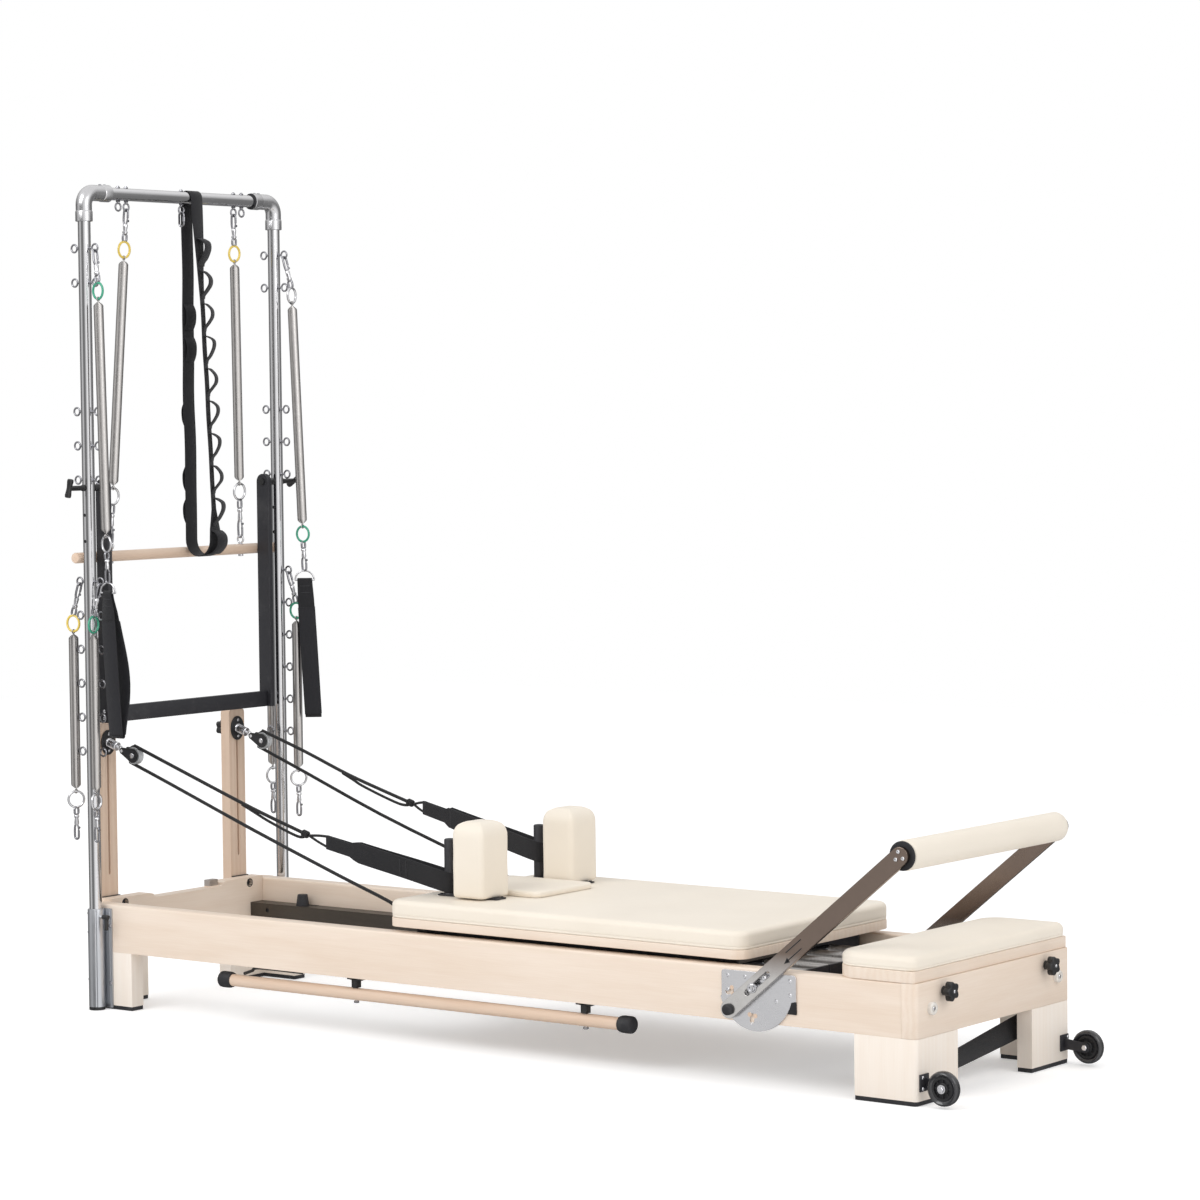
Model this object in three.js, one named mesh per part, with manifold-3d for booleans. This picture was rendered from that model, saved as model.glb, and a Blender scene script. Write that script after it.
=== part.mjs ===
// A wooden pilates reformer with a stainless tower. Lengths are millimetres.
// X runs along the frame with the tower at the low end, Y runs across it, Z is up and 0 is the floor.
import * as THREE from "three";
import { mergeVertices } from "three/addons/utils/BufferGeometryUtils.js";
import Module from "manifold-3d";

const wasm = await Module();
wasm.setup();

// Clearances: what touches keeps the seat, what turns or slides keeps the running gap.
const seat = 0.3;
const running = 0.5;
const overrun = 4;
const mergeWithin = 0.001;

// Driving dimensions of the wooden frame, measured from the tower's end.
const rail = { outer: 342, thick: 45, bottom: 150, top: 275, edge: 6 };
const board = { thick: 40, towerEnd: -85, footEnd: 2470, corner: 12 };
const towerBoard = { crest: 281, scoop: 268, scoopHalf: 120, scoopSlope: 30, boltAcross: 245, boltUp: 266 };
const leg = {
  side: 43,
  towerReach: 152,
  footReach: 165,
  towerInner: 162,
  footInner: 166,
  footPad: 10,
  padInset: 1,
};
const track = { wide: 50, top: 212, bottom: 175, thick: 3, holeX: 16, holeUp: 194, holeRadius: 6 };
const bumper = { x: 125, across: 270, base: 18, tip: 13, tall: 30 };
const foot = { dropNear: 40, dropFar: 116, wide: 56, thick: 3, behind: 12, bow: 16 };

// Driving dimensions of the carriage and the standing platform.
const carriage = { from: 920, to: 1988, half: 324, corner: 37, bottom: 287, deck: 22, padTop: 354 };
const platform = { from: 2247, to: 2464, base: 27, padTop: 342, cornerIn: 60, cornerOut: 24, edge: 8 };
const shoulder = {
  from: 1058,
  to: 1157,
  inner: 126,
  outer: 239,
  bottom: 358,
  top: 547,
  corner: 26,
  roll: 24,
};
const post = {
  x: 1010,
  across: 182,
  radius: 14,
  top: 496,
  plate: 3.4,
  plateFrom: 985,
  plateTo: 1172,
  plateHalf: 20,
};
const headrest = { from: 962, to: 1236, half: 118, bottom: 354, top: 373, corner: 22, roll: 9 };
const roller = { radius: 30, wide: 20, inner: 262, first: 1010, last: 1890 };
const chassis = { bar: 6, deep: 40, cross: 40, inset: 12 };
const springBar = { from: 2130, to: 2236, bottom: 215, thick: 6, webTop: 272, notch: 2.8 };
const carriageSpring = {
  radius: 11,
  wire: 2.4,
  up: 246,
  spread: 92,
  count: 5,
  anchor: 1880,
  anchorRadius: 7,
  end: 2112,
};

const boardStop = { wide: 33, thick: 20, top: 288, across: 94 };
const footDisc = { radius: 15, thick: 11, across: 281, up: 214 };

// Driving dimensions of the footbar: a plate on each rail, two slotted arms and a padded roll.
const pivot = {
  x: 2040,
  z: 233,
  radius: 6.4,
  bore: 7.4,
  washer: 12,
  washerThick: 3,
  head: 9.5,
  headThick: 6,
  deep: 24,
};
const plate = { from: 1945, to: 2151, top: 268, shelf: 205, lobe: 102, thick: 4, corner: 8 };
const arm = {
  clear: 7,
  thick: 12,
  half: 21.5,
  pinReach: 86.6,
  slotHalf: 7,
  slotBack: 19,
  slotFore: 54,
  capRadius: 13,
  capLong: 11,
};
const roll = { x: 2438, z: 561, radius: 35, core: 14, half: 341, disc: 33.5, discThick: 4 };
const lock = { reach: 74, half: 6, angles: [12.3, 40, 82.3] };
const armFrom = roll.half + arm.clear;
const armTo = armFrom + arm.thick;

// Driving dimensions of the tower.
const tower = { x: -33, across: 368, tube: 16.5, wall: 2, top: 2131, foot: 22 };
const socket = { radius: 21.5, top: 265, plateFrom: -68, plateTo: 2, plateThick: 4, web: 14 };
const clampLever = { up: 246, long: 26, radius: 5.5, arm: 34 };
const elbow = { radius: 22.5, collar: 2056, inner: 278, bend: 32 };
const eye = { ring: 10, wire: 2.5, reach: 37, stem: 3 };
const eyeHeights = {
  first: 677,
  step: 89,
  lower: 6,
  middle: 1386,
  middleCount: 3,
  belowTop: 233,
  upperCount: 2,
};
const openHoles = { heights: [1227, 1295], radius: 4 };
const barEyes = { across: [-241, -211, 0, 206, 238], drop: 33 };
const bar = { x: -68.5, up: 1183, radius: 14, half: 388, eyeAcross: 254 };
const pushBar = {
  inner: 306,
  thick: 16,
  wide: 42,
  pivotUp: 1366,
  top: 1388,
  crossBottom: 749,
  crossTop: 791,
  bore: 5,
};
const knobStem = { radius: 4.6, collar: 9, tip: 447, bar: 8, barHalf: 24, cap: 9 };

// Driving dimensions of the wooden risers that carry the rope pulleys.
const riser = { from: -122, thick: 30, wide: 62, across: 253, top: 742, bottom: 160, corner: 9 };
const riserSlot = { bottom: 338, half: 3.5 };
const clamp = { up: 690, halfWide: 26, halfTall: 33, thick: 4, bolt: 3, tilt: 17.5 };
const coil = { radius: 10.5, wire: 1.6, count: 6, steps: 6, sides: 4, length: 31, shaft: 3 };
const sheave = { radius: 23, half: 8, reach: 100, bottom: 18, bore: 4.4, lip: 1.2, grooveShare: 0.66 };
const cheek = { thick: 3, gap: 1.6, big: 19, small: 9, pin: 62, nut: 6.6 };
const link = { ring: 6.5, wire: 2, reach: 44, play: 0.15 };
const star = { radius: 23, waist: 16, lobes: 5, thick: 17, hub: 11, hubLong: 12 };

// Driving dimensions of the wheels, the stored pole and the hanging springs.
const wheel = {
  x: 2530,
  across: 325,
  up: 45,
  radius: 40,
  half: 12,
  hub: 14,
  bore: 4.4,
  web: 7,
  rimShare: 0.72,
};
const bracket = { basePlate: 4, baseWide: 25, baseTall: 26, cheekThick: 5 };
const pole = { from: 365, to: 1675, across: 321, up: 108, radius: 15.5, cap: 21, capLong: 40 };
const hanger = { first: 818, second: 1533, half: 9, flange: 24, flangeTall: 6, bolt: 3.4, drop: 124, nut: 7 };
const spring = {
  radius: 13.2,
  neck: 2.2,
  cone: 12,
  tip: 19.2,
  ring: 12.5,
  wire: 2.3,
  hookHalf: 9,
  hookWire: 2.2,
};
const strap = { thick: 3, wide: 44 };
const rope = { radius: 4.5, sides: 6 };
const knotShape = { half: 9.9, neck: 6.9, tail: 6.8, swellShare: 0.25, tailShare: 0.7 };
const band = { tall: 52, thick: 3, half: 17.6, throat: 4.8 };

// Facet counts.
const round = {
  tube: 12,
  wheel: 10,
  bar: 8,
  small: 6,
  eyeAround: 7,
  ringAround: 8,
  ringSection: 3,
  stem: 4,
  corner: 1,
};

const railInner = rail.outer - rail.thick;
const railFrom = board.towerEnd + board.thick;
const railTo = board.footEnd - board.thick;
const degrees = Math.PI / 180;
const axisX = new THREE.Vector3(1, 0, 0);
const axisY = new THREE.Vector3(0, 1, 0);
const axisZ = new THREE.Vector3(0, 0, 1);
const at = (x, y, z) => new THREE.Vector3(x, y, z);

// A closed geometry as a solid with shared vertices, its faces turned outwards.
function solidOf(geometry) {
  const plain = new THREE.BufferGeometry();
  plain.setAttribute("position", geometry.getAttribute("position"));
  if (geometry.index) {
    plain.setIndex(geometry.index);
  }
  const merged = mergeVertices(plain, mergeWithin);
  const places = merged.getAttribute("position");
  const corners = merged.index.array;
  const kept = [];
  let volume = 0;
  const [a, b, c] = [at(0, 0, 0), at(0, 0, 0), at(0, 0, 0)];
  for (let i = 0; i < corners.length; i += 3) {
    const [p, q, r] = [corners[i], corners[i + 1], corners[i + 2]];
    if (p !== q && q !== r && r !== p) {
      kept.push(p, q, r);
      a.fromBufferAttribute(places, p);
      b.fromBufferAttribute(places, q);
      c.fromBufferAttribute(places, r);
      volume += a.dot(b.cross(c));
    }
  }
  if (volume < 0) {
    for (let i = 0; i < kept.length; i += 3) {
      [kept[i + 1], kept[i + 2]] = [kept[i + 2], kept[i + 1]];
    }
  }
  const mesh = { numProp: 3, vertProperties: places.array, triVerts: new Uint32Array(kept) };
  return new wasm.Manifold(new wasm.Mesh(mesh));
}

// A solid as a geometry that a mesh can show.
function geometryOf(solid) {
  const made = solid.getMesh();
  const places = new Float32Array(made.numVert * 3);
  for (let i = 0; i < made.numVert; i += 1) {
    places.set(made.vertProperties.subarray(i * made.numProp, i * made.numProp + 3), i * 3);
  }
  const geometry = new THREE.BufferGeometry();
  geometry.setAttribute("position", new THREE.BufferAttribute(places, 3));
  geometry.setIndex(new THREE.BufferAttribute(made.triVerts, 1));
  geometry.computeVertexNormals();
  return geometry;
}

const join = (...solids) => solids.reduce((whole, next) => whole.add(next));
const cut = (body, ...tools) => tools.reduce((whole, next) => whole.subtract(next), body);

// The same solid on the other side of the apparatus or moved by a matrix.
function moved(solid, matrix) {
  return solidOf(geometryOf(solid).applyMatrix4(matrix));
}
const mirrored = (solid) => moved(solid, new THREE.Matrix4().makeScale(1, -1, 1));

function box(x0, x1, y0, y1, z0, z1) {
  const geometry = new THREE.BoxGeometry(x1 - x0, y1 - y0, z1 - z0);
  geometry.translate((x0 + x1) / 2, (y0 + y1) / 2, (z0 + z1) / 2);
  return solidOf(geometry);
}

const extruded = (shape, depth, curveSegments) =>
  new THREE.ExtrudeGeometry(shape, { depth, bevelEnabled: false, curveSegments });

// Prisms: the shape's own x and y lie along X and Y, X and Z, or Y and Z of the apparatus.
function prismZ(shape, z0, z1, segments = round.corner) {
  const geometry = extruded(shape, z1 - z0, segments);
  geometry.translate(0, 0, z0);
  return solidOf(geometry);
}
function prismY(shape, y0, y1, segments = round.corner) {
  const geometry = extruded(shape, y1 - y0, segments);
  geometry.rotateX(Math.PI / 2);
  geometry.translate(0, y1, 0);
  return solidOf(geometry);
}
function prismX(shape, x0, x1, segments = round.corner) {
  const geometry = extruded(shape, x1 - x0, segments);
  geometry.applyMatrix4(new THREE.Matrix4().makeBasis(axisY, axisZ, axisX));
  geometry.translate(x0, 0, 0);
  return solidOf(geometry);
}

// A rectangle with its own radius at each corner, in the order low-low, high-low, high-high, low-high.
function roundedRectangle(x0, x1, y0, y1, radii) {
  const [a, b, c, d] = radii;
  const shape = new THREE.Shape();
  const corner = (x, y, radius, start) => {
    if (radius > 0) {
      shape.absarc(x, y, radius, start, start + Math.PI / 2, false);
    } else {
      shape.lineTo(x, y);
    }
  };
  shape.moveTo(x0 + a, y0);
  shape.lineTo(x1 - b, y0);
  corner(x1 - b, y0 + b, b, -Math.PI / 2);
  shape.lineTo(x1, y1 - c);
  corner(x1 - c, y1 - c, c, 0);
  shape.lineTo(x0 + d, y1);
  corner(x0 + d, y1 - d, d, Math.PI / 2);
  shape.lineTo(x0, y0 + a);
  corner(x0 + a, y0 + a, a, Math.PI);
  return shape;
}

// A bar with half-round ends between two places of its plane.
function stadium(x0, y0, x1, y1, half) {
  const lean = Math.atan2(y1 - y0, x1 - x0);
  const shape = new THREE.Shape();
  shape.absarc(x1, y1, half, lean - Math.PI / 2, lean + Math.PI / 2, false);
  shape.absarc(x0, y0, half, lean + Math.PI / 2, lean + Math.PI * 1.5, false);
  return shape;
}

function polygonPoints(radius, sides, turn = 0) {
  const points = [];
  for (let i = 0; i < sides; i += 1) {
    const angle = turn + (i * 2 * Math.PI) / sides;
    points.push(new THREE.Vector2(radius * Math.cos(angle), radius * Math.sin(angle)));
  }
  return points;
}

// What is turned on a lathe, with its axis from one place towards another.
function turned(profile, from, direction, sides) {
  const geometry = new THREE.LatheGeometry(
    profile.map(([radius, height]) => new THREE.Vector2(radius, height)),
    sides,
  );
  const turn = new THREE.Quaternion().setFromUnitVectors(axisY, direction.clone().normalize());
  geometry.applyQuaternion(turn);
  geometry.translate(from.x, from.y, from.z);
  return solidOf(geometry);
}
function rod(from, to, radius, sides = round.small) {
  const along = to.clone().sub(from);
  const long = along.length();
  return turned([[0, 0], [radius, 0], [radius, long], [0, long]], from, along, sides);
}
function tube(from, to, radius, bore, sides = round.tube) {
  const along = to.clone().sub(from);
  const long = along.length();
  const profile = [[bore, 0], [radius, 0], [radius, long], [bore, long], [bore, 0]];
  return turned(profile, from, along, sides);
}

// A closed wire ring, or a link with two straight sides where its length is more than its width.
function wireLink(centre, along, across, half, wire, straight, around, section) {
  const geometry = new THREE.TorusGeometry(half, wire, section, around);
  geometry.rotateZ(Math.PI / around);
  const places = geometry.getAttribute("position");
  for (let i = 0; i < places.count; i += 1) {
    const side = places.getY(i) > 0 ? 1 : -1;
    places.setY(i, places.getY(i) + (side * straight) / 2);
  }
  const up = along.clone().normalize();
  const flat = across.clone().addScaledVector(up, -across.dot(up)).normalize();
  const normal = flat.clone().cross(up);
  geometry.applyMatrix4(new THREE.Matrix4().makeBasis(flat, up, normal));
  geometry.translate(centre.x, centre.y, centre.z);
  return solidOf(geometry);
}
const wireRing = (centre, along, across, half, wire) =>
  wireLink(centre, along, across, half, wire, 0, round.ringAround, round.ringSection);

// A link whose two end wires have their centres at the places given.
function linkBetween(top, bottom, across, half, wire) {
  const along = top.clone().sub(bottom);
  const straight = along.length() - 2 * half;
  const centre = top.clone().add(bottom).multiplyScalar(1 / 2);
  return wireLink(centre, along, across, half, wire, straight, round.ringAround, round.ringSection);
}

// A path through hand-chosen places, with the same number of steps between each two.
class HandRoute extends THREE.CatmullRomCurve3 {
  getUtoTmapping(share) {
    return share;
  }
}
function swept(places, outline, stepsEach) {
  const route = new HandRoute(places);
  const steps = (places.length - 1) * stepsEach;
  const shape = new THREE.Shape(outline);
  return solidOf(new THREE.ExtrudeGeometry(shape, { steps, extrudePath: route, bevelEnabled: false }));
}

// Closed rings of points, the first and last shut by a fan, joined into one skin.
function lofted(rings) {
  const size = rings[0].length;
  const places = [];
  const faces = [];
  rings.forEach((ring) => ring.forEach((point) => places.push(point.x, point.y, point.z)));
  for (let level = 0; level + 1 < rings.length; level += 1) {
    for (let i = 0; i < size; i += 1) {
      const next = (i + 1) % size;
      const low = level * size;
      const high = low + size;
      faces.push(low + i, low + next, high + next, low + i, high + next, high + i);
    }
  }
  const shut = (ring, offset, flipped) => {
    const middle = ring.reduce((sum, point) => sum.add(point), at(0, 0, 0)).multiplyScalar(1 / size);
    const centre = places.length / 3;
    places.push(middle.x, middle.y, middle.z);
    for (let i = 0; i < size; i += 1) {
      const next = (i + 1) % size;
      faces.push(centre, offset + (flipped ? next : i), offset + (flipped ? i : next));
    }
  };
  shut(rings[0], 0, true);
  shut(rings[rings.length - 1], (rings.length - 1) * size, false);
  const geometry = new THREE.BufferGeometry();
  geometry.setAttribute("position", new THREE.Float32BufferAttribute(places, 3));
  geometry.setIndex(faces);
  return solidOf(geometry);
}

// An upholstered cushion: drawn in at its base, rolled over at its upper edge and crowned on top.
function cushion({ x0, x1, y0, y1, z0, z1, corners, edgeRoll, crown, drawn }) {
  const sideSteps = 3;
  const rollSteps = 2;
  const crownShares = [0.4];
  const ring = (inset, height) => {
    const points = [];
    const spots = [
      [x1, y0, corners[1], -Math.PI / 2, -1, 1],
      [x1, y1, corners[2], 0, -1, -1],
      [x0, y1, corners[3], Math.PI / 2, 1, -1],
      [x0, y0, corners[0], Math.PI, 1, 1],
    ];
    spots.forEach(([x, y, wide, start, inX, inY]) => {
      const radius = Math.max(wide - inset, wide / 4);
      const middle = { x: x + inX * (inset + radius), y: y + inY * (inset + radius) };
      for (let step = 0; step <= sideSteps; step += 1) {
        const angle = start + (step * Math.PI) / 2 / sideSteps;
        points.push(at(middle.x + radius * Math.cos(angle), middle.y + radius * Math.sin(angle), height));
      }
    });
    return points;
  };
  const edge = z1 - crown;
  const rings = [ring(drawn, z0), ring(0, z0 + Math.min(edgeRoll, (edge - z0) / 2))];
  for (let step = 0; step <= rollSteps; step += 1) {
    const angle = (step * Math.PI) / 2 / rollSteps;
    rings.push(ring(edgeRoll * (1 - Math.cos(angle)), edge - edgeRoll * (1 - Math.sin(angle))));
  }
  const last = ring(edgeRoll, edge);
  const middle = at((x0 + x1) / 2, (y0 + y1) / 2, edge);
  crownShares.forEach((share) => {
    const lift = crown * Math.sin((share * Math.PI) / 2);
    rings.push(last.map((point) => point.clone().lerp(middle, share).setZ(edge + lift)));
  });
  return lofted(rings);
}

// Materials.
const finish = (color, roughness, metalness = 0) => () =>
  new THREE.MeshStandardMaterial({ color, roughness, metalness });
const maple = finish(0xe6cdb2, 0.5);
const dowel = finish(0xd9b48c, 0.5);
const vinyl = finish(0xe9e3d3, 0.55);
const steel = finish(0xb9b6b2, 0.22, 1);
const brushed = finish(0x9b8d82, 0.38, 1);
const aluminium = finish(0xc9c9c8, 0.36, 1);
const anodised = finish(0x4a4643, 0.42, 1);
const blackSteel = finish(0x232426, 0.5, 0.4);
const webbing = finish(0x17171a, 0.9);
const plastic = finish(0x1b1b1d, 0.45);
const wheelRubber = finish(0x26262a, 0.3);

const assembly = new THREE.Group();
function piece(name, solid, material) {
  const mesh = new THREE.Mesh(geometryOf(solid), material());
  mesh.name = name;
  assembly.add(mesh);
}
function bothSides(name, solid, material) {
  piece(name + "_near", solid, material);
  piece(name + "_far", mirrored(solid), material);
}

// Side frames: a rail with a leg at each end, rubber feet and a wheel bracket. The near one is drawn.
function legPlan(outerX, reach, inner, inset, toTower) {
  const out = outerX + (toTower ? inset : -inset);
  const panelIn = outerX + (toTower ? board.thick - inset : inset - board.thick);
  const sideIn = outerX + (toTower ? reach - inset : inset - reach);
  const outer = rail.outer - inset;
  const sideInner = rail.outer - leg.side + inset;
  const radius = board.corner - inset;
  const shape = new THREE.Shape();
  shape.moveTo(sideIn, -outer);
  shape.lineTo(sideIn, -sideInner);
  shape.lineTo(panelIn, -sideInner);
  shape.lineTo(panelIn, -(inner + inset));
  shape.lineTo(out, -(inner + inset));
  if (toTower) {
    shape.absarc(out + radius, -outer + radius, radius, Math.PI, Math.PI * 1.5, false);
  } else {
    shape.absarc(out - radius, -outer + radius, radius, 0, -Math.PI / 2, true);
  }
  return shape;
}
function wheelBracket() {
  const face = board.footEnd;
  const { basePlate, baseWide, baseTall, cheekThick } = bracket;
  const inner = wheel.across - wheel.half - running - cheekThick;
  const armShape = stadium(face + basePlate / 2, wheel.up + cheekThick, wheel.x, wheel.up, board.corner);
  const base = box(
    face - seat,
    face + basePlate,
    -(inner + baseWide),
    -(inner - baseWide / 2),
    wheel.up - baseTall / 2,
    wheel.up + baseTall,
  );
  const limit = box(
    face,
    wheel.x + wheel.radius,
    -rail.outer,
    0,
    wheel.up - wheel.radius,
    wheel.up + wheel.radius,
  );
  const blade = prismY(armShape, -(inner + cheekThick), -inner).intersect(limit);
  const outerEnd = wheel.across + wheel.half + running;
  const axleRadius = wheel.bore - running;
  const axle = rod(at(wheel.x, -inner, wheel.up), at(wheel.x, -outerEnd, wheel.up), axleRadius);
  const nut = 7;
  const headThick = 4;
  const outerHead = rod(at(wheel.x, -outerEnd, wheel.up), at(wheel.x, -outerEnd - headThick, wheel.up), nut, 6);
  const innerHead = rod(at(wheel.x, -inner, wheel.up), at(wheel.x, -inner + headThick, wheel.up), nut, 6);
  return join(base, blade, axle, outerHead, innerHead);
}
function poleHanger(x) {
  const centre = -pole.across;
  const stem = box(x - hanger.half, x + hanger.half, centre - hanger.half, centre + hanger.half, hanger.drop, rail.bottom);
  const flange = box(
    x - hanger.flange,
    x + hanger.flange,
    centre - hanger.half,
    centre + hanger.half,
    rail.bottom - hanger.flangeTall,
    rail.bottom,
  );
  const under = pole.up - pole.radius - running;
  const bolt = rod(at(x, centre, under - hanger.nut), at(x, centre, hanger.drop + overrun), hanger.bolt);
  const nut = rod(at(x, centre, under - hanger.nut), at(x, centre, under), hanger.nut, 6);
  return join(stem, flange, bolt, nut);
}
function poleClip() {
  const wire = 4;
  const clipShares = [0.02, 0.06, 0.1, 0.21];
  const long = pole.to - pole.from;
  const high = rail.bottom - wire + seat;
  const low = pole.up + pole.radius + wire + running;
  const places = [
    at(pole.from + clipShares[1] * long, -pole.across, low),
    at(pole.from + (clipShares[1] + clipShares[0]) * long, -pole.across, (low + high) / 2),
    at(pole.from + clipShares[2] * long, -pole.across, high),
    at(pole.from + clipShares[3] * long, -pole.across, high),
  ];
  return swept(places, polygonPoints(wire, round.stem), 2);
}
function sideFrame(carriesPole) {
  const e = rail.edge;
  const railShape = roundedRectangle(-rail.outer, -railInner, rail.bottom, rail.top, [0, 0, e, e]);
  let body = prismX(railShape, railFrom + seat, railTo - seat);
  const ends = [
    [board.towerEnd, leg.towerReach, leg.towerInner, true],
    [board.footEnd, leg.footReach, leg.footInner, false],
  ];
  ends.forEach(([x, reach, inner, toTower]) => {
    const wood = prismZ(legPlan(x, reach, inner, 0, toTower), leg.footPad, rail.bottom);
    const rubber = prismZ(legPlan(x, reach, inner, leg.padInset, toTower), 0, leg.footPad);
    body = join(body, wood, rubber);
  });
  const boltHole = rod(
    at(pivot.x, -rail.outer - overrun, pivot.z),
    at(pivot.x, -rail.outer + pivot.deep, pivot.z),
    pivot.bore,
    round.bar,
  );
  body = cut(join(body, wheelBracket()), boltHole);
  if (carriesPole) {
    body = join(body, poleHanger(hanger.first), poleHanger(hanger.second), poleClip());
  }
  return body;
}
piece("side_frame_near", sideFrame(true), maple);
piece("side_frame_far", mirrored(sideFrame(false)), maple);

// End boards. The tower's board rises between the rails and is scooped out in its middle.
function boardPlan(from, to, radii) {
  return roundedRectangle(from, to, -rail.outer, rail.outer, radii);
}
function towerEndBoard() {
  const corner = board.corner;
  const bottom = rail.bottom + seat;
  const past = rail.outer + overrun;
  const profile = new THREE.Shape();
  profile.moveTo(-past, bottom);
  profile.lineTo(past, bottom);
  profile.lineTo(past, rail.top);
  profile.lineTo(railInner, rail.top);
  profile.lineTo(railInner, towerBoard.crest);
  const slopeFrom = towerBoard.scoopHalf + towerBoard.scoopSlope;
  profile.lineTo(slopeFrom, towerBoard.crest);
  profile.bezierCurveTo(
    towerBoard.scoopHalf,
    towerBoard.crest,
    slopeFrom,
    towerBoard.scoop,
    towerBoard.scoopHalf,
    towerBoard.scoop,
  );
  profile.lineTo(-towerBoard.scoopHalf, towerBoard.scoop);
  profile.bezierCurveTo(
    -slopeFrom,
    towerBoard.scoop,
    -towerBoard.scoopHalf,
    towerBoard.crest,
    -slopeFrom,
    towerBoard.crest,
  );
  profile.lineTo(-railInner, towerBoard.crest);
  profile.lineTo(-railInner, rail.top);
  profile.lineTo(-past, rail.top);
  const plan = boardPlan(board.towerEnd, railFrom, [corner, 0, 0, corner]);
  let body = prismZ(plan, bottom - overrun, towerBoard.crest + overrun);
  body = body.intersect(prismX(profile, board.towerEnd - overrun, railFrom + overrun, 3));
  [-1, 1].forEach((side) => {
    const across = side * towerBoard.boltAcross;
    const deep = board.thick / 3;
    const start = at(railFrom - deep, across, towerBoard.boltUp);
    const front = at(railFrom + overrun, across, towerBoard.boltUp);
    const back = at(board.towerEnd - overrun, across, towerBoard.boltUp);
    const bolt = rod(back, front, riserBolt.radius + running, round.small);
    body = cut(body, join(rod(start, front, riserBolt.bore, round.bar), bolt));
  });
  const stop = boardStop;
  const inset = (board.thick - stop.thick) / 2;
  return join(
    body,
    box(
      board.towerEnd + inset,
      railFrom - inset,
      stop.across,
      stop.across + stop.wide,
      towerBoard.scoop - overrun,
      stop.top,
    ),
  );
}
const riserBolt = { radius: 5, bore: 10, head: 8.5 };
piece("tower_end_board", towerEndBoard(), maple);

function footEndBoard() {
  const corner = board.corner;
  const plan = boardPlan(railTo, board.footEnd, [0, corner, corner, 0]);
  let body = prismZ(plan, rail.bottom + seat, rail.top);
  const disc = footDisc;
  const knobHole = star.hub / 2;
  [-1, 1].forEach((side) => {
    const face = at(board.footEnd - seat, side * disc.across, disc.up);
    const out = at(board.footEnd + disc.thick, side * disc.across, disc.up);
    body = join(body, rod(face, out, disc.radius, round.bar));
    const deep = at(board.footEnd - board.thick / 2, side * platformKnob.across, platformKnob.up);
    const mouth = at(board.footEnd + overrun, side * platformKnob.across, platformKnob.up);
    body = cut(body, rod(deep, mouth, knobHole, round.bar));
  });
  return body;
}
const platformKnob = { across: 228, up: 247 };
piece("foot_end_board", footEndBoard(), maple);

// Tracks: an angle along each rail with a rubber buffer near the tower.
function trackSolid() {
  const outer = railInner - seat;
  const inner = railInner - track.wide;
  const angle = new THREE.Shape();
  angle.moveTo(-outer, track.top - track.thick);
  angle.lineTo(-inner - track.thick, track.top - track.thick);
  angle.lineTo(-inner - track.thick, track.bottom);
  angle.lineTo(-inner, track.bottom);
  angle.lineTo(-inner, track.top);
  angle.lineTo(-outer, track.top);
  const from = railFrom + seat;
  const rubber = turned(
    [[0, -track.thick / 2], [bumper.base, -track.thick / 2], [bumper.base, 0], [bumper.tip, bumper.tall], [0, bumper.tall]],
    at(bumper.x, -bumper.across, track.top),
    axisZ,
    round.bar,
  );
  const hole = rod(
    at(track.holeX, -inner - track.wide / 2, track.holeUp),
    at(track.holeX, -inner + overrun, track.holeUp),
    track.holeRadius,
    round.bar,
  );
  return join(cut(prismX(angle, from, railTo - seat), hole), rubber);
}
bothSides("track", trackSolid(), anodised);

// Standing platform with its pad.
function platformBase() {
  const radii = [platform.cornerIn, platform.edge, platform.edge, platform.cornerIn];
  const plan = roundedRectangle(platform.from, platform.to, -rail.outer, rail.outer, radii);
  return prismZ(plan, rail.top + seat, rail.top + platform.base, round.corner + 1);
}
piece("platform_base", platformBase(), maple);
piece(
  "platform_pad",
  cushion({
    x0: platform.from,
    x1: platform.to,
    y0: -rail.outer,
    y1: rail.outer,
    z0: rail.top + platform.base + seat,
    z1: platform.padTop,
    corners: [platform.cornerIn, platform.cornerOut, platform.cornerOut, platform.cornerIn],
    edgeRoll: platform.edge * 2,
    crown: platform.edge / 2,
    drawn: platform.edge / 4,
  }),
  vinyl,
);

// The spring bar across the frame, with a notch for each spring.
function springPlaces() {
  const places = [];
  for (let i = 0; i < carriageSpring.count; i += 1) {
    places.push((i - (carriageSpring.count - 1) / 2) * carriageSpring.spread);
  }
  return places;
}
function springBarSolid() {
  const half = railInner - track.wide - seat;
  const shelfHalf = railInner - seat;
  const angle = new THREE.Shape();
  const { from, to, bottom, thick, webTop } = springBar;
  angle.moveTo(from, bottom);
  angle.lineTo(to, bottom);
  angle.lineTo(to, bottom + thick);
  angle.lineTo(from + thick, bottom + thick);
  angle.lineTo(from + thick, webTop);
  angle.lineTo(from, webTop);
  let body = join(prismY(angle, -half, half), prismY(angle, -shelfHalf, shelfHalf));
  const notchDown = carriageSpring.up - springBar.notch;
  springPlaces().forEach((y) => {
    const y0 = y - springBar.notch;
    const y1 = y + springBar.notch;
    body = cut(body, box(from - overrun, from + thick + overrun, y0, y1, notchDown, webTop + overrun));
  });
  return body;
}
piece("spring_bar", springBarSolid(), blackSteel);

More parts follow.
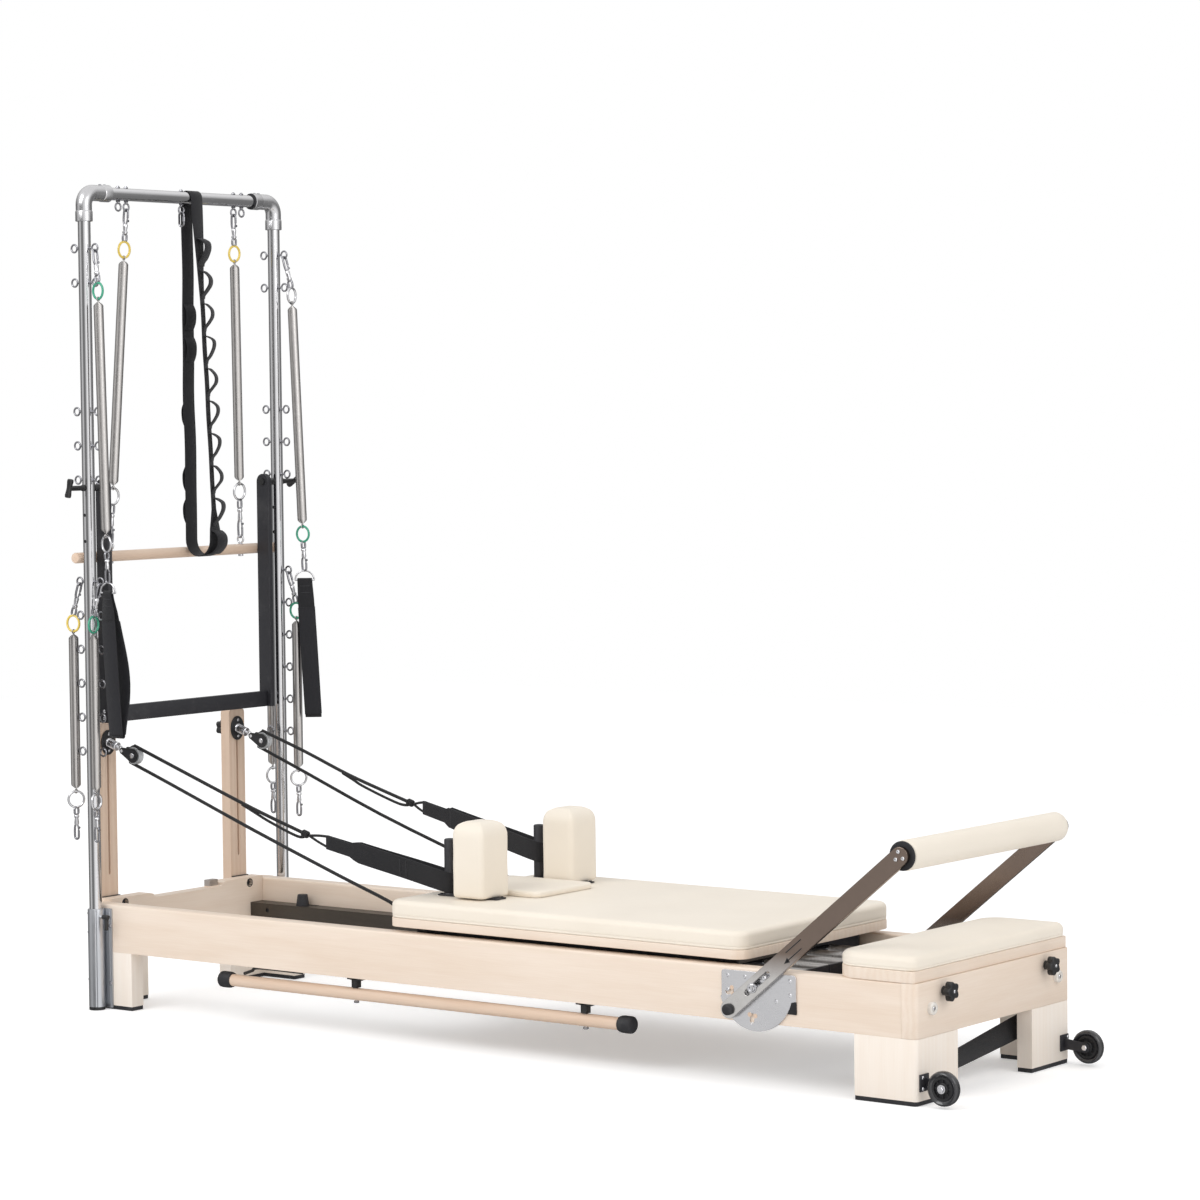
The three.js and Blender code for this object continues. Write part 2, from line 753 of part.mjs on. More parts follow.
// Footbar plates, each with three lock slots around its pivot.
const along = (reach, angle) => [pivot.x + reach * Math.cos(angle), pivot.z + reach * Math.sin(angle)];
const armLean = Math.atan2(roll.z - pivot.z, roll.x - pivot.x);
function footbarPlate() {
  const lean = Math.asin((pivot.z - plate.shelf) / plate.lobe);
  const shape = new THREE.Shape();
  shape.moveTo(plate.to - plate.corner, plate.top);
  shape.lineTo(plate.from + plate.corner, plate.top);
  shape.absarc(plate.from + plate.corner, plate.top - plate.corner, plate.corner, Math.PI / 2, Math.PI, false);
  shape.lineTo(plate.from, plate.shelf);
  shape.absarc(pivot.x, pivot.z, plate.lobe, Math.PI + lean, 2 * Math.PI - lean, false);
  shape.lineTo(plate.to, plate.shelf);
  shape.absarc(plate.to - plate.corner, plate.top - plate.corner, plate.corner, 0, Math.PI / 2, false);
  const outer = rail.outer + seat + plate.thick;
  let body = prismY(shape, -outer, -(rail.outer + seat), 5);
  const hole = rod(
    at(pivot.x, -outer - overrun, pivot.z),
    at(pivot.x, -rail.outer + overrun, pivot.z),
    pivot.bore,
    round.bar,
  );
  body = cut(body, hole);
  lock.angles.forEach((angle) => {
    const turn = Math.PI + angle * degrees;
    const [x0, z0] = along(lock.reach - lock.half / 2, turn);
    const [x1, z1] = along(lock.reach + lock.half, turn);
    const slot = stadium(x0, z0, x1, z1, lock.half);
    body = cut(body, prismY(slot, -outer - overrun, -rail.outer + overrun));
  });
  return body;
}
bothSides("footbar_plate", footbarPlate(), steel);

// Pivot bolts, which the arms slide on when the footbar is lifted out of its lock.
function pivotBolt() {
  const headFrom = armTo + seat;
  const { washerThick, headThick } = pivot;
  const inside = rail.outer - pivot.deep + running;
  const shaft = rod(
    at(pivot.x, -inside, pivot.z),
    at(pivot.x, -(headFrom + washerThick), pivot.z),
    pivot.radius,
    round.bar,
  );
  const washerEnd = at(pivot.x, -(headFrom + washerThick), pivot.z);
  const washer = rod(at(pivot.x, -headFrom, pivot.z), washerEnd, pivot.washer, round.bar);
  const head = rod(washerEnd, at(pivot.x, -(headFrom + washerThick + headThick), pivot.z), pivot.head, 6);
  return join(shaft, washer, head);
}
bothSides("footbar_pivot", pivotBolt(), steel);

function footbarFrame() {
  const [x0, z0] = along(-arm.pinReach, armLean);
  const outline = stadium(x0, z0, roll.x, roll.z, arm.half);
  const [s0, t0] = along(-arm.slotBack, armLean);
  const [s1, t1] = along(arm.slotFore, armLean);
  const slot = stadium(s0, t0, s1, t1, arm.slotHalf);
  const { capRadius, capLong } = arm;
  const core = rod(at(roll.x, -armFrom - seat, roll.z), at(roll.x, armFrom + seat, roll.z), roll.core, round.tube);
  let body = core;
  [-1, 1].forEach((side) => {
    const y0 = side < 0 ? -armTo : armFrom;
    const y1 = side < 0 ? -armFrom : armTo;
    const blade = cut(prismY(outline, y0, y1, 3), prismY(slot, y0 - overrun, y1 + overrun, 2));
    const discFrom = armFrom - roll.discThick;
    const disc = rod(
      at(roll.x, side * discFrom, roll.z),
      at(roll.x, side * (armFrom + seat), roll.z),
      roll.disc,
      round.tube,
    );
    const cap = rod(at(x0, side * (armTo - seat), z0), at(x0, side * (armTo + capLong), z0), capRadius, round.bar);
    const pinInner = rail.outer + seat + plate.thick + running;
    const pin = rod(at(x0, side * pinInner, z0), at(x0, side * armTo, z0), lock.half - running, round.small);
    body = join(body, blade, disc, cap, pin);
  });
  return body;
}
piece("footbar_frame", footbarFrame(), brushed);

function footbarPad() {
  const half = roll.half;
  const bore = roll.core + seat;
  const soft = 5;
  const profile = [
    [bore, 0],
    [roll.radius - soft, 0],
    [roll.radius, soft],
    [roll.radius, 2 * half - soft],
    [roll.radius - soft, 2 * half],
    [bore, 2 * half],
    [bore, 0],
  ];
  return turned(profile, at(roll.x, -half, roll.z), axisY, round.tube);
}
piece("footbar_pad", footbarPad(), vinyl);

// A star knob with its back at a place, its lobes round an axis, and a stud behind it.
function starKnob(back, direction, studRadius, studLong) {
  const outline = new THREE.Shape();
  const steps = star.lobes * 2;
  for (let i = 0; i < steps; i += 1) {
    const angle = (i * 2 * Math.PI) / steps;
    const wave = (1 + Math.cos(angle * star.lobes)) / 2;
    const reach = star.waist + (star.radius - star.waist) * Math.sqrt(wave);
    const [x, y] = [reach * Math.cos(angle), reach * Math.sin(angle)];
    if (i === 0) {
      outline.moveTo(x, y);
    } else {
      outline.lineTo(x, y);
    }
  }
  const head = extruded(outline, star.thick, 1);
  head.translate(0, 0, star.hubLong);
  head.applyQuaternion(new THREE.Quaternion().setFromUnitVectors(axisZ, direction));
  head.translate(back.x, back.y, back.z);
  const hubEnd = back.clone().addScaledVector(direction, star.hubLong + seat);
  const studEnd = back.clone().addScaledVector(direction, -studLong);
  const studStart = back.clone().addScaledVector(direction, seat);
  return join(solidOf(head), rod(back, hubEnd, star.hub, round.bar), rod(studStart, studEnd, studRadius, round.bar));
}
function platformKnobSolid() {
  const back = at(board.footEnd + seat, -platformKnob.across, platformKnob.up);
  return starKnob(back, axisX, star.hub / 2 - running, board.thick / 2 - running);
}
bothSides("platform_knob", platformKnobSolid(), plastic);

// Wheels with a hub, a thin web and a rounded tyre.
function wheelSolid() {
  const { radius, half, hub, bore, web, rimShare } = wheel;
  const rim = radius * rimShare;
  const profile = [
    [bore, 0],
    [hub, 0],
    [hub, half - web / 2],
    [rim, half - web / 2],
    [rim, half / 4],
    [radius, half / 2],
    [radius, 2 * half - half / 2],
    [rim, 2 * half - half / 4],
    [rim, half + web / 2],
    [hub, half + web / 2],
    [hub, half * 2],
    [bore, half * 2],
    [bore, 0],
  ];
  return turned(profile, at(wheel.x, -wheel.across - half, wheel.up), axisY, round.wheel);
}
bothSides("wheel", wheelSolid(), wheelRubber);

// The wooden pole stored under the near rail, with a rubber cap at each end.
function storagePole() {
  const { from, to, across, up, radius, cap, capLong } = pole;
  const soft = 4;
  const profile = [
    [0, 0],
    [cap - soft, 0],
    [cap, soft],
    [cap, capLong],
    [radius, capLong],
    [radius, to - from - capLong],
    [cap, to - from - capLong],
    [cap, to - from - soft],
    [cap - soft, to - from],
    [0, to - from],
  ];
  let body = turned(profile, at(from, -across, up), axisX, round.tube);
  [hanger.first, hanger.second].forEach((x) => {
    const hole = rod(
      at(x, -across, up - cap - overrun),
      at(x, -across, up + cap + overrun),
      hanger.bolt + running,
      round.small,
    );
    body = cut(body, hole);
  });
  return body;
}
piece("storage_pole", storagePole(), dowel);

// The elastic strap across the foot end, in a shallow bow.
function footStrap() {
  const x = railTo - foot.behind;
  const reach = rail.outer - leg.side - seat;
  const shares = [-1, -0.6, -0.1, 0.5, 1];
  const bowShares = [0, 0.7, 1, 0.6, 0];
  const placed = shares.map((share, i) => {
    const climb = (share + 1) / 2;
    const drop = foot.dropNear + (foot.dropFar - foot.dropNear) * climb;
    return { y: share * reach, x: x - foot.bow * bowShares[i], z: drop };
  });
  const half = foot.wide / 2;
  const rings = placed.map(({ x: px, y, z }) => [
    at(px, y, z - half),
    at(px, y, z + half),
    at(px - foot.thick, y, z + half),
    at(px - foot.thick, y, z - half),
  ]);
  return lofted(rings);
}
piece("foot_strap", footStrap(), webbing);

// Carriage: wooden deck on a rolling chassis, a long pad, and shoulder rests on steel posts.
const padBottom = carriage.bottom + carriage.deck;
const ropeAnchor = { inset: 72, up: 298, out: 15, ring: 7, wire: 2.4 };
function carriageDeck() {
  const { from, to, half, corner, bottom } = carriage;
  const radii = [corner, corner, corner, corner];
  let body = prismZ(roundedRectangle(from, to, -half, half, radii), bottom, padBottom, 2);
  [-1, 1].forEach((side) => {
    const y = side * (carriage.half - ropeAnchor.inset);
    const centre = at(from - ropeAnchor.out, y, ropeAnchor.up);
    const inFace = at(from + overrun, y, ropeAnchor.up);
    const stem = rod(inFace, at(centre.x + ropeAnchor.ring, y, ropeAnchor.up), ropeAnchor.wire + seat, 6);
    body = join(body, stem, wireRing(centre, axisX, axisY, ropeAnchor.ring, ropeAnchor.wire));
  });
  return body;
}
piece("carriage_deck", carriageDeck(), maple);
piece(
  "carriage_pad",
  cushion({
    x0: carriage.from,
    x1: carriage.to,
    y0: -carriage.half,
    y1: carriage.half,
    z0: padBottom + seat,
    z1: carriage.padTop,
    corners: [carriage.corner, carriage.corner, carriage.corner, carriage.corner],
    edgeRoll: platform.edge * 2,
    crown: seat,
    drawn: platform.edge / 4,
  }),
  vinyl,
);

function carriageChassis() {
  const top = carriage.bottom - seat;
  const { bar: thick, deep, cross, inset } = chassis;
  const wheelUp = track.top + seat + roller.radius;
  const outer = roller.inner;
  const inner = outer - thick;
  const reach = roller.radius + inset;
  const tie = { thick: deep / 4 };
  let body = box(roller.first - cross, roller.first + cross, -outer, outer, top - tie.thick, top);
  body = join(body, box(roller.last - cross, roller.last + cross, -outer, outer, top - tie.thick, top));
  [-1, 1].forEach((side) => {
    const y0 = side < 0 ? -outer : inner;
    const y1 = side < 0 ? -inner : outer;
    body = join(body, box(roller.first - reach, roller.last + reach, y0, y1, wheelUp - deep / 4, top));
    [roller.first, roller.last].forEach((x) => {
      const start = at(x, side * (outer - seat), wheelUp);
      const end = at(x, side * (outer + roller.wide), wheelUp);
      body = join(body, rod(start, end, roller.radius, round.bar));
    });
  });
  return body;
}
piece("carriage_chassis", carriageChassis(), blackSteel);

function carriageSprings() {
  const { radius, wire, up, anchor, anchorRadius, end } = carriageSpring;
  const places = springPlaces();
  const half = places[places.length - 1] + anchorRadius * 2;
  let body = rod(at(anchor, -half, up), at(anchor, half, up), anchorRadius, round.small);
  const hook = springBar.from - end;
  const cone = radius;
  const long = end - anchor;
  const tip = springBar.from + springBar.thick + hook / 2 - anchor;
  const profile = [
    [0, 0],
    [radius, cone],
    [radius, long - cone],
    [wire, long],
    [wire, tip],
    [wire * 3, tip + wire],
    [0, tip + 2 * wire],
  ];
  places.forEach((y) => {
    body = join(body, turned(profile, at(anchor, y, up), axisX, round.small));
  });
  return body;
}
piece("carriage_springs", carriageSprings(), blackSteel);

const plateTop = carriage.padTop + seat + post.plate;
function shoulderPost() {
  const { x, across, radius, top, plateFrom, plateTo, plateHalf } = post;
  const base = box(plateFrom, plateTo, -across - plateHalf, -across + plateHalf, carriage.padTop + seat, plateTop);
  const soft = radius / 4;
  const tall = top - plateTop;
  const profile = [[0, -seat], [radius, -seat], [radius, tall - soft], [radius - soft, tall], [0, tall]];
  return join(base, turned(profile, at(x, -across, plateTop), axisZ, round.tube));
}
bothSides("shoulder_post", shoulderPost(), blackSteel);

function shoulderPad() {
  return cushion({
    x0: shoulder.from,
    x1: shoulder.to,
    y0: -shoulder.outer,
    y1: -shoulder.inner,
    z0: plateTop + seat,
    z1: shoulder.top,
    corners: [shoulder.corner, shoulder.corner, shoulder.corner, shoulder.corner],
    edgeRoll: shoulder.roll,
    crown: shoulder.roll / 4,
    drawn: shoulder.roll / 3,
  });
}
bothSides("shoulder_pad", shoulderPad(), vinyl);

piece(
  "headrest",
  cushion({
    x0: headrest.from,
    x1: headrest.to,
    y0: -headrest.half,
    y1: headrest.half,
    z0: headrest.bottom + seat,
    z1: headrest.top,
    corners: [headrest.corner, headrest.corner, headrest.corner, headrest.corner],
    edgeRoll: headrest.roll,
    crown: headrest.roll / 4,
    drawn: headrest.roll / 4,
  }),
  vinyl,
);

// Risers behind the tower's board: a slotted post, bolted through the board.
const riserFace = riser.from + riser.thick;
function riserPost() {
  const { from, wide, across, top, bottom, corner } = riser;
  const half = wide / 2;
  const outline = roundedRectangle(-across - half, -across + half, bottom, top, [0, 0, corner, corner]);
  const slotTop = clamp.up + clamp.bolt + running;
  const slot = stadium(-across, riserSlot.bottom + riserSlot.half, -across, slotTop - riserSlot.half, riserSlot.half);
  let body = cut(prismX(outline, from, riserFace), prismX(slot, from - overrun, riserFace + overrun, 3));
  const pad = box(
    riserFace - seat,
    board.towerEnd - seat,
    -across - half + overrun,
    -across + half - overrun,
    bottom + overrun,
    towerBoard.crest,
  );
  const boltY = -towerBoard.boltAcross;
  const headFrom = railFrom - board.thick / 3 + seat;
  const shank = rod(
    at(riserFace - seat, boltY, towerBoard.boltUp),
    at(headFrom + seat, boltY, towerBoard.boltUp),
    riserBolt.radius,
  );
  const head = rod(
    at(headFrom, boltY, towerBoard.boltUp),
    at(headFrom + riserBolt.radius, boltY, towerBoard.boltUp),
    riserBolt.head,
    round.small,
  );
  return join(body, pad, shank, head);
}
bothSides("riser_post", riserPost(), maple);

// The clamp on a riser: oval plate, bolt and star knob, and the sprung swivel that carries the pulley.
const clampOrigin = at(riserFace + seat + clamp.thick, -riser.across, clamp.up);
const clampAlong = at(Math.cos(clamp.tilt * degrees), 0, -Math.sin(clamp.tilt * degrees));
const clampUp = at(Math.sin(clamp.tilt * degrees), 0, Math.cos(clamp.tilt * degrees));
const clampPlace = (reach) => clampOrigin.clone().addScaledVector(clampAlong, reach);
function helixPoint(turns) {
  const angle = turns * 2 * Math.PI;
  return clampPlace((turns / coil.count) * coil.length)
    .addScaledVector(clampUp, coil.radius * Math.cos(angle))
    .addScaledVector(axisY, coil.radius * Math.sin(angle));
}
function coilSolid() {
  const steps = coil.count * coil.steps;
  const rings = [];
  for (let i = 0; i <= steps; i += 1) {
    const middle = helixPoint(i / coil.steps);
    const onAxis = clampPlace(((i / steps) * coil.length));
    const outward = middle.clone().sub(onAxis).normalize();
    const ring = [];
    for (let k = 0; k < coil.sides; k += 1) {
      const angle = (k * 2 * Math.PI) / coil.sides;
      ring.push(
        middle
          .clone()
          .addScaledVector(outward, coil.wire * Math.cos(angle))
          .addScaledVector(clampAlong, coil.wire * Math.sin(angle)),
      );
    }
    rings.push(ring);
  }
  return lofted(rings);
}
const coilPitch = coil.length / coil.count;
console.log("least gap between the pulley spring's curls, mm:", (coilPitch - 2 * coil.wire).toFixed(2));

function riserClamp() {
  const { up, halfWide, halfTall, thick, bolt } = clamp;
  const y = -riser.across;
  const oval = new THREE.Shape();
  oval.absellipse(y, up, halfWide, halfTall, 0, 2 * Math.PI, false, 0);
  let body = prismX(oval, riserFace + seat, riserFace + seat + thick, round.small);
  const knobBack = at(riser.from - seat, y, up);
  const knob = starKnob(knobBack, axisX.clone().negate(), bolt, riser.thick + thick);
  const cup = { radius: coil.radius + coil.wire, thick: 3 };
  const washer = rod(clampPlace(coil.length - coil.wire), clampPlace(coil.length + cup.thick), cup.radius, round.bar);
  const shaft = rod(clampPlace(-thick / 2), clampPlace(link.reach - link.ring), coil.shaft, round.small);
  const ring = wireRing(clampPlace(link.reach), clampAlong, clampUp, link.ring, link.wire);
  return join(body, knob, coilSolid(), washer, shaft, ring);
}
bothSides("riser_clamp", riserClamp(), blackSteel);

// Pulley: two cheeks with a pin and an axle, hung on the swivel's ring, and a grooved sheave.
const sheaveCentre = clampPlace(sheave.reach);
function pulleyBlock() {
  const linkCentre = clampPlace(link.reach + 2 * link.ring - 2 * link.wire - link.play);
  const pinPlace = clampPlace(cheek.pin);
  const lean = -clamp.tilt * degrees;
  const outline = new THREE.Shape();
  outline.absarc(sheaveCentre.x, sheaveCentre.z, cheek.big, lean - Math.PI / 2, lean + Math.PI / 2, false);
  outline.absarc(pinPlace.x, pinPlace.z, cheek.small, lean + Math.PI / 2, lean + Math.PI * 1.5, false);
  const y = sheaveCentre.y;
  const inside = sheave.half + cheek.gap;
  const outside = inside + cheek.thick;
  const axleRadius = sheave.bore - running;
  let body = rod(
    sheaveCentre.clone().setY(y - outside - cheek.thick),
    sheaveCentre.clone().setY(y + outside + cheek.thick),
    axleRadius,
    round.bar,
  );
  body = join(body, rod(pinPlace.clone().setY(y - outside), pinPlace.clone().setY(y + outside), axleRadius));
  [-1, 1].forEach((side) => {
    const y0 = y + (side < 0 ? -outside : inside);
    const face = sheaveCentre.clone().setY(y + side * (outside - seat));
    const cap = sheaveCentre.clone().setY(y + side * (outside + cheek.thick / 2));
    body = join(body, prismY(outline, y0, y0 + cheek.thick, 2), rod(face, cap, cheek.nut, 6));
  });
  return join(body, wireRing(linkCentre, clampAlong, axisY, link.ring, link.wire));
}
bothSides("pulley_block", pulleyBlock(), plastic);

function sheaveSolid() {
  const { radius, half, bottom, bore, lip, grooveShare } = sheave;
  const mid = (radius + bottom) / 2;
  const profile = [
    [bore, -half],
    [radius, -half],
    [radius, -half + lip],
    [mid, -half * grooveShare],
    [bottom, 0],
    [mid, half * grooveShare],
    [radius, half - lip],
    [radius, half],
    [bore, half],
    [bore, -half],
  ];
  return turned(profile, sheaveCentre, axisY, round.wheel);
}
bothSides("sheave", sheaveSolid(), plastic);

// Ropes: round the sheave, one end at the carriage and the other in a loop over the shoulder post.
// The places are chosen by hand along the way that the rope lies; the side gives its sign across.
const ropeRoutes = {
  near: {
    upper: [
      [567, -215, 482],
      [452, -225, 521],
      [353, -232, 556],
      [240, -239, 598],
      [125, -246, 641],
    ],
    lower: [
      [130, -253, 592],
      [420, -253, 488],
      [710, -253, 389],
      [873, -252.5, 335],
      [894, -252, 318],
      [901, -252, 306],
    ],
    bandFrom: [590, -213, 474],
    bandTo: [1010, -182, 388],
  },
  far: {
    upper: [
      [553, 222, 521],
      [386, 232, 566],
      [292, 240, 593],
      [163, 246, 637],
    ],
    lower: [
      [156, 253, 580],
      [420, 253, 481],
      [710, 253, 386],
      [873, 252.5, 335],
      [894, 252, 318],
      [901, 252, 306],
    ],
    bandFrom: [576, 220, 517],
    bandTo: [1010, 182, 428],
  },
};
function ropeSolid({ upper, lower, bandFrom, bandTo }) {
  const side = Math.sign(bandTo[1]);
  const centre = sheaveCentre.clone().setY(side * riser.across);
  const wrap = sheave.bottom + rope.radius + 2 * running;
  const drop = (point) => Math.atan2(point[2] - centre.z, point[0] - centre.x);
  const tangent = (point, sense) => {
    const far = Math.hypot(point[0] - centre.x, point[2] - centre.z);
    return drop(point) + sense * Math.acos(wrap / far);
  };
  const start = tangent(upper[upper.length - 1], 1);
  const end = tangent(lower[0], -1) + 2 * Math.PI;
  const wrapSteps = 10;
  const arc = [];
  for (let i = 0; i <= wrapSteps; i += 1) {
    const angle = start + ((end - start) * i) / wrapSteps;
    arc.push(at(centre.x + wrap * Math.cos(angle), centre.y, centre.z + wrap * Math.sin(angle)));
  }
  const vectors = (list) => list.map(([x, y, z]) => at(x, y, z));
  const places = [...vectors(upper), ...arc, ...vectors(lower)];
  const cord = swept(places, polygonPoints(rope.radius, rope.sides), 1);
  const { half: knotHalf, neck, tail, swellShare, tailShare } = knotShape;
  const knotFrom = at(...bandFrom);
  const knotTo = at(...upper[1]);
  const knotLong = knotFrom.distanceTo(knotTo);
  const knot = turned(
    [[0, 0], [neck, 0], [knotHalf, knotLong * swellShare], [tail, knotLong * tailShare], [0, knotLong]],
    knotFrom,
    knotTo.clone().sub(knotFrom),
    round.small,
  );
  return join(cord, knot, bandSolid(bandFrom, bandTo));
}

// The webbing loop: it leaves the knot, runs flat on both sides of the post and turns round it.
function bandSolid(from, to) {
  const [x0, y0, z0] = from;
  const [x1, y1, z1] = to;
  const lean = Math.atan2(y1 - y0, x1 - x0);
  const { throat } = band;
  const outline = new THREE.Shape();
  const inner = new THREE.Path();
  const draw = (path, far, close) => {
    path.absarc(x1, y1, far, lean - Math.PI / 2, lean + Math.PI / 2, false);
    path.absarc(x0, y0, close, lean + Math.PI / 2, lean + Math.PI * 1.5, false);
  };
  draw(outline, band.half, throat);
  draw(inner, band.half - band.thick, throat - band.thick);
  outline.holes.push(inner);
  const geometry = extruded(outline, band.tall, 3);
  const slope = (z1 - z0) / (x1 - x0);
  const shear = new THREE.Matrix4().set(1, 0, 0, 0, 0, 1, 0, 0, slope, 0, 1, 0, 0, 0, 0, 1);
  geometry.applyMatrix4(shear);
  geometry.translate(0, 0, z0 - slope * x0 - band.tall / 2);
  return solidOf(geometry);
}
piece("rope_near", ropeSolid(ropeRoutes.near), webbing);
piece("rope_far", ropeSolid(ropeRoutes.far), webbing);

// Sockets: an aluminium column on a flange plate, bored for the upright, with a clamp lever.
function towerSocket() {
  const { radius, top, plateFrom, plateTo, plateThick, web } = socket;
  const y = -tower.across;
  const plateInner = rail.outer + seat;
  const column = rod(at(tower.x, y, 0), at(tower.x, y, top), radius, round.tube);
  const flange = box(plateFrom, plateTo, -plateInner - plateThick, -plateInner, 0, top);
  const rib = box(tower.x - web / 2, tower.x + web / 2, y, -plateInner - seat, 0, top);
  const bore = rod(
    at(tower.x, y, tower.foot - seat),
    at(tower.x, y, top + overrun),
    tower.tube + seat,
    round.tube,
  );
  const lever = clampLever;
  const leverOut = at(tower.x + radius + lever.long, y - lever.radius, lever.up);
  const shank = rod(at(tower.x + radius - seat * 2, y - lever.radius, lever.up), leverOut, lever.radius);
  const grip = rod(
    at(leverOut.x - lever.radius, leverOut.y, lever.up + lever.radius),
    at(leverOut.x, leverOut.y, lever.up - lever.arm),
    lever.radius,
  );
  const body = join(column, flange, rib, shank, grip);
  return cut(body, bore);
}
bothSides("tower_socket", towerSocket(), aluminium);

// Uprights with their eye bolts on both sides.
function eyeLevels() {
  const { first, step, lower, middle, middleCount, belowTop, upperCount } = eyeHeights;
  const levels = [];
  const row = (from, count) => {
    for (let i = 0; i < count; i += 1) {
      levels.push(from + i * step);
    }
  };
  row(first, lower);
  row(middle, middleCount);
  row(tower.top - belowTop, upperCount);
  return levels;
}
function uprightSolid() {
  const { x, across, tube: radius, wall, top, foot: bottom } = tower;
  const y = -across;
  let body = tube(at(x, y, bottom), at(x, y, top - elbow.bend), radius, radius - wall);
  eyeLevels().forEach((z) => {
    [-1, 1].forEach((side) => {
      const centre = at(x + side * eye.reach, y, z);
      const inner = at(x + side * (radius - wall / 2), y, z);
      const outer = at(x + side * (eye.reach - eye.ring), y, z);
      const ring = wireLink(centre, axisX, axisZ, eye.ring, eye.wire, 0, round.eyeAround, round.ringSection);
      body = join(body, rod(inner, outer, eye.stem, round.ringSection), ring);
    });
  });
  const outside = y - radius - overrun;
  const through = rod(
    at(x, outside, pushBar.pivotUp),
    at(x, y + radius + overrun, pushBar.pivotUp),
    knobStem.radius + running,
    round.bar,
  );
  body = cut(body, through);
  openHoles.heights.forEach((z) => {
    body = cut(body, rod(at(x, outside, z), at(x, y, z), openHoles.radius, round.small));
  });
  return body;
}
bothSides("upright", uprightSolid(), steel);

// The top bar with an elbow at each end and eye bolts through it.
function topBar() {
  const { x, across, tube: radius, wall, top } = tower;
  const { radius: outer, collar, inner, bend } = elbow;
  let body = rod(at(x, -inner - overrun, top), at(x, inner + overrun, top), radius, round.tube);
  const hollow = rod(at(x, -across, top), at(x, across, top), radius - wall, round.tube);
  [-1, 1].forEach((side) => {
    const turnShares = [0, 0.5, 1];
    const places = [at(x, side * across, collar), at(x, side * across, (collar + top - bend) / 2)];
    turnShares.forEach((share) => {
      const angle = (share * Math.PI) / 2;
      const y = across - bend + bend * Math.cos(angle);
      places.push(at(x, side * y, top - bend + bend * Math.sin(angle)));
    });
    places.push(at(x, side * ((inner + across - bend) / 2), top), at(x, side * inner, top));
    body = join(body, swept(places, polygonPoints(outer, round.bar), 1));
  });
  [-1, 1].forEach((side) => {
    const from = at(x, side * across, collar - overrun);
    const socketTop = top - bend + seat;
    body = cut(body, rod(from, at(x, side * across, socketTop), radius + seat, round.tube));
    body = cut(body, rod(from, at(x, side * across, top), radius - wall, round.tube));
  });
  body = cut(body, hollow);
  barEyes.across.forEach((y) => {
    const centre = at(x, y, top - barEyes.drop);
    const stemTop = at(x, y, top + radius + eye.stem * 2);
    const ring = wireLink(centre, axisZ, axisY, eye.ring, eye.wire, 0, round.eyeAround, round.ringSection);
    const nut = rod(at(x, y, top + radius - eye.stem / 2), stemTop, eye.stem * 2, 6);
    body = join(body, ring, rod(at(x, y, centre.z + eye.ring), stemTop, eye.stem, round.stem), nut);
  });
  return body;
}
piece("top_bar", topBar(), steel);

// The push-through bar: two flat arms and a cross rail, swinging on the knobs' studs.
function pushBarSolid() {
  const { inner, thick, wide, pivotUp, top, crossBottom, crossTop, bore } = pushBar;
  const half = wide / 2;
  const outer = inner + thick;
  const armShape = new THREE.Shape();
  armShape.moveTo(tower.x - half, crossBottom);
  armShape.lineTo(tower.x + half, crossBottom);
  armShape.absarc(tower.x, top - half, half, 0, Math.PI, false);
  let body = box(tower.x - thick / 2, tower.x + thick / 2, -inner - seat, inner + seat, crossBottom, crossTop);
  [-1, 1].forEach((side) => {
    const y0 = side < 0 ? -outer : inner;
    const blade = prismY(armShape, y0, y0 + thick, 4);
    const hole = rod(
      at(tower.x, y0 - overrun, pivotUp),
      at(tower.x, y0 + thick + overrun, pivotUp),
      bore,
      round.bar,
    );
    body = join(body, cut(blade, hole));
  });
  return body;
}
piece("push_bar", pushBarSolid(), blackSteel);

// The knobs that hold it: a stud through the upright and the arm, a spacer between them and a cross grip.
function pushBarKnob() {
  const { radius, collar, tip, bar: gripRadius, barHalf, cap } = knobStem;
  const z = pushBar.pivotUp;
  const x = tower.x;
  const armOuter = pushBar.inner + pushBar.thick;
  const spacerTo = tower.across - tower.tube - seat;
  const headAt = pushBar.inner - seat;
  const stud = rod(at(x, -headAt, z), at(x, -tip + gripRadius, z), Math.min(radius, pushBar.bore - running), round.bar);
  const spacer = rod(at(x, -(armOuter + seat), z), at(x, -spacerTo, z), collar, round.bar);
  const head = rod(at(x, -headAt, z), at(x, -headAt + cap / 2, z), cap, round.bar);
  const outerCollar = rod(
    at(x, -(tower.across + tower.tube + seat), z),
    at(x, -tip + gripRadius, z),
    radius + gripRadius / 4,
    round.small,
  );
  const grip = rod(at(x, -tip + gripRadius, z - barHalf), at(x, -tip + gripRadius, z + barHalf), gripRadius);
  return join(stud, spacer, head, outerCollar, grip);
}
bothSides("push_bar_knob", pushBarKnob(), blackSteel);

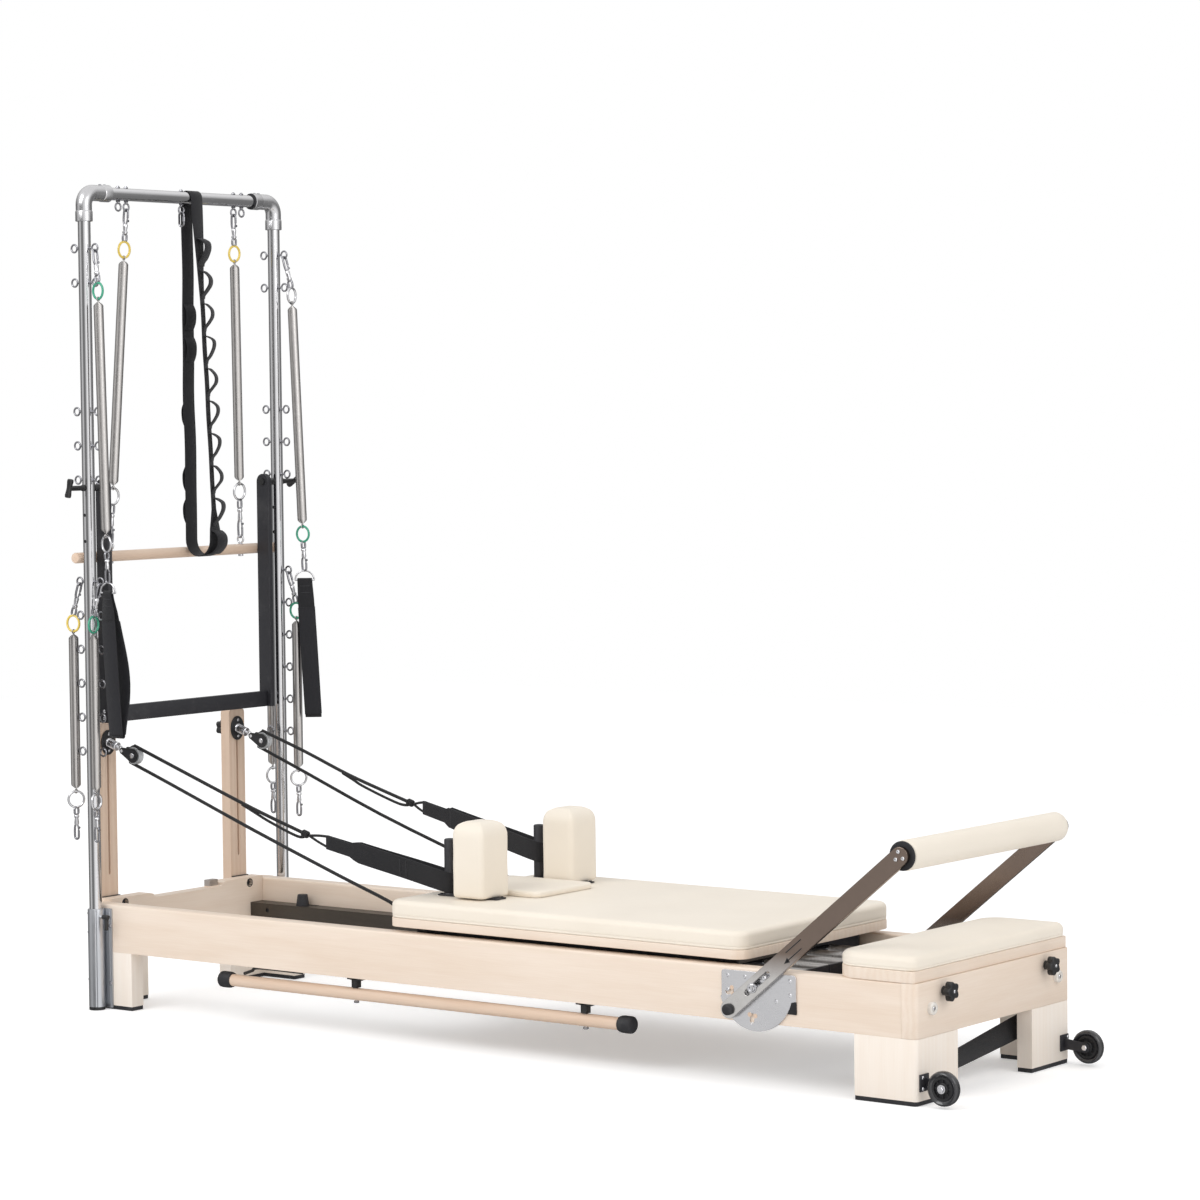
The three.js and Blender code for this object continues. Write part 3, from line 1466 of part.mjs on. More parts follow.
// Close-wound springs hang as chains: a hook on the eye, a ring, the coil between its necks, and a hook.
function hookOn(eyePlace, next, across) {
  const rise = eye.wire + link.play + spring.hookWire - eye.ring;
  const top = eyePlace.clone().add(at(0, 0, rise));
  return linkBetween(top, next, across, spring.hookHalf, spring.hookWire);
}
function coilBody(top, bottom, radius) {
  const direction = bottom.clone().sub(top);
  const long = direction.length();
  const { neck, cone, tip } = spring;
  const profile = [
    [0, -tip],
    [neck, -tip],
    [neck, 0],
    [radius, cone],
    [radius, long - cone],
    [neck, long],
    [neck, long + tip],
    [0, long + tip],
  ];
  return turned(profile, top, direction, round.bar);
}
function hangingSpring({ eyeAt, ringAt, top, bottom, tailAt, radius = spring.radius, across = axisY }) {
  const ringAcross = across === axisY ? axisX : axisY;
  const toRing = eyeAt.clone().sub(ringAt).normalize();
  const ringTop = ringAt.clone().addScaledVector(toRing, spring.ring);
  const hook = hookOn(eyeAt, ringTop, across);
  const ring = wireRing(ringAt, toRing, ringAcross, spring.ring, spring.wire);
  const away = bottom.clone().sub(top).normalize();
  const tailTop = bottom.clone().addScaledVector(away, spring.cone);
  const tail = linkBetween(tailTop, tailAt, ringAcross, spring.hookHalf, spring.hookWire);
  return join(hook, ring, coilBody(top, bottom, radius), tail);
}
const neckReach = spring.tip + spring.ring - spring.wire;
const below = (place, reach) => place.clone().add(at(0, 0, -reach));

// Leg springs on the eyes at the head of the lower rows. Each hangs clear of the eyes under it.
const legEye = eyeHeights.first + (eyeHeights.lower - 1) * eyeHeights.step;
const legLong = 403;
const legRing = { drop: 111, hookDrop: 134 };
function legSpring(side, eyeSide, x, across) {
  const eyeAt = at(tower.x + eyeSide * eye.reach, side * tower.across, legEye);
  const ringAt = at(x, side * across, legEye - legRing.drop);
  const top = below(ringAt, neckReach);
  const bottom = below(top, legLong);
  return hangingSpring({ eyeAt, ringAt, top, bottom, tailAt: below(bottom, legRing.hookDrop) });
}
const springAside = { outer: 386, beyondEyes: 64 };
const besideEyes = springAside.beyondEyes;
piece("leg_spring_near_back", legSpring(-1, -1, tower.x - besideEyes, tower.across), steel);
piece("leg_spring_near_front", legSpring(-1, 1, tower.x + eye.reach - eye.ring, springAside.outer), steel);
piece("leg_spring_far_back", legSpring(1, -1, tower.x - eye.reach - eye.ring, springAside.outer), steel);
piece("leg_spring_far_front", legSpring(1, 1, tower.x + besideEyes, tower.across), steel);

// Arm springs on the topmost eyes, each with a webbing handle.
const armEye = tower.top - eyeHeights.belowTop + eyeHeights.step;
const armSpringShape = { ringDrop: 112, long: 595, hookDrop: 130 };
function armSpringPlaces(side, offset, lean, across) {
  const eyeAt = at(tower.x + eye.reach, side * tower.across, armEye);
  const ringAt = at(eyeAt.x + offset, side * across, armEye - armSpringShape.ringDrop);
  const down = at(lean, 0, -armSpringShape.long).normalize();
  const top = ringAt.clone().addScaledVector(down, neckReach);
  const bottom = top.clone().addScaledVector(down, armSpringShape.long);
  const tailAt = bottom.clone().addScaledVector(down, armSpringShape.hookDrop);
  return { eyeAt, ringAt, top, bottom, tailAt };
}
const armSprings = {
  near: armSpringPlaces(-1, 26, 14, springAside.outer),
  far: armSpringPlaces(1, 26, 26, tower.across),
};
const dRing = { half: 26, wire: 2.4 };
const handStrap = { long: 372, lean: 19 };
function strapFacing() {
  const turn = 37 * degrees;
  return { wide: at(Math.cos(turn), Math.sin(turn), 0), normal: at(Math.sin(turn), -Math.cos(turn), 0) };
}
function armSpring(places) {
  const { half, wire } = dRing;
  const { wide } = strapFacing();
  const centre = below(places.tailAt, half);
  const reach = half + wire;
  const upper = box(
    centre.x - reach,
    centre.x + reach,
    centre.y - reach,
    centre.y + reach,
    centre.z,
    centre.z + reach,
  );
  const bow = wireRing(centre, axisZ, wide, half, wire).intersect(upper);
  const barEnd = (side) => centre.clone().addScaledVector(wide, side * half);
  return join(hangingSpring(places), bow, rod(barEnd(-1), barEnd(1), wire, round.small));
}
function handStrapSolid(places) {
  const facing = strapFacing();
  const ringBottom = below(places.tailAt, dRing.half);
  const clear = dRing.wire + running;
  const top = clear + strap.thick;
  const outline = stadium(0, -handStrap.long, 0, 0, top);
  const inner = new THREE.Path();
  const inside = top - strap.thick;
  inner.absarc(0, 0, inside, 0, Math.PI, false);
  inner.absarc(0, -handStrap.long, inside, Math.PI, 2 * Math.PI, false);
  outline.holes.push(inner);
  const geometry = extruded(outline, strap.wide, 3);
  geometry.translate(0, 0, -strap.wide / 2);
  const slope = handStrap.lean / handStrap.long;
  const up = at(-slope * facing.wide.x, -slope * facing.wide.y, 1);
  geometry.applyMatrix4(new THREE.Matrix4().makeBasis(facing.normal, up, facing.wide));
  geometry.translate(ringBottom.x, ringBottom.y, ringBottom.z);
  return solidOf(geometry);
}
piece("arm_spring_near", armSpring(armSprings.near), steel);
piece("arm_spring_far", armSpring(armSprings.far), steel);
piece("hand_strap_near", handStrapSolid(armSprings.near), webbing);
piece("hand_strap_far", handStrapSolid(armSprings.far), webbing);

// The roll-down bar on its two springs, resting behind the uprights.
function rolldownBar() {
  const { x, up, radius, half, eyeAcross } = bar;
  const cap = { radius: 7, tall: 6 };
  let body = rod(at(x, -half, up), at(x, half, up), radius, round.tube);
  [-1, 1].forEach((side) => {
    const y = side * eyeAcross;
    const ringAt = at(x, y, up + radius + eye.ring + eye.stem);
    const ring = wireLink(ringAt, axisZ, axisX, eye.ring, eye.wire, 0, round.eyeAround, round.ringSection);
    const stem = rod(at(x, y, up), at(x, y, up + radius + eye.stem + eye.wire / 2), eye.stem, 6);
    const nut = rod(at(x, y, up - radius - cap.tall), at(x, y, up), cap.radius, round.small);
    body = join(body, ring, stem, nut);
  });
  return body;
}
piece("rolldown_bar", rolldownBar(), dowel);

const rolldown = { ringDrop: 111, hookDrop: 132 };
function rolldownSpring(side, eyeAcross) {
  const eyeAt = at(tower.x, side * eyeAcross, tower.top - barEyes.drop);
  const barRing = at(bar.x, side * bar.eyeAcross, bar.up + bar.radius + eye.ring + eye.stem);
  const fall = barRing.clone().sub(eyeAt);
  const down = fall.clone().normalize();
  const coilLong = fall.length() - rolldown.ringDrop - rolldown.hookDrop - 2 * neckReach;
  const ringAt = eyeAt.clone().addScaledVector(down, rolldown.ringDrop);
  const top = ringAt.clone().addScaledVector(down, neckReach);
  const bottom = top.clone().addScaledVector(down, coilLong);
  const lowerRing = bottom.clone().addScaledVector(down, neckReach);
  const hookTop = lowerRing.clone().addScaledVector(down, spring.ring);
  const catchUp = eye.ring - eye.wire - link.play - spring.hookWire;
  const hookBottom = barRing.clone().addScaledVector(axisZ, catchUp);
  const ring = wireRing(ringAt, down, axisX, spring.ring, spring.wire);
  const ringBelow = wireRing(lowerRing, down, axisX, spring.ring, spring.wire);
  const ringTop = ringAt.clone().addScaledVector(down, -spring.ring);
  const rise = eye.wire + link.play + spring.hookWire - eye.ring;
  const hook = linkBetween(
    eyeAt.clone().addScaledVector(axisZ, rise),
    ringTop,
    axisX,
    spring.hookHalf,
    spring.hookWire,
  );
  const lowerHook = linkBetween(hookTop, hookBottom, axisY, spring.hookHalf, spring.hookWire);
  return join(hook, ring, coilBody(top, bottom, spring.radius), ringBelow, lowerHook);
}
piece("rolldown_spring_near", rolldownSpring(-1, -barEyes.across[1]), steel);
piece("rolldown_spring_far", rolldownSpring(1, barEyes.across[3]), steel);

// The loop strap: folded over the top bar, with a row of hand loops sewn to its front run.
const loopStrap = {
  across: 40,
  wide: 44,
  bottom: 1172,
  thick: 3,
  bend: 42,
  loops: 10,
  first: 1206,
  belowTop: 143,
  rise: 15,
  half: 30,
};
function loopStrapSolid() {
  const { across, wide, bottom, thick, bend, loops, first, belowTop, rise, half } = loopStrap;
  const step = (tower.top - belowTop - first) / (loops - 1);
  const reach = tower.tube + running;
  const low = { x: tower.x - reach + bend, z: bottom + bend + thick };
  const lean = 2 * Math.atan2(low.x - tower.x, tower.top - low.z);
  const draw = (path, extra) => {
    path.absarc(tower.x, tower.top, reach + extra, lean, Math.PI, false);
    path.absarc(low.x, low.z, bend + extra, Math.PI, 2 * Math.PI + lean, false);
  };
  const outline = new THREE.Shape();
  const inner = new THREE.Path();
  draw(outline, thick);
  draw(inner, 0);
  outline.holes.push(inner);
  const y0 = across - wide / 2;
  let body = prismY(outline, y0, y0 + wide, 4);
  const shoulder = { x: tower.x + (reach + thick) * Math.cos(lean), z: tower.top + (reach + thick) * Math.sin(lean) };
  const faceAt = (z) => shoulder.x + (shoulder.z - z) * Math.tan(lean);
  for (let i = 0; i < loops; i += 1) {
    const z = first + i * step;
    const loop = new THREE.Shape();
    const hole = new THREE.Path();
    const [upper, lower] = [faceAt(z + half), faceAt(z - half)];
    loop.moveTo(lower - thick / 2, z - half);
    loop.quadraticCurveTo(faceAt(z) + rise * 2, z, upper - thick / 2, z + half);
    hole.moveTo(lower, z - half + thick * 2);
    hole.quadraticCurveTo(faceAt(z) + (rise - thick) * 2, z, upper, z + half - thick * 2);
    loop.holes.push(hole);
    body = join(body, prismY(loop, y0 + thick, y0 + wide - thick, 2));
  }
  return body;
}
piece("loop_strap", loopStrapSolid(), webbing);

// The origin lies on the floor under the middle of the whole apparatus.
assembly.updateMatrixWorld(true);
const bounds = new THREE.Box3().setFromObject(assembly);
const middle = bounds.getCenter(at(0, 0, 0));
assembly.position.set(-middle.x, -middle.y, -bounds.min.z);
const part = new THREE.Group();
part.add(assembly);
export default part;
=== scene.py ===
import math

import bmesh
import bpy
from mathutils import Matrix, Vector, noise


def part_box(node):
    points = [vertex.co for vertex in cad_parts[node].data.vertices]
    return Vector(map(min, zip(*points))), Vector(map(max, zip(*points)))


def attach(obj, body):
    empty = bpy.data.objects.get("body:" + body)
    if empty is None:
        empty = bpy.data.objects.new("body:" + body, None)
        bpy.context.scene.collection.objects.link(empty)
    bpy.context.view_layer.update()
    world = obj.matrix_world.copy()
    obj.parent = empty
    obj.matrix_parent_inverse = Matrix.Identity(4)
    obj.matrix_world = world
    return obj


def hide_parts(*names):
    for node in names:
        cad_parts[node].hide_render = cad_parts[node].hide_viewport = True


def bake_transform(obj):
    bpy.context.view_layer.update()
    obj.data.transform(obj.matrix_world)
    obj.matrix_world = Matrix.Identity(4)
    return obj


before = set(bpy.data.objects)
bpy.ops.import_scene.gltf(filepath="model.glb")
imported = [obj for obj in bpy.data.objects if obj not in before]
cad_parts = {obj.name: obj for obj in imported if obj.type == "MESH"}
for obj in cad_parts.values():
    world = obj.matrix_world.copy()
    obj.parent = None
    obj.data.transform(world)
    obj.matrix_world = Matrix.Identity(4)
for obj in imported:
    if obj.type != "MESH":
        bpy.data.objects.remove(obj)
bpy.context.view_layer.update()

# Lengths are written in millimetres along the apparatus, from the inner face of its tower end.
mm = 0.001
towerX = -33
uprightLow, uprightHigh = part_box("upright_near")
shift = (uprightLow[0] + uprightHigh[0]) / 2 - towerX * mm
axisX = Vector((1, 0, 0))
axisY = Vector((0, 1, 0))
axisZ = Vector((0, 0, 1))


def at(x, y, z):
    return Vector((x, y, z))


def inFrame(point):
    return Vector((point[0] * mm + shift, point[1] * mm, point[2] * mm))


sideNames = ("near", "far")


def sideOf(name):
    return -1 if name == "near" else 1


# Camera, lamps, floor and world
camera = {"place": (5.6693, -7.4159, 1.5795), "yaw": -0.6407, "pitch": -0.0530, "roll": -0.0099,
          "lens": 112.785, "sensor": 36, "clip": 60}
lighting = {"world": 0.80, "key": 120, "fill": 46, "floorLift": 0.30, "gloom": 0.24, "overhead": 1.1,
            "overheadFrom": 0.1, "overheadTo": 0.7,
            "broad": {"azimuth": -13, "from": 0.45, "to": 0.97, "adds": 1.0},
            "narrow": {"azimuth": -127, "from": 0.90, "to": 0.99, "adds": 0.5}}
floorLook = {"reach": 9, "sunk": 0.0006, "pale": (0.90, 0.90, 0.905, 1), "paler": (0.92, 0.92, 0.92, 1)}
white = (1, 1, 1, 1)


def placeCamera():
    data = bpy.data.cameras.new("photoCamera")
    data.lens = camera["lens"]
    data.sensor_width = camera["sensor"]
    data.clip_end = camera["clip"]
    thing = bpy.data.objects.new("photoCamera", data)
    bpy.context.scene.collection.objects.link(thing)
    yaw, pitch, roll = camera["yaw"], camera["pitch"], camera["roll"]
    forward = Vector((math.sin(yaw) * math.cos(pitch), math.cos(yaw) * math.cos(pitch), math.sin(pitch)))
    level = Vector((math.cos(yaw), -math.sin(yaw), 0))
    upward = level.cross(forward)
    right = level * math.cos(roll) + upward * math.sin(roll)
    up = upward * math.cos(roll) - level * math.sin(roll)
    turn = Matrix((right, up, -forward)).transposed().to_4x4()
    thing.matrix_world = Matrix.Translation(camera["place"]) @ turn
    bpy.context.scene.camera = thing


# Short forms for the shader nodes that are used most; each gives an output
def node(tree, kind, inputs=None, **settings):
    made = tree.nodes.new("ShaderNode" + kind)
    for name, value in settings.items():
        setattr(made, name, value)
    for key, value in (inputs or {}).items():
        if isinstance(value, bpy.types.NodeSocket):
            tree.links.new(value, made.inputs[key])
        else:
            made.inputs[key].default_value = value
    return made


def maths(tree, operation, *values):
    return node(tree, "Math", dict(enumerate(values)), operation=operation).outputs[0]


def ranged(tree, value, low, high, toLow=0.0, toHigh=1.0, **settings):
    inputs = {"Value": value, "From Min": low, "From Max": high, "To Min": toLow, "To Max": toHigh}
    return node(tree, "MapRange", inputs, **settings).outputs[0]


def mixedColour(tree, share, first, second):
    return node(tree, "Mix", {0: share, 6: first, 7: second}, data_type="RGBA").outputs[2]


def mixedShader(tree, share, first, second):
    return node(tree, "MixShader", {0: share, 1: first, 2: second}).outputs[0]


def cloudy(tree, place, scale, detail, roughness=0.5):
    inputs = {"Scale": scale, "Detail": detail, "Roughness": roughness}
    if place is not None:
        inputs["Vector"] = place
    return node(tree, "TexNoise", inputs).outputs["Fac"]


def stretched(tree, place, scale):
    return node(tree, "VectorMath", {0: place, 1: scale}, operation="MULTIPLY").outputs[0]


def partsOf(tree, place):
    return node(tree, "SeparateXYZ", {0: place}).outputs


def areaLamp(name, place, target, power, size):
    data = bpy.data.lights.new(name, "AREA")
    data.energy = power
    data.size = size
    thing = bpy.data.objects.new(name, data)
    bpy.context.scene.collection.objects.link(thing)
    thing.location = place
    thing.rotation_euler = (Vector(target) - Vector(place)).to_track_quat("-Z", "Y").to_euler()


def makeWorld():
    world = bpy.data.worlds.new("studio")
    bpy.context.scene.world = world
    world.use_nodes = True
    tree = world.node_tree
    tree.nodes.clear()

    def light(colour, strength):
        return node(tree, "Background", {"Color": colour, "Strength": strength}).outputs[0]

    ray = node(tree, "LightPath").outputs
    parts = partsOf(tree, node(tree, "TexCoord").outputs["Generated"])
    azimuth = maths(tree, "ARCTAN2", parts["Y"], parts["X"])
    total = lighting["gloom"]
    for panel in (lighting["broad"], lighting["narrow"]):
        facing = maths(tree, "COSINE", maths(tree, "ADD", azimuth, -math.radians(panel["azimuth"])))
        share = ranged(tree, facing, panel["from"], panel["to"], 0.0, panel["adds"],
                       interpolation_type="SMOOTHSTEP")
        total = maths(tree, "ADD", share, total)
    rise = ranged(tree, parts["Z"], lighting["overheadFrom"], lighting["overheadTo"])
    steady = node(tree, "Mix", {0: rise, 2: total, 3: lighting["overhead"]}, data_type="FLOAT").outputs[0]
    gloss = mixedShader(tree, ray["Is Glossy Ray"], light(white, lighting["world"]),
                        light((1, 0.995, 0.99, 1), steady))
    whole = mixedShader(tree, ray["Is Camera Ray"], gloss, light(white, 1.0))
    node(tree, "OutputWorld", {"Surface": whole})


def makeFloor():
    reach = floorLook["reach"]
    mesh = bpy.data.meshes.new("floor")
    corners = [(-reach, -reach, 0), (reach, -reach, 0), (reach, reach, 0), (-reach, reach, 0)]
    mesh.from_pydata(corners, [], [(0, 1, 2, 3)])
    thing = bpy.data.objects.new("floor", mesh)
    bpy.context.scene.collection.objects.link(thing)
    thing.location.z = -floorLook["sunk"]
    paint = bpy.data.materials.new("paleFloor")
    paint.use_nodes = True
    tree = paint.node_tree
    tree.nodes.clear()
    ray = node(tree, "LightPath").outputs
    pale = mixedColour(tree, cloudy(tree, None, 1.5, 3.0), floorLook["pale"], floorLook["paler"])
    matt = node(tree, "BsdfDiffuse", {"Color": pale}).outputs[0]
    lift = maths(tree, "MULTIPLY", ray["Is Camera Ray"], lighting["floorLift"])
    glow = node(tree, "Emission", {"Color": white, "Strength": lift}).outputs[0]
    both = node(tree, "AddShader", {0: matt, 1: glow}).outputs[0]
    # polished steel mirrors the studio beyond the floor
    through = node(tree, "BsdfTransparent").outputs[0]
    node(tree, "OutputMaterial", {"Surface": mixedShader(tree, ray["Is Glossy Ray"], both, through)})
    mesh.materials.append(paint)


placeCamera()
makeWorld()
makeFloor()
areaLamp("keyLamp", (-1.2, -4.6, 4.6), (0, 0, 0.5), lighting["key"], 3.2)
areaLamp("fillLamp", (4.6, -1.0, 3.4), (0.4, 0, 0.4), lighting["fill"], 3.0)
bpy.context.scene.view_settings.view_transform = "Standard"
print("camera, floor and lamps placed")


# Shader groups: each is built once and used by several finishes
def tone(red, green, blue):
    linear = [(value / 255 / 12.92) if value <= 10 else ((value / 255 + 0.055) / 1.055) ** 2.4
              for value in (red, green, blue)]
    return (*linear, 1)


def shaderGroup(build, inputs):
    # build gets the tree and its inputs and gives the outputs by name
    tree = bpy.data.node_groups.new(build.__name__, "ShaderNodeTree")
    for label, value in inputs.items():
        kind = {3: "Vector", 4: "Color"}[len(value)] if isinstance(value, tuple) else "Float"
        tree.interface.new_socket(label, in_out="INPUT",
                                  socket_type="NodeSocket" + kind).default_value = value
    results = build(tree, tree.nodes.new("NodeGroupInput").outputs)
    for label in results:
        kind = "Color" if label == "Color" else "Float"
        tree.interface.new_socket(label, in_out="OUTPUT", socket_type="NodeSocket" + kind)
    leave = tree.nodes.new("NodeGroupOutput").inputs
    for label, value in results.items():
        tree.links.new(value, leave[label])
    return tree


def woodGrain(tree, given):
    along = given["Along"]
    cloud = cloudy(tree, stretched(tree, along, (1.1, 11, 11)), 2.2, 4.0, 0.55)
    rings = node(tree, "TexWave",
                 {"Vector": stretched(tree, along, (1.6, 16, 16)), "Scale": 1.1, "Distortion": 9.0,
                  "Detail": 3.0, "Detail Scale": 0.8}, bands_direction="Y").outputs["Fac"]
    fibre = cloudy(tree, stretched(tree, along, (14, 460, 460)), 1.0, 3.0)
    streak = maths(tree, "MULTIPLY_ADD", fibre, 0.45, maths(tree, "MULTIPLY", rings, given["Figure"]))
    total = maths(tree, "MULTIPLY_ADD", cloud, 0.75, streak)
    colour = mixedColour(tree, ranged(tree, total, 0.35, 1.25), given["Pale"], given["Deep"])
    return {"Color": colour, "Roughness": ranged(tree, cloud, 0.3, 0.7, 0.36, 0.5), "Height": fibre}


def handledMarks(tree, given):
    smudge = cloudy(tree, given["Place"], given["Size"], 5.0, 0.62)
    scuff = cloudy(tree, given["Place"], 140.0, 2.0)
    mask = ranged(tree, maths(tree, "MULTIPLY_ADD", scuff, 0.3, smudge), 0.45, 0.85)
    return {"Roughness": ranged(tree, mask, 0.0, 1.0, given["Low"], given["High"]), "Mask": mask}


def brushedLines(tree, given):
    return {"Lines": cloudy(tree, stretched(tree, given["Place"], given["Stretch"]), 1.0, 4.0, 0.7)}


def leatherGrain(tree, given):
    place = given["Place"]
    pebble = node(tree, "TexVoronoi", {"Vector": place, "Scale": given["Size"], "Randomness": 0.9},
                  feature="SMOOTH_F1").outputs["Distance"]
    crease = cloudy(tree, place, 260.0, 3.0)
    return {"Height": maths(tree, "MULTIPLY_ADD", crease, 0.5, pebble), "Tint": cloudy(tree, place, 5.0, 3.0)}


def wovenTape(tree, given):
    parts = partsOf(tree, given["Lay"])
    ribs = maths(tree, "MULTIPLY", parts["X"], given["Threads"])
    cross = maths(tree, "MULTIPLY", parts["Y"], given["Threads"])
    slant = maths(tree, "MULTIPLY_ADD", cross, 2.0, ribs)
    woven = maths(tree, "ADD", maths(tree, "SINE", ribs), maths(tree, "SINE", slant))
    return {"Height": woven, "Edge": cloudy(tree, None, 60.0, 4.0)}


def mouldedSpeckle(tree, given):
    place = given["Place"]
    return {"Height": cloudy(tree, place, given["Size"], 2.0), "Dust": cloudy(tree, place, 14.0, 6.0, 0.7)}


nowhere = (0, 0, 0)
groups = {
    "wood": shaderGroup(woodGrain, {"Along": nowhere, "Pale": (0.8, 0.7, 0.6, 1), "Deep": (0.6, 0.45, 0.3, 1),
                                    "Figure": 0.5}),
    "handled": shaderGroup(handledMarks, {"Place": nowhere, "Low": 0.2, "High": 0.4, "Size": 9.0}),
    "brushed": shaderGroup(brushedLines, {"Place": nowhere, "Stretch": (10, 10, 900)}),
    "leather": shaderGroup(leatherGrain, {"Place": nowhere, "Size": 520.0}),
    "weave": shaderGroup(wovenTape, {"Lay": nowhere, "Threads": 900.0}),
    "speckle": shaderGroup(mouldedSpeckle, {"Place": nowhere, "Size": 700.0}),
}


def useGroup(tree, name, **inputs):
    return node(tree, "Group", inputs, node_tree=groups[name]).outputs


def objectPlace(tree):
    return node(tree, "TexCoord").outputs["Object"]


def newFinish(name):
    finish = bpy.data.materials.new(name)
    finish.use_nodes = True
    tree = finish.node_tree
    return finish, tree, tree.nodes["Principled BSDF"]


def coat(tree, shader, colour, roughness, values):
    tree.links.new(colour, shader.inputs["Base Color"])
    tree.links.new(roughness, shader.inputs["Roughness"])
    for label, value in values.items():
        shader.inputs[label].default_value = value


def bump(tree, shader, height, strength, distance):
    made = node(tree, "Bump", {"Height": height, "Strength": strength, "Distance": distance})
    tree.links.new(made.outputs[0], shader.inputs["Normal"])


# Finishes
woods = {
    "maple": {"Pale": tone(240, 225, 210), "Deep": tone(225, 203, 182), "Figure": 0.2},
    # the legs' maple is the same wood painted paler: painted light where it falls on the legs' faces
    "paintedLightMaple": {"Pale": tone(248, 239, 229), "Deep": tone(238, 224, 209), "Figure": 0.16},
    "beech": {"Pale": tone(228, 205, 185), "Deep": tone(210, 180, 155), "Figure": 0.28},
}
# footbar arms: a brown painted reflection above a set height, plain steel below it, and brushed lines
armLook = {"plainSteel": tone(236, 234, 232), "paintedReflection": tone(140, 124, 114), "lines": tone(96, 86, 80),
           "reflectionFrom": 0.255, "reflectionTo": 0.32}
vinylLook = {"pale": tone(243, 234, 220), "deep": tone(234, 224, 209)}
clearLook = {"pale": tone(236, 232, 226), "deep": tone(222, 216, 208)}
dustTone = tone(170, 168, 165)


def woodFinish(name, kind, direction):
    finish, tree, shader = newFinish(name)
    parts = partsOf(tree, objectPlace(tree))
    order = {"X": "XYZ", "Y": "YXZ", "Z": "ZYX"}[direction]
    along = node(tree, "CombineXYZ", {i: parts[axis] for i, axis in enumerate(order)}).outputs[0]
    grain = useGroup(tree, "wood", Along=along, **woods[kind])
    coat(tree, shader, grain["Color"], grain["Roughness"], {"Coat Weight": 0.12, "Coat Roughness": 0.3})
    bump(tree, shader, grain["Height"], 0.12, 0.0004)
    return finish


def metalFinish(name, colour, low, high, stretch, deepColour, relief=0.04):
    finish, tree, shader = newFinish(name)
    place = objectPlace(tree)
    marks = useGroup(tree, "handled", Place=place, Low=low, High=high)
    lines = useGroup(tree, "brushed", Place=place, Stretch=stretch)["Lines"]
    coat(tree, shader, mixedColour(tree, lines, colour, deepColour), marks["Roughness"], {"Metallic": 1.0})
    bump(tree, shader, lines, relief, 0.0002)
    return finish


def armFinish():
    finish, tree, shader = newFinish("footbarSteel")
    place = objectPlace(tree)
    marks = useGroup(tree, "handled", Place=place, Low=0.2, High=0.28, Size=16.0)
    lines = useGroup(tree, "brushed", Place=place, Stretch=(30, 700, 30))["Lines"]
    # painted reflection: the steel's colour turns brown with height
    reflectionShare = ranged(tree, partsOf(tree, place)["Z"], armLook["reflectionFrom"], armLook["reflectionTo"])
    base = mixedColour(tree, reflectionShare, armLook["plainSteel"], armLook["paintedReflection"])
    shade = mixedColour(tree, maths(tree, "MULTIPLY", lines, 0.3), base, armLook["lines"])
    coat(tree, shader, shade, marks["Roughness"], {"Metallic": 1.0})
    bump(tree, shader, lines, 0.015, 0.0002)
    return finish


def mouldedFinish(name, colour, low, high, size, strength, coatWeight=0.0, metallic=0.0):
    finish, tree, shader = newFinish(name)
    place = objectPlace(tree)
    speckle = useGroup(tree, "speckle", Place=place, Size=size)
    marks = useGroup(tree, "handled", Place=place, Low=low, High=high, Size=12.0)
    shade = mixedColour(tree, ranged(tree, speckle["Dust"], 0.5, 0.8, 0.0, 0.08), colour, dustTone)
    coat(tree, shader, shade, marks["Roughness"], {"Metallic": metallic, "Coat Weight": coatWeight})
    bump(tree, shader, speckle["Height"], strength, 0.0003)
    return finish


def vinylFinish():
    finish, tree, shader = newFinish("ivoryVinyl")
    place = objectPlace(tree)
    grain = useGroup(tree, "leather", Place=place)
    marks = useGroup(tree, "handled", Place=place, Low=0.46, High=0.6, Size=6.0)
    shade = mixedColour(tree, grain["Tint"], vinylLook["pale"], vinylLook["deep"])
    coat(tree, shader, shade, marks["Roughness"], {"Sheen Weight": 0.15})
    bump(tree, shader, grain["Height"], 0.16, 0.0004)
    return finish


def tapeFinish(name, colour, threads, strength):
    finish, tree, shader = newFinish(name)
    lay = node(tree, "UVMap", uv_map="lay").outputs[0]
    weave = useGroup(tree, "weave", Lay=lay, Threads=threads)
    lighter = tuple(min(1, value * 1.5 + 0.003) for value in colour[:3]) + (1,)
    shade = mixedColour(tree, ranged(tree, weave["Height"], -1.0, 2.0, 0.0, 0.4), colour, lighter)
    coat(tree, shader, shade, ranged(tree, weave["Edge"], 0.0, 1.0, 0.7, 0.95), {"Sheen Weight": 0.12})
    bump(tree, shader, weave["Height"], strength, 0.0004)
    return finish


def clearFinish():
    finish, tree, shader = newFinish("clearPlastic")
    marks = useGroup(tree, "handled", Place=objectPlace(tree), Low=0.08, High=0.22, Size=30.0)
    shade = mixedColour(tree, marks["Mask"], clearLook["pale"], clearLook["deep"])
    coat(tree, shader, shade, marks["Roughness"], {"Coat Weight": 0.6})
    return finish


print("building finishes")
mapleX = woodFinish("mapleAlong", "maple", "X")
mapleY = woodFinish("mapleAcross", "maple", "Y")
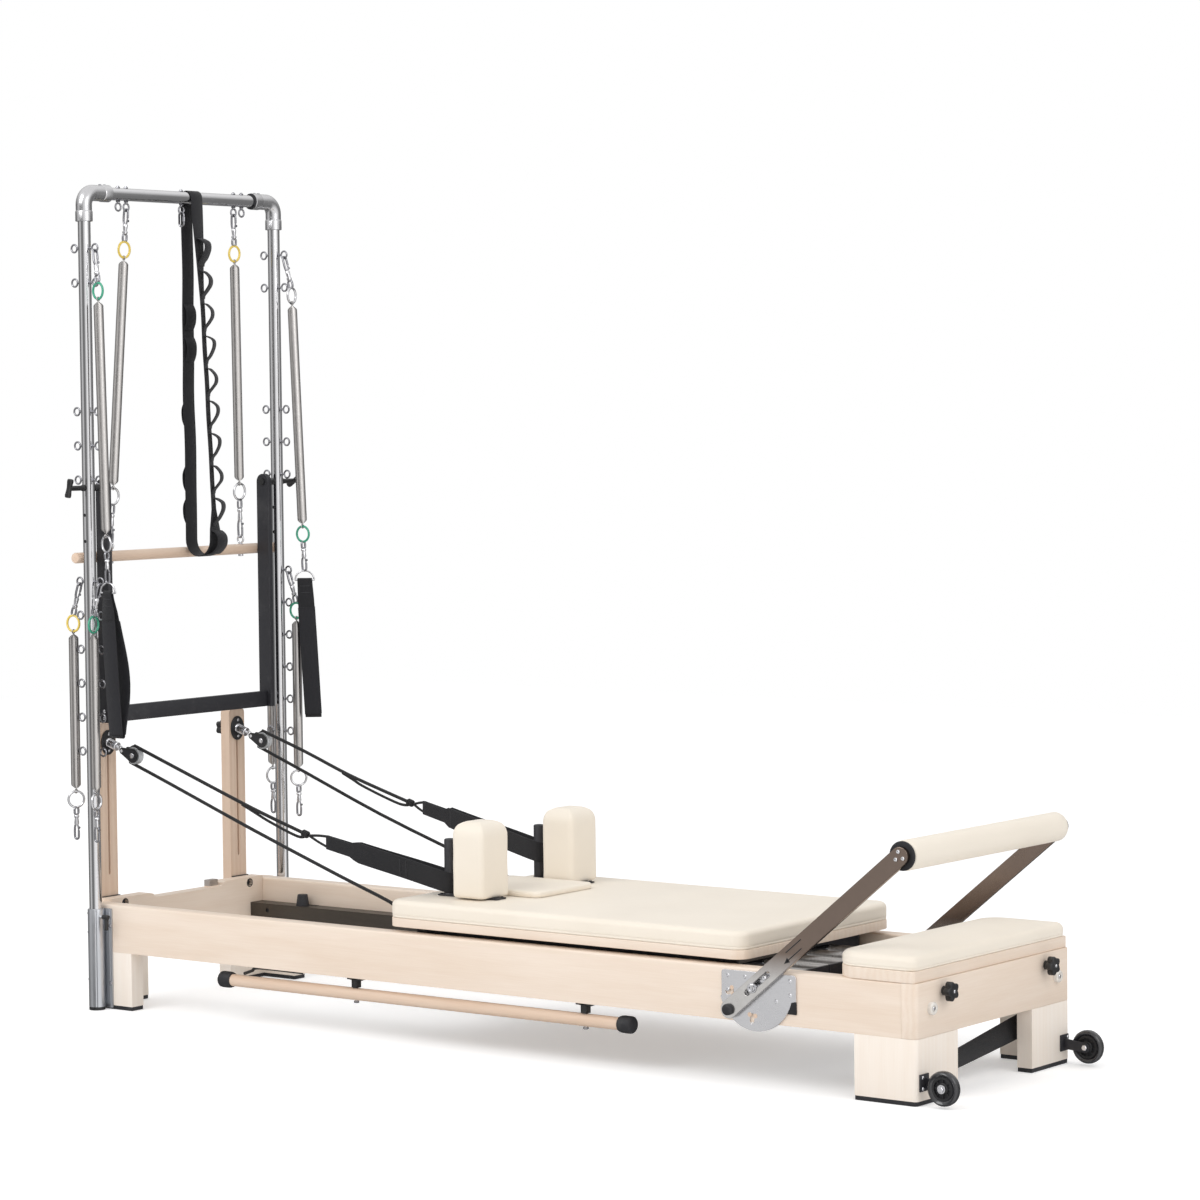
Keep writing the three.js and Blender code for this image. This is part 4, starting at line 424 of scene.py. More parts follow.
# the paler maple for the legs: painted light
paintedLightMapleZ = woodFinish("paintedLightMapleUpright", "paintedLightMaple", "Z")
beechX = woodFinish("beechAlong", "beech", "X")
beechY = woodFinish("beechAcross", "beech", "Y")
beechZ = woodFinish("beechUpright", "beech", "Z")
stainless = metalFinish("stainlessTube", tone(216, 216, 218), 0.06, 0.18, (60, 60, 500), tone(198, 198, 200))
chrome = metalFinish("hookChrome", tone(224, 224, 226), 0.04, 0.12, (90, 90, 90), tone(206, 206, 210))
zinc = metalFinish("zincWire", tone(168, 168, 172), 0.08, 0.2, (90, 90, 90), tone(142, 142, 147))
plateSteel = metalFinish("plateSteel", tone(232, 232, 234), 0.2, 0.3, (60, 40, 500), tone(216, 216, 220),
                         0.006)
springSteel = metalFinish("springSteel", tone(200, 197, 195), 0.26, 0.34, (40, 40, 40), tone(186, 183, 181),
                          0.004)
elbowSteel = metalFinish("elbowSteel", tone(206, 206, 208), 0.2, 0.28, (60, 60, 60), tone(192, 192, 194),
                         0.004)
barSteel = armFinish()
aluminium = metalFinish("socketAluminium", tone(196, 198, 202), 0.34, 0.48, (400, 400, 20),
                        tone(180, 183, 188))
anodised = metalFinish("trackAluminium", tone(101, 97, 92), 0.38, 0.52, (12, 500, 500), tone(88, 84, 79))
powder = mouldedFinish("powderCoat", tone(42, 42, 47), 0.4, 0.55, 900.0, 0.3, metallic=0.15)
plastic = mouldedFinish("blackPlastic", tone(28, 28, 30), 0.34, 0.5, 500.0, 0.15)
rubber = mouldedFinish("blackRubber", tone(36, 36, 40), 0.6, 0.8, 420.0, 0.35)
tyre = mouldedFinish("darkUrethane", tone(34, 34, 38), 0.14, 0.3, 260.0, 0.05, 0.5)
sheaveGrey = mouldedFinish("greyNylon", tone(196, 198, 200), 0.35, 0.5, 420.0, 0.1)
yellow = mouldedFinish("yellowDip", tone(234, 204, 92), 0.25, 0.4, 400.0, 0.1, 0.4)
green = mouldedFinish("greenDip", tone(58, 160, 128), 0.25, 0.4, 400.0, 0.1, 0.4)
vinyl = vinylFinish()
tape = tapeFinish("blackTape", tone(17, 17, 22), 2600.0, 0.4)
braid = tapeFinish("blackBraid", tone(16, 16, 19), 1900.0, 0.7)
padded = tapeFinish("neoprene", tone(20, 20, 26), 4200.0, 0.2)
clearPlastic = clearFinish()
thread = tapeFinish("darkThread", tone(60, 60, 64), 3000.0, 0.3)


# Mesh forms: points and faces gathered for one piece, each face with its finish
class Form:
    def __init__(self):
        self.points = []
        self.faces = []
        self.finishes = []
        self.lays = []

    def add(self, points, faces, finish, lays=None):
        first = len(self.points)
        self.points.extend(points)
        self.faces.extend([tuple(first + index for index in face) for face in faces])
        self.finishes.extend([finish] * len(faces))
        self.lays.extend(lays if lays else [None] * len(faces))


def toPiece(name, form, body, replaced=(), sharp=38):
    palette = []
    for finish in form.finishes:
        if finish not in palette:
            palette.append(finish)
    mesh = bpy.data.meshes.new(name)
    mesh.from_pydata([inFrame(point) for point in form.points], [], form.faces)
    for finish in palette:
        mesh.materials.append(finish)
    mesh.polygons.foreach_set("material_index", [palette.index(finish) for finish in form.finishes])
    layer = mesh.uv_layers.new(name="lay")
    flat = []
    for face, lay in zip(form.faces, form.lays):
        for index in range(len(face)):
            flat.extend(lay[index] if lay else (0.0, 0.0))
    layer.data.foreach_set("uv", flat)
    mesh.validate()
    mesh.shade_smooth()
    mesh.set_sharp_from_angle(angle=math.radians(sharp))
    mesh.update()
    thing = bpy.data.objects.new(name, mesh)
    bpy.context.scene.collection.objects.link(thing)
    if body:
        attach(thing, body)
    if replaced:
        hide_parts(*replaced)
    return thing


def acrossOf(direction):
    helper = axisZ if abs(direction.normalized().z) < 0.9 else axisX
    first = direction.cross(helper).normalized()
    return first, direction.normalized().cross(first).normalized()


def arcPoints(x, y, radius, start, end, steps):
    return [(x + radius * math.cos(math.radians(start + (end - start) * i / steps)),
             y + radius * math.sin(math.radians(start + (end - start) * i / steps)))
            for i in range(steps + 1)]


def circle(radius, sides):
    return arcPoints(0, 0, radius, 0, 360, sides)[:-1]


# The faces of a tube whose rings follow one another, each of the same size
def tubeFaces(count, size, closed=False):
    faces = []
    for i in range(count if closed else count - 1):
        low, high = i * size, ((i + 1) % count) * size
        for k in range(size):
            after = (k + 1) % size
            faces.append((low + k, low + after, high + after, high + k))
    if not closed:
        faces += [tuple(reversed(range(size))), tuple(range((count - 1) * size, count * size))]
    return faces


# A turned form: profile of (radius, height) from a place along a direction
def lathe(form, profile, origin, direction, finish, steps=32):
    first, second = acrossOf(direction)
    axis = direction.normalized()
    points = []
    rings = []
    for radius, height in profile:
        middle = origin + axis * height
        if radius < 1e-6:
            rings.append([len(points)])
            points.append(middle)
            continue
        rings.append(list(range(len(points), len(points) + steps)))
        for i in range(steps):
            angle = 2 * math.pi * i / steps
            points.append(middle + first * (radius * math.cos(angle)) + second * (radius * math.sin(angle)))
    faces = []
    for low, high in zip(rings, rings[1:]):
        for i in range(steps):
            after = (i + 1) % steps
            if len(low) == 1 and len(high) == 1:
                continue
            if len(low) == 1:
                faces.append((low[0], high[i], high[after]))
            elif len(high) == 1:
                faces.append((low[i], high[0], low[after]))
            else:
                faces.append((low[i], high[i], high[after], low[after]))
    form.add(points, faces, finish)


def softProfile(profile, soften):
    # each inner corner of the profile is cut by a short slope
    result = [profile[0]]
    for before, corner, after in zip(profile, profile[1:], profile[2:]):
        for other in (before, after):
            gap = Vector((other[0] - corner[0], other[1] - corner[1]))
            reach = min(soften, gap.length / 2.2)
            spot = Vector(corner) + (gap.normalized() * reach if gap.length > 1e-9 else gap)
            result.append((max(spot.x, 0), spot.y))
    result.append(profile[-1])
    return result


def turned(form, profile, soften, origin, direction, finish, steps):
    lathe(form, softProfile(profile, soften), origin, direction, finish, steps)


def disc(form, radius, thick, soften, origin, direction, finish, steps):
    turned(form, [(0, 0), (radius, 0), (radius, thick), (0, thick)], soften, origin, direction, finish, steps)


def rod(form, start, end, radius, finish, steps=24, soften=0.8):
    disc(form, radius, (end - start).length, min(soften, radius / 3), start, end - start, finish, steps)


# A section carried along points; outline lists (across, up) pairs
def carry(form, points, outline, finish, closed=False, upright=None, widths=None):
    count = len(points)
    size = len(outline)
    tangents = []
    for i in range(count):
        before = points[(i - 1) % count] if closed or i > 0 else points[i]
        after = points[(i + 1) % count] if closed or i < count - 1 else points[i]
        tangents.append((after - before).normalized())
    if upright is None:
        across, up = acrossOf(tangents[0])
        frames = [(across, up)]
        for previous, current in zip(tangents, tangents[1:]):
            turn = previous.rotation_difference(current)
            across = turn @ across
            across = (across - current * across.dot(current)).normalized()
            frames.append((across, current.cross(across).normalized()))
        if closed:
            turn = tangents[-1].rotation_difference(tangents[0])
            back = turn @ frames[-1][0]
            start = frames[0][0]
            slip = math.atan2(tangents[0].dot(start.cross(back)), start.dot(back))
            eased = []
            for i, (side, height) in enumerate(frames):
                twist = Matrix.Rotation(-slip * i / count, 3, tangents[i])
                eased.append((twist @ side, twist @ height))
            frames = eased
    else:
        frames = []
        for i, tangent in enumerate(tangents):
            chosen = upright[i] if isinstance(upright, list) else upright
            up = (chosen - tangent * chosen.dot(tangent)).normalized()
            frames.append((tangent.cross(up).normalized(), up))
    placed = []
    travelled = [0.0]
    for before, after in zip(points, points[1:] + points[:1]):
        travelled.append(travelled[-1] + (after - before).length * mm)
    girth = [0.0]
    for before, after in zip(outline, outline[1:] + outline[:1]):
        girth.append(girth[-1] + math.hypot(after[0] - before[0], after[1] - before[1]) * mm)
    for point, (across, up), share in zip(points, frames, widths or [1] * count):
        placed.extend([point + across * a + up * (b * share) for a, b in outline])
    lays = [[(travelled[i], girth[k]), (travelled[i], girth[k + 1]), (travelled[i + 1], girth[k + 1]),
             (travelled[i + 1], girth[k])] for i in range(count if closed else count - 1)
            for k in range(size)]
    form.add(placed, tubeFaces(count, size, closed), finish, lays if closed else lays + [None, None])


def tapeOutline(wide, thick, cutWide=1, cutThick=0.8):
    half, side = wide / 2, thick / 2
    return [(-side, -half + cutWide), (-side + cutThick, -half), (side - cutThick, -half),
            (side, -half + cutWide), (side, half - cutWide), (side - cutThick, half),
            (-side + cutThick, half), (-side, half - cutWide)]


def smoothPath(points, stepsEach=6):
    result = []
    for i in range(len(points) - 1):
        before = points[max(i - 1, 0)]
        start, end = points[i], points[i + 1]
        after = points[min(i + 2, len(points) - 1)]
        for step in range(stepsEach):
            t = step / stepsEach
            result.append(0.5 * ((2 * start) + (end - before) * t
                                 + (2 * before - 5 * start + 4 * end - after) * t * t
                                 + (3 * start - before - 3 * end + after) * t ** 3))
    result.append(points[-1].copy())
    return result


def ring(form, centre, normal, radius, wire, finish, steps=28, sides=10):
    first, second = acrossOf(normal)
    points = [centre + first * a + second * b for a, b in circle(radius, steps)]
    carry(form, points, circle(wire, sides), finish, closed=True)


# A closed wire oval between two places, its width along a direction
def oval(form, top, bottom, wide, half, wire, finish):
    along = (top - bottom).normalized()
    side = (wide - along * wide.dot(along)).normalized()
    points = [middle + side * a + along * b
              for middle, start in ((top - along * half, 0), (bottom + along * half, 180))
              for a, b in arcPoints(0, 0, half, start, start + 180, 10)]
    carry(form, points, circle(wire, 8), finish, closed=True)


def block(form, low, high, finish, bevel, turn=None):
    work = bmesh.new()
    bmesh.ops.create_cube(work, size=1)
    size = Vector(high) - Vector(low)
    middle = (Vector(high) + Vector(low)) / 2
    for vertex in work.verts:
        vertex.co = Vector(vertex.co[i] * size[i] for i in range(3))
    bmesh.ops.bevel(work, geom=list(work.edges), offset=min(bevel, min(size) / 2.1), segments=2, profile=0.5,
                    affect="EDGES")
    for vertex in work.verts:
        vertex.co = (turn @ vertex.co if turn else vertex.co) + middle
    work.verts.index_update()
    form.add([vertex.co.copy() for vertex in work.verts],
             [tuple(vertex.index for vertex in face.verts) for face in work.faces], finish)
    work.free()


def sideBlock(form, side, low, high, finish, bevel):
    # a block whose second measure is counted outwards on one side
    y0, y1 = sorted((side * low[1], side * high[1]))
    block(form, (low[0], y0, low[2]), (high[0], y1, high[2]), finish, bevel)


# A plate cut from outlines (the first outside, the others holes), thick along its own third direction
def cutPlate(form, loops, thick, place, finish, bevel=0.5, resolution=2):
    curve = bpy.data.curves.new("plate", "CURVE")
    curve.dimensions = "2D"
    curve.fill_mode = "BOTH"
    curve.extrude = max(thick / 2 - bevel, 0.01)
    curve.bevel_depth = bevel
    curve.bevel_resolution = resolution
    curve.offset = -bevel
    for loop in loops:
        spline = curve.splines.new("POLY")
        spline.points.add(len(loop) - 1)
        for spot, (x, y) in zip(spline.points, loop):
            spot.co = (x, y, 0, 1)
        spline.use_cyclic_u = True
    thing = bpy.data.objects.new("plate", curve)
    bpy.context.scene.collection.objects.link(thing)
    mesh = bpy.data.meshes.new_from_object(thing)
    form.add([place @ vertex.co for vertex in mesh.vertices],
             [tuple(face.vertices) for face in mesh.polygons], finish)
    bpy.data.objects.remove(thing)
    bpy.data.curves.remove(curve)
    bpy.data.meshes.remove(mesh)


def planeXY(z):
    return Matrix.Translation((0, 0, z))


def planeXZ(y):
    return Matrix(((1, 0, 0, 0), (0, 0, -1, y), (0, 1, 0, 0), (0, 0, 0, 1)))


def planeYZ(x):
    return Matrix(((0, 0, 1, x), (1, 0, 0, 0), (0, 1, 0, 0), (0, 0, 0, 1)))


def roundedLoop(x0, x1, y0, y1, radii, steps=10):
    a, b, c, d = [max(radius, 0.2) for radius in radii]
    return (arcPoints(x1 - b, y0 + b, b, -90, 0, steps) + arcPoints(x1 - c, y1 - c, c, 0, 90, steps)
            + arcPoints(x0 + d, y1 - d, d, 90, 180, steps) + arcPoints(x0 + a, y0 + a, a, 180, 270, steps))


def stadiumLoop(x0, y0, x1, y1, half, steps=12):
    lean = math.degrees(math.atan2(y1 - y0, x1 - x0))
    return (arcPoints(x1, y1, half, lean - 90, lean + 90, steps)
            + arcPoints(x0, y0, half, lean + 90, lean + 270, steps))


screwShape = [(0, -0.4), (1, -0.4), (1, 0.35), (0.8, 0.6), (0.45, 0.62), (0.42, 0.2), (0, 0.2)]


def screw(form, place, direction, radius, finish):
    lathe(form, [(across * radius, height * radius) for across, height in screwShape], place, direction,
          finish, 18)


# Close or open coil: a wire wound round the line between two places, drawn in to a neck at each end
def coil(form, start, end, radius, wire, pitch, cone, neck, finish, steps=10, sides=4, flat=1.0):
    axis = (end - start).normalized()
    long = (end - start).length
    first, second = acrossOf(axis)
    count = max(2, int(round(long / pitch)))
    total = count * steps
    points = []
    for i in range(total + 1):
        travelled = long * i / total
        angle = 2 * math.pi * i / steps
        edge = min(travelled, long - travelled)
        share = min(1.0, edge / cone) if cone > 0 else 1.0
        reach = neck + (radius - wire * flat - neck) * math.sin(share * math.pi / 2)
        outward = first * math.cos(angle) + second * math.sin(angle)
        middle = start + axis * travelled + outward * reach
        for k in range(sides):
            turn = 2 * math.pi * k / sides
            points.append(middle + outward * (wire * flat * math.cos(turn)) + axis * (wire * math.sin(turn)))
    form.add(points, tubeFaces(total + 1, sides), finish)


# Ropes: round the sheave, one end on the carriage's ring and the other in the webbing loop on the shoulder post.
# The places are the ones that the solid follows.
ropeLook = {"radius": 4.5, "sides": 10, "wrap": 23.5, "blend": (60, 560), "level": 500}
clampSetup = {"x": -87.7, "up": 690, "tilt": 17.5, "reach": 100, "across": 253}
ropeRoutes = {
    "near": {
        "upper": [(567, -215, 482), (452, -225, 521), (353, -232, 556), (240, -239, 598), (125, -246, 641)],
        "lower": [(130, -253, 592), (420, -253, 488), (710, -253, 389), (873, -252.5, 335), (894, -252, 318),
                  (901, -252, 306)],
        "band": [(590, -213, 474), (1010, -182, 388)], "mouth": 45,
    },
    "far": {
        "upper": [(553, 222, 521), (386, 232, 566), (292, 240, 593), (163, 246, 637)],
        "lower": [(156, 253, 580), (420, 253, 481), (710, 253, 386), (873, 252.5, 335), (894, 252, 318),
                  (901, 252, 306)],
        "band": [(576, 220, 517), (1010, 182, 428)], "mouth": 26,
    },
}


def clampPlace(side, reach):
    tilt = math.radians(clampSetup["tilt"])
    return at(clampSetup["x"] + reach * math.cos(tilt), side * clampSetup["across"],
              clampSetup["up"] - reach * math.sin(tilt))


def ropePath(side, route):
    centre = clampPlace(side, clampSetup["reach"])
    wrap = ropeLook["wrap"]

    def touch(point, sense):
        far = math.hypot(point[0] - centre.x, point[2] - centre.z)
        return math.degrees(math.atan2(point[2] - centre.z, point[0] - centre.x)
                            + sense * math.acos(wrap / far))

    start, end = touch(route["upper"][-1], 1), touch(route["lower"][0], -1) + 360
    arc = [at(x, centre.y, z) for x, z in arcPoints(centre.x, centre.z, wrap, start, end, 10)]
    return [Vector(point) for point in route["upper"]] + arc + [Vector(point) for point in route["lower"]]


def blendRope(piece):
    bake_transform(piece)


bandLook = {"tall": 52, "thick": 3, "half": 17.6, "throat": 4.8, "startTall": 35, "slim": 82, "taper": 8,
            "run": 26, "rounding": 0.7, "ripple": 1.2, "rippleLong": 37, "stitches": (0.25, 0.3, 0.62, 0.67),
            "stitchTall": 42, "cord": 3.4, "cordLift": 14.5, "knot": 6.2, "knotWire": 3.6, "doubled": 3.8}


def bandPiece(sideName, route):
    form = Form()
    start, end = Vector(route["band"][0]), Vector(route["band"][1])
    start = start + (end - start).normalized() * route["mouth"]
    lean = math.atan2(end.y - start.y, end.x - start.x)
    quarter = math.degrees(lean) + 90
    half, run = bandLook["thick"] / 2, bandLook["run"]
    post = [Vector(spot)
            for spot in arcPoints(end.x, end.y, bandLook["half"] - half, quarter - 180, quarter, 14)]
    mouth = [Vector(spot)
             for spot in arcPoints(start.x, start.y, bandLook["throat"] - half, quarter, quarter + 180, 8)]
    path = (post + [post[-1].lerp(mouth[0], i / run) for i in range(1, run)] + mouth
            + [mouth[-1].lerp(post[0], i / run) for i in range(1, run)])
    slope = (end.z - start.z) / (end.x - start.x)
    points, marks = [], [0.0]
    for i, spot in enumerate(path):
        after = path[(i + 1) % len(path)]
        tangent = (after - path[i - 1]).normalized()
        share = min(1.0, max(0.0, (spot.x - start.x - bandLook["slim"]) / bandLook["taper"]))
        tall = bandLook["startTall"] + (bandLook["tall"] - bandLook["startTall"]) * share
        level = start.z + slope * (spot.x - start.x)
        wave = math.sin(spot.x / bandLook["rippleLong"] + (2 if i < len(path) / 2 else 0))
        ripple = bandLook["ripple"] * wave * math.sin(math.pi * share / 2)
        for out, up in tapeOutline(tall, bandLook["thick"], bandLook["rounding"], bandLook["rounding"]):
            reach = out + ripple
            points.append(at(spot.x + tangent.y * reach, spot.y - tangent.x * reach, level + up))
        marks.append(marks[-1] + (after - spot).length * mm)
    across = [0] * 4 + [0.05] * 4 + [0]
    lays = [[(low, across[k]), (low, across[k + 1]), (high, across[k + 1]), (high, across[k])]
            for low, high in zip(marks, marks[1:]) for k in range(8)]
    form.add(points, tubeFaces(len(path), 8, True), tape, lays)
    # sewn sleeve with its rows of stitches
    for outward in (-1, 1):
        for row in bandLook["stitches"]:
            spot = start.lerp(end, row)
            offset = outward * ((bandLook["half"] - 4) * row + 4.4)
            low = at(spot.x - math.sin(lean) * offset, spot.y + math.cos(lean) * offset,
                     start.z + slope * (spot.x - start.x) - bandLook["stitchTall"] / 2)
            rod(form, low, low + at(0, 0, bandLook["stitchTall"]), 0.7, thread, 6, 0.2)
    # cords from the knot to the sewn mouth, then the knot and the doubled cord above it
    first, second, third = [Vector(point) for point in route["upper"][:3]]
    ahead = (second - first).normalized()
    knot = first - ahead * 9
    for lift in (-1, 1):
        sewn = start + at(6, 0, lift * bandLook["cordLift"])
        carry(form, smoothPath([knot, knot.lerp(sewn, 0.5) + at(0, 0, lift * 1.5), sewn], 4),
              circle(bandLook["cord"], 8), braid)
    for turn in range(3):
        ring(form, knot + ahead * (6 + 6 * turn), ahead, bandLook["knot"], bandLook["knotWire"], braid, 16, 8)
    double = [knot + ahead * 8 + at(0, 0, -3), knot.lerp(second, 0.3) + at(0, 0, -16), second + at(0, 0, -13),
              second.lerp(third, 0.5) + at(0, 0, -8), third.lerp(second, 0.1) + at(0, 0, -4)]
    carry(form, smoothPath(double, 6), circle(bandLook["doubled"], 8), braid)
    piece = toPiece(sideName + "ShoulderLoop", form, None)
    blendRope(piece)


def ropePiece(sideName):
    route = ropeRoutes[sideName]
    path = smoothPath(ropePath(sideOf(sideName), route), 3)
    form = Form()
    carry(form, path, circle(ropeLook["radius"], ropeLook["sides"]), braid)
    piece = toPiece(sideName + "Rope", form, None, ["rope_" + sideName])
    bandPiece(sideName, route)
    blendRope(piece)


for sideName in sideNames:
    ropePiece(sideName)
print("ropes laid")


# Wooden frame
rail = {"outer": 342, "inner": 297, "bottom": 150, "top": 275, "edge": 6}
boards = {"thick": 40, "tower": -85, "foot": 2470, "corner": 12, "gap": 0.3}
legs = {"side": 43, "tower": (152, 162), "foot": (165, 166), "pad": 10}


def legLoop(outerX, reach, inner, inset, toTower):
    sign = 1 if toTower else -1
    out = outerX + sign * inset
    panelIn = outerX + sign * (boards["thick"] - inset)
    sideIn = outerX + sign * (reach - inset)
    outer = rail["outer"] - inset
    sideInner = rail["outer"] - legs["side"] + inset
    radius = boards["corner"] - inset
    loop = [(sideIn, -outer), (sideIn, -sideInner), (panelIn, -sideInner), (panelIn, -(inner + inset)),
            (out, -(inner + inset))]
    if toTower:
        loop += arcPoints(out + radius, -outer + radius, radius, 180, 270, 10)
    else:
        loop += arcPoints(out - radius, -outer + radius, radius, 0, -90, 10)
    return loop


def mirrorLoop(loop, side):
    return [(x, -side * y) for x, y in loop]


wheelSetup = {"x": 2530, "across": 325, "up": 45, "radius": 40, "half": 12, "bracket": 5, "nut": 7}


def wheelBracket(form, side):
    x, up, face, thick = wheelSetup["x"], wheelSetup["up"], boards["foot"], wheelSetup["bracket"]
    inner = wheelSetup["across"] - wheelSetup["half"] - thick - 0.5
    loop = stadiumLoop(face + 3, up + 5, x, up, 12)
    cutPlate(form, [[(x, z) for x, z in loop if x > face]], thick, planeXZ(side * (inner + thick / 2)),
             powder, 0.8)
    sideBlock(form, side, (face, inner - 12, up - 13), (face + 4, inner + 25, up + 26), powder, 1.2)
    axle = at(x, side * inner, up)
    outer = at(x, side * (wheelSetup["across"] + wheelSetup["half"] + 0.5), up)
    rod(form, axle, outer, 3.9, chrome, 20)
    for end, way in ((outer, side), (axle, -side)):
        turned(form, [(0, 4), (wheelSetup["nut"], 4), (wheelSetup["nut"], -0.2), (0, -0.2)], 0.8, end,
               axisY * way, chrome, 6)
    for rise in (-6, 19):
        screw(form, at(face + 4.6, side * (inner + 17), up + rise), axisX, 4, chrome)


poleSetup = {"from": 365, "to": 1675, "across": 321, "up": 108, "radius": 15.5}
hangerSetup = {"places": (818, 1533), "half": 9, "flange": 24, "low": 124.2, "flangeLow": 144, "screws": 17,
               "clipWire": 4, "clipTop": 146.3, "clipShares": (0.06, 0.08, 0.1, 0.21)}


def poleHangers(form):
    y, half, flange = -poleSetup["across"], hangerSetup["half"], hangerSetup["flange"]
    for x in hangerSetup["places"]:
        block(form, (x - half, y - half, hangerSetup["low"]), (x + half, y + half, rail["bottom"]), plastic,
              1.5)
        block(form, (x - flange, y - half, hangerSetup["flangeLow"]), (x + flange, y + half, rail["bottom"]),
              plastic, 1.2)
        rod(form, at(x, y, 85), at(x, y, 126), 3.4, chrome, 16)
        disc(form, 7, 6, 0.8, at(x, y, 85.5), axisZ, chrome, 6)
        for shift in (-hangerSetup["screws"], hangerSetup["screws"]):
            screw(form, at(x + shift, y, hangerSetup["flangeLow"]), -axisZ, 3.4, chrome)
    long = poleSetup["to"] - poleSetup["from"]
    low, high = poleSetup["up"] + poleSetup["radius"] + 4.5, hangerSetup["clipTop"]
    levels = (low, (low + high) / 2, high, high)
    clip = [at(poleSetup["from"] + share * long, y, level)
            for share, level in zip(hangerSetup["clipShares"], levels)]
    carry(form, smoothPath(clip, 8), circle(hangerSetup["clipWire"], 12), plastic)


def sideFrame(sideName):
    side = sideOf(sideName)
    form = Form()
    y0, y1 = sorted((side * rail["outer"], side * rail["inner"]))
    loop = roundedLoop(y0, y1, rail["bottom"], rail["top"], [1, 1, rail["edge"], rail["edge"]], 6)
    inward = boards["thick"] + boards["gap"]
    railFrom, railTo = boards["tower"] + inward, boards["foot"] - inward
    cutPlate(form, [loop], railTo - railFrom, planeYZ((railFrom + railTo) / 2), mapleX, 0.4, 0)
    for outerX, (reach, inner), toTower in ((boards["tower"], legs["tower"], True),
                                            (boards["foot"], legs["foot"], False)):
        wood = mirrorLoop(legLoop(outerX, reach, inner, 0, toTower), side)
        cutPlate(form, [wood], rail["bottom"] - legs["pad"], planeXY((rail["bottom"] + legs["pad"]) / 2),
                 paintedLightMapleZ, 0.8, 1)
        foot = mirrorLoop(legLoop(outerX, reach, inner, 1, toTower), side)
        cutPlate(form, [foot], legs["pad"], planeXY(legs["pad"] / 2), rubber, 0.8, 1)
    wheelBracket(form, side)
    if side < 0:
        poleHangers(form)
    toPiece(sideName + "SideFrame", form, "frame", ["side_frame_" + sideName], 30)


guards = {"across": 281, "up": 214, "screw": 4.6,
          "shape": [(0, 0), (15, 0), (15.2, 5), (14.6, 8.5), (12.8, 10.6), (11.2, 11), (10.6, 9.8), (7, 9.4),
                    (6.4, 7), (0, 7)]}


def footEndBoard():
    form = Form()
    corner, x1 = boards["corner"], boards["foot"]
    loop = roundedLoop(x1 - boards["thick"], x1, -rail["outer"], rail["outer"], [0.4, corner, corner, 0.4],
                       10)
    low, high = rail["bottom"] + boards["gap"], rail["top"]
    cutPlate(form, [loop], high - low, planeXY((high + low) / 2), mapleY, 1.0, 1)
    for side in (-1, 1):
        place = at(x1, side * guards["across"], guards["up"])
        lathe(form, guards["shape"], place - axisX * 0.2, axisX, clearPlastic, 40)
        screw(form, place + axisX * 7.6, axisX, guards["screw"], chrome)
    toPiece("footEndBoard", form, "frame", ["foot_end_board"], 30)


decks = {
    "standingPlatform": {"box": (2247, 2464, 342, 275.3, 302), "corners": [60, 8, 8, 60],
                         "node": "platform_base", "body": "frame", "finish": mapleY},
    "carriageDeck": {"box": (920, 1988, 324, 287, 309), "corners": [37, 37, 37, 37], "node": "carriage_deck",
                     "body": "carriage", "finish": mapleX},
}
ropeRings = {"across": 252, "up": 298, "away": 15, "radius": 7, "wire": 2.4}


def deckPlate(name, look):
    form = Form()
    x0, x1, half, z0, z1 = look["box"]
    loop = roundedLoop(x0, x1, -half, half, look["corners"], 14)
    cutPlate(form, [loop], z1 - z0, planeXY((z0 + z1) / 2), look["finish"], 1.6, 2)
    if look["body"] == "carriage":
        for side in (-1, 1):
            edge = at(x0, side * ropeRings["across"], ropeRings["up"])
            centre = edge - axisX * ropeRings["away"]
            ring(form, centre, axisY, ropeRings["radius"], ropeRings["wire"], chrome)
            rod(form, edge + axisX * 3, centre + axisX * ropeRings["radius"], 2.8, chrome, 16)
            lathe(form, [(0, 0), (7.5, 0), (7.5, 1.6), (0, 1.8)], edge + axisX * 0.2, -axisX, chrome, 24)
    toPiece(name, form, look["body"], [look["node"]], 30)


for sideName in sideNames:
    sideFrame(sideName)
footEndBoard()
for name, look in decks.items():
    deckPlate(name, look)
print("wooden frame built")


# Carried-over solids: their shape is right, so they get a finish
def maskedFinish(name, base, extra, build):
    # a copy of the base finish that turns into another shader where build says so
    finish = base.copy()
    finish.name = name
    tree = finish.node_tree
    output = next(item for item in tree.nodes if item.type == "OUTPUT_MATERIAL")
    shader = next(item for item in tree.nodes if item.type == "BSDF_PRINCIPLED")
    second = node(tree, "BsdfPrincipled", extra)
    place = objectPlace(tree)
    bump(tree, second, useGroup(tree, "speckle", Place=place)["Height"], 0.25, 0.0003)
    mixed = mixedShader(tree, build(tree, partsOf(tree, place)), shader.outputs[0], second.outputs[0])
    tree.links.new(mixed, output.inputs["Surface"])
    return finish


# Where the tower board's stop and the spacer behind it begin and end
spacer = (-91.9, -85.05)
boardStop = {"X": (-75.2, -54.8), "Y": (93.8, 127.2), "Z": (271.5, 300)}


def between(tree, value, low, high):
    return maths(tree, "MULTIPLY", maths(tree, "GREATER_THAN", value, low),
                 maths(tree, "LESS_THAN", value, high))


def spacerMask(tree, parts):
    return between(tree, parts["X"], *[inFrame(at(x, 0, 0)).x for x in spacer])


def stopMask(tree, parts):
    across = between(tree, parts["Y"], *[y * mm for y in boardStop["Y"]])
    along = between(tree, parts["X"], *[inFrame(at(x, 0, 0)).x for x in boardStop["X"]])
    above = between(tree, parts["Z"], *[z * mm for z in boardStop["Z"]])
    return maths(tree, "MULTIPLY", maths(tree, "MULTIPLY", across, along), above)


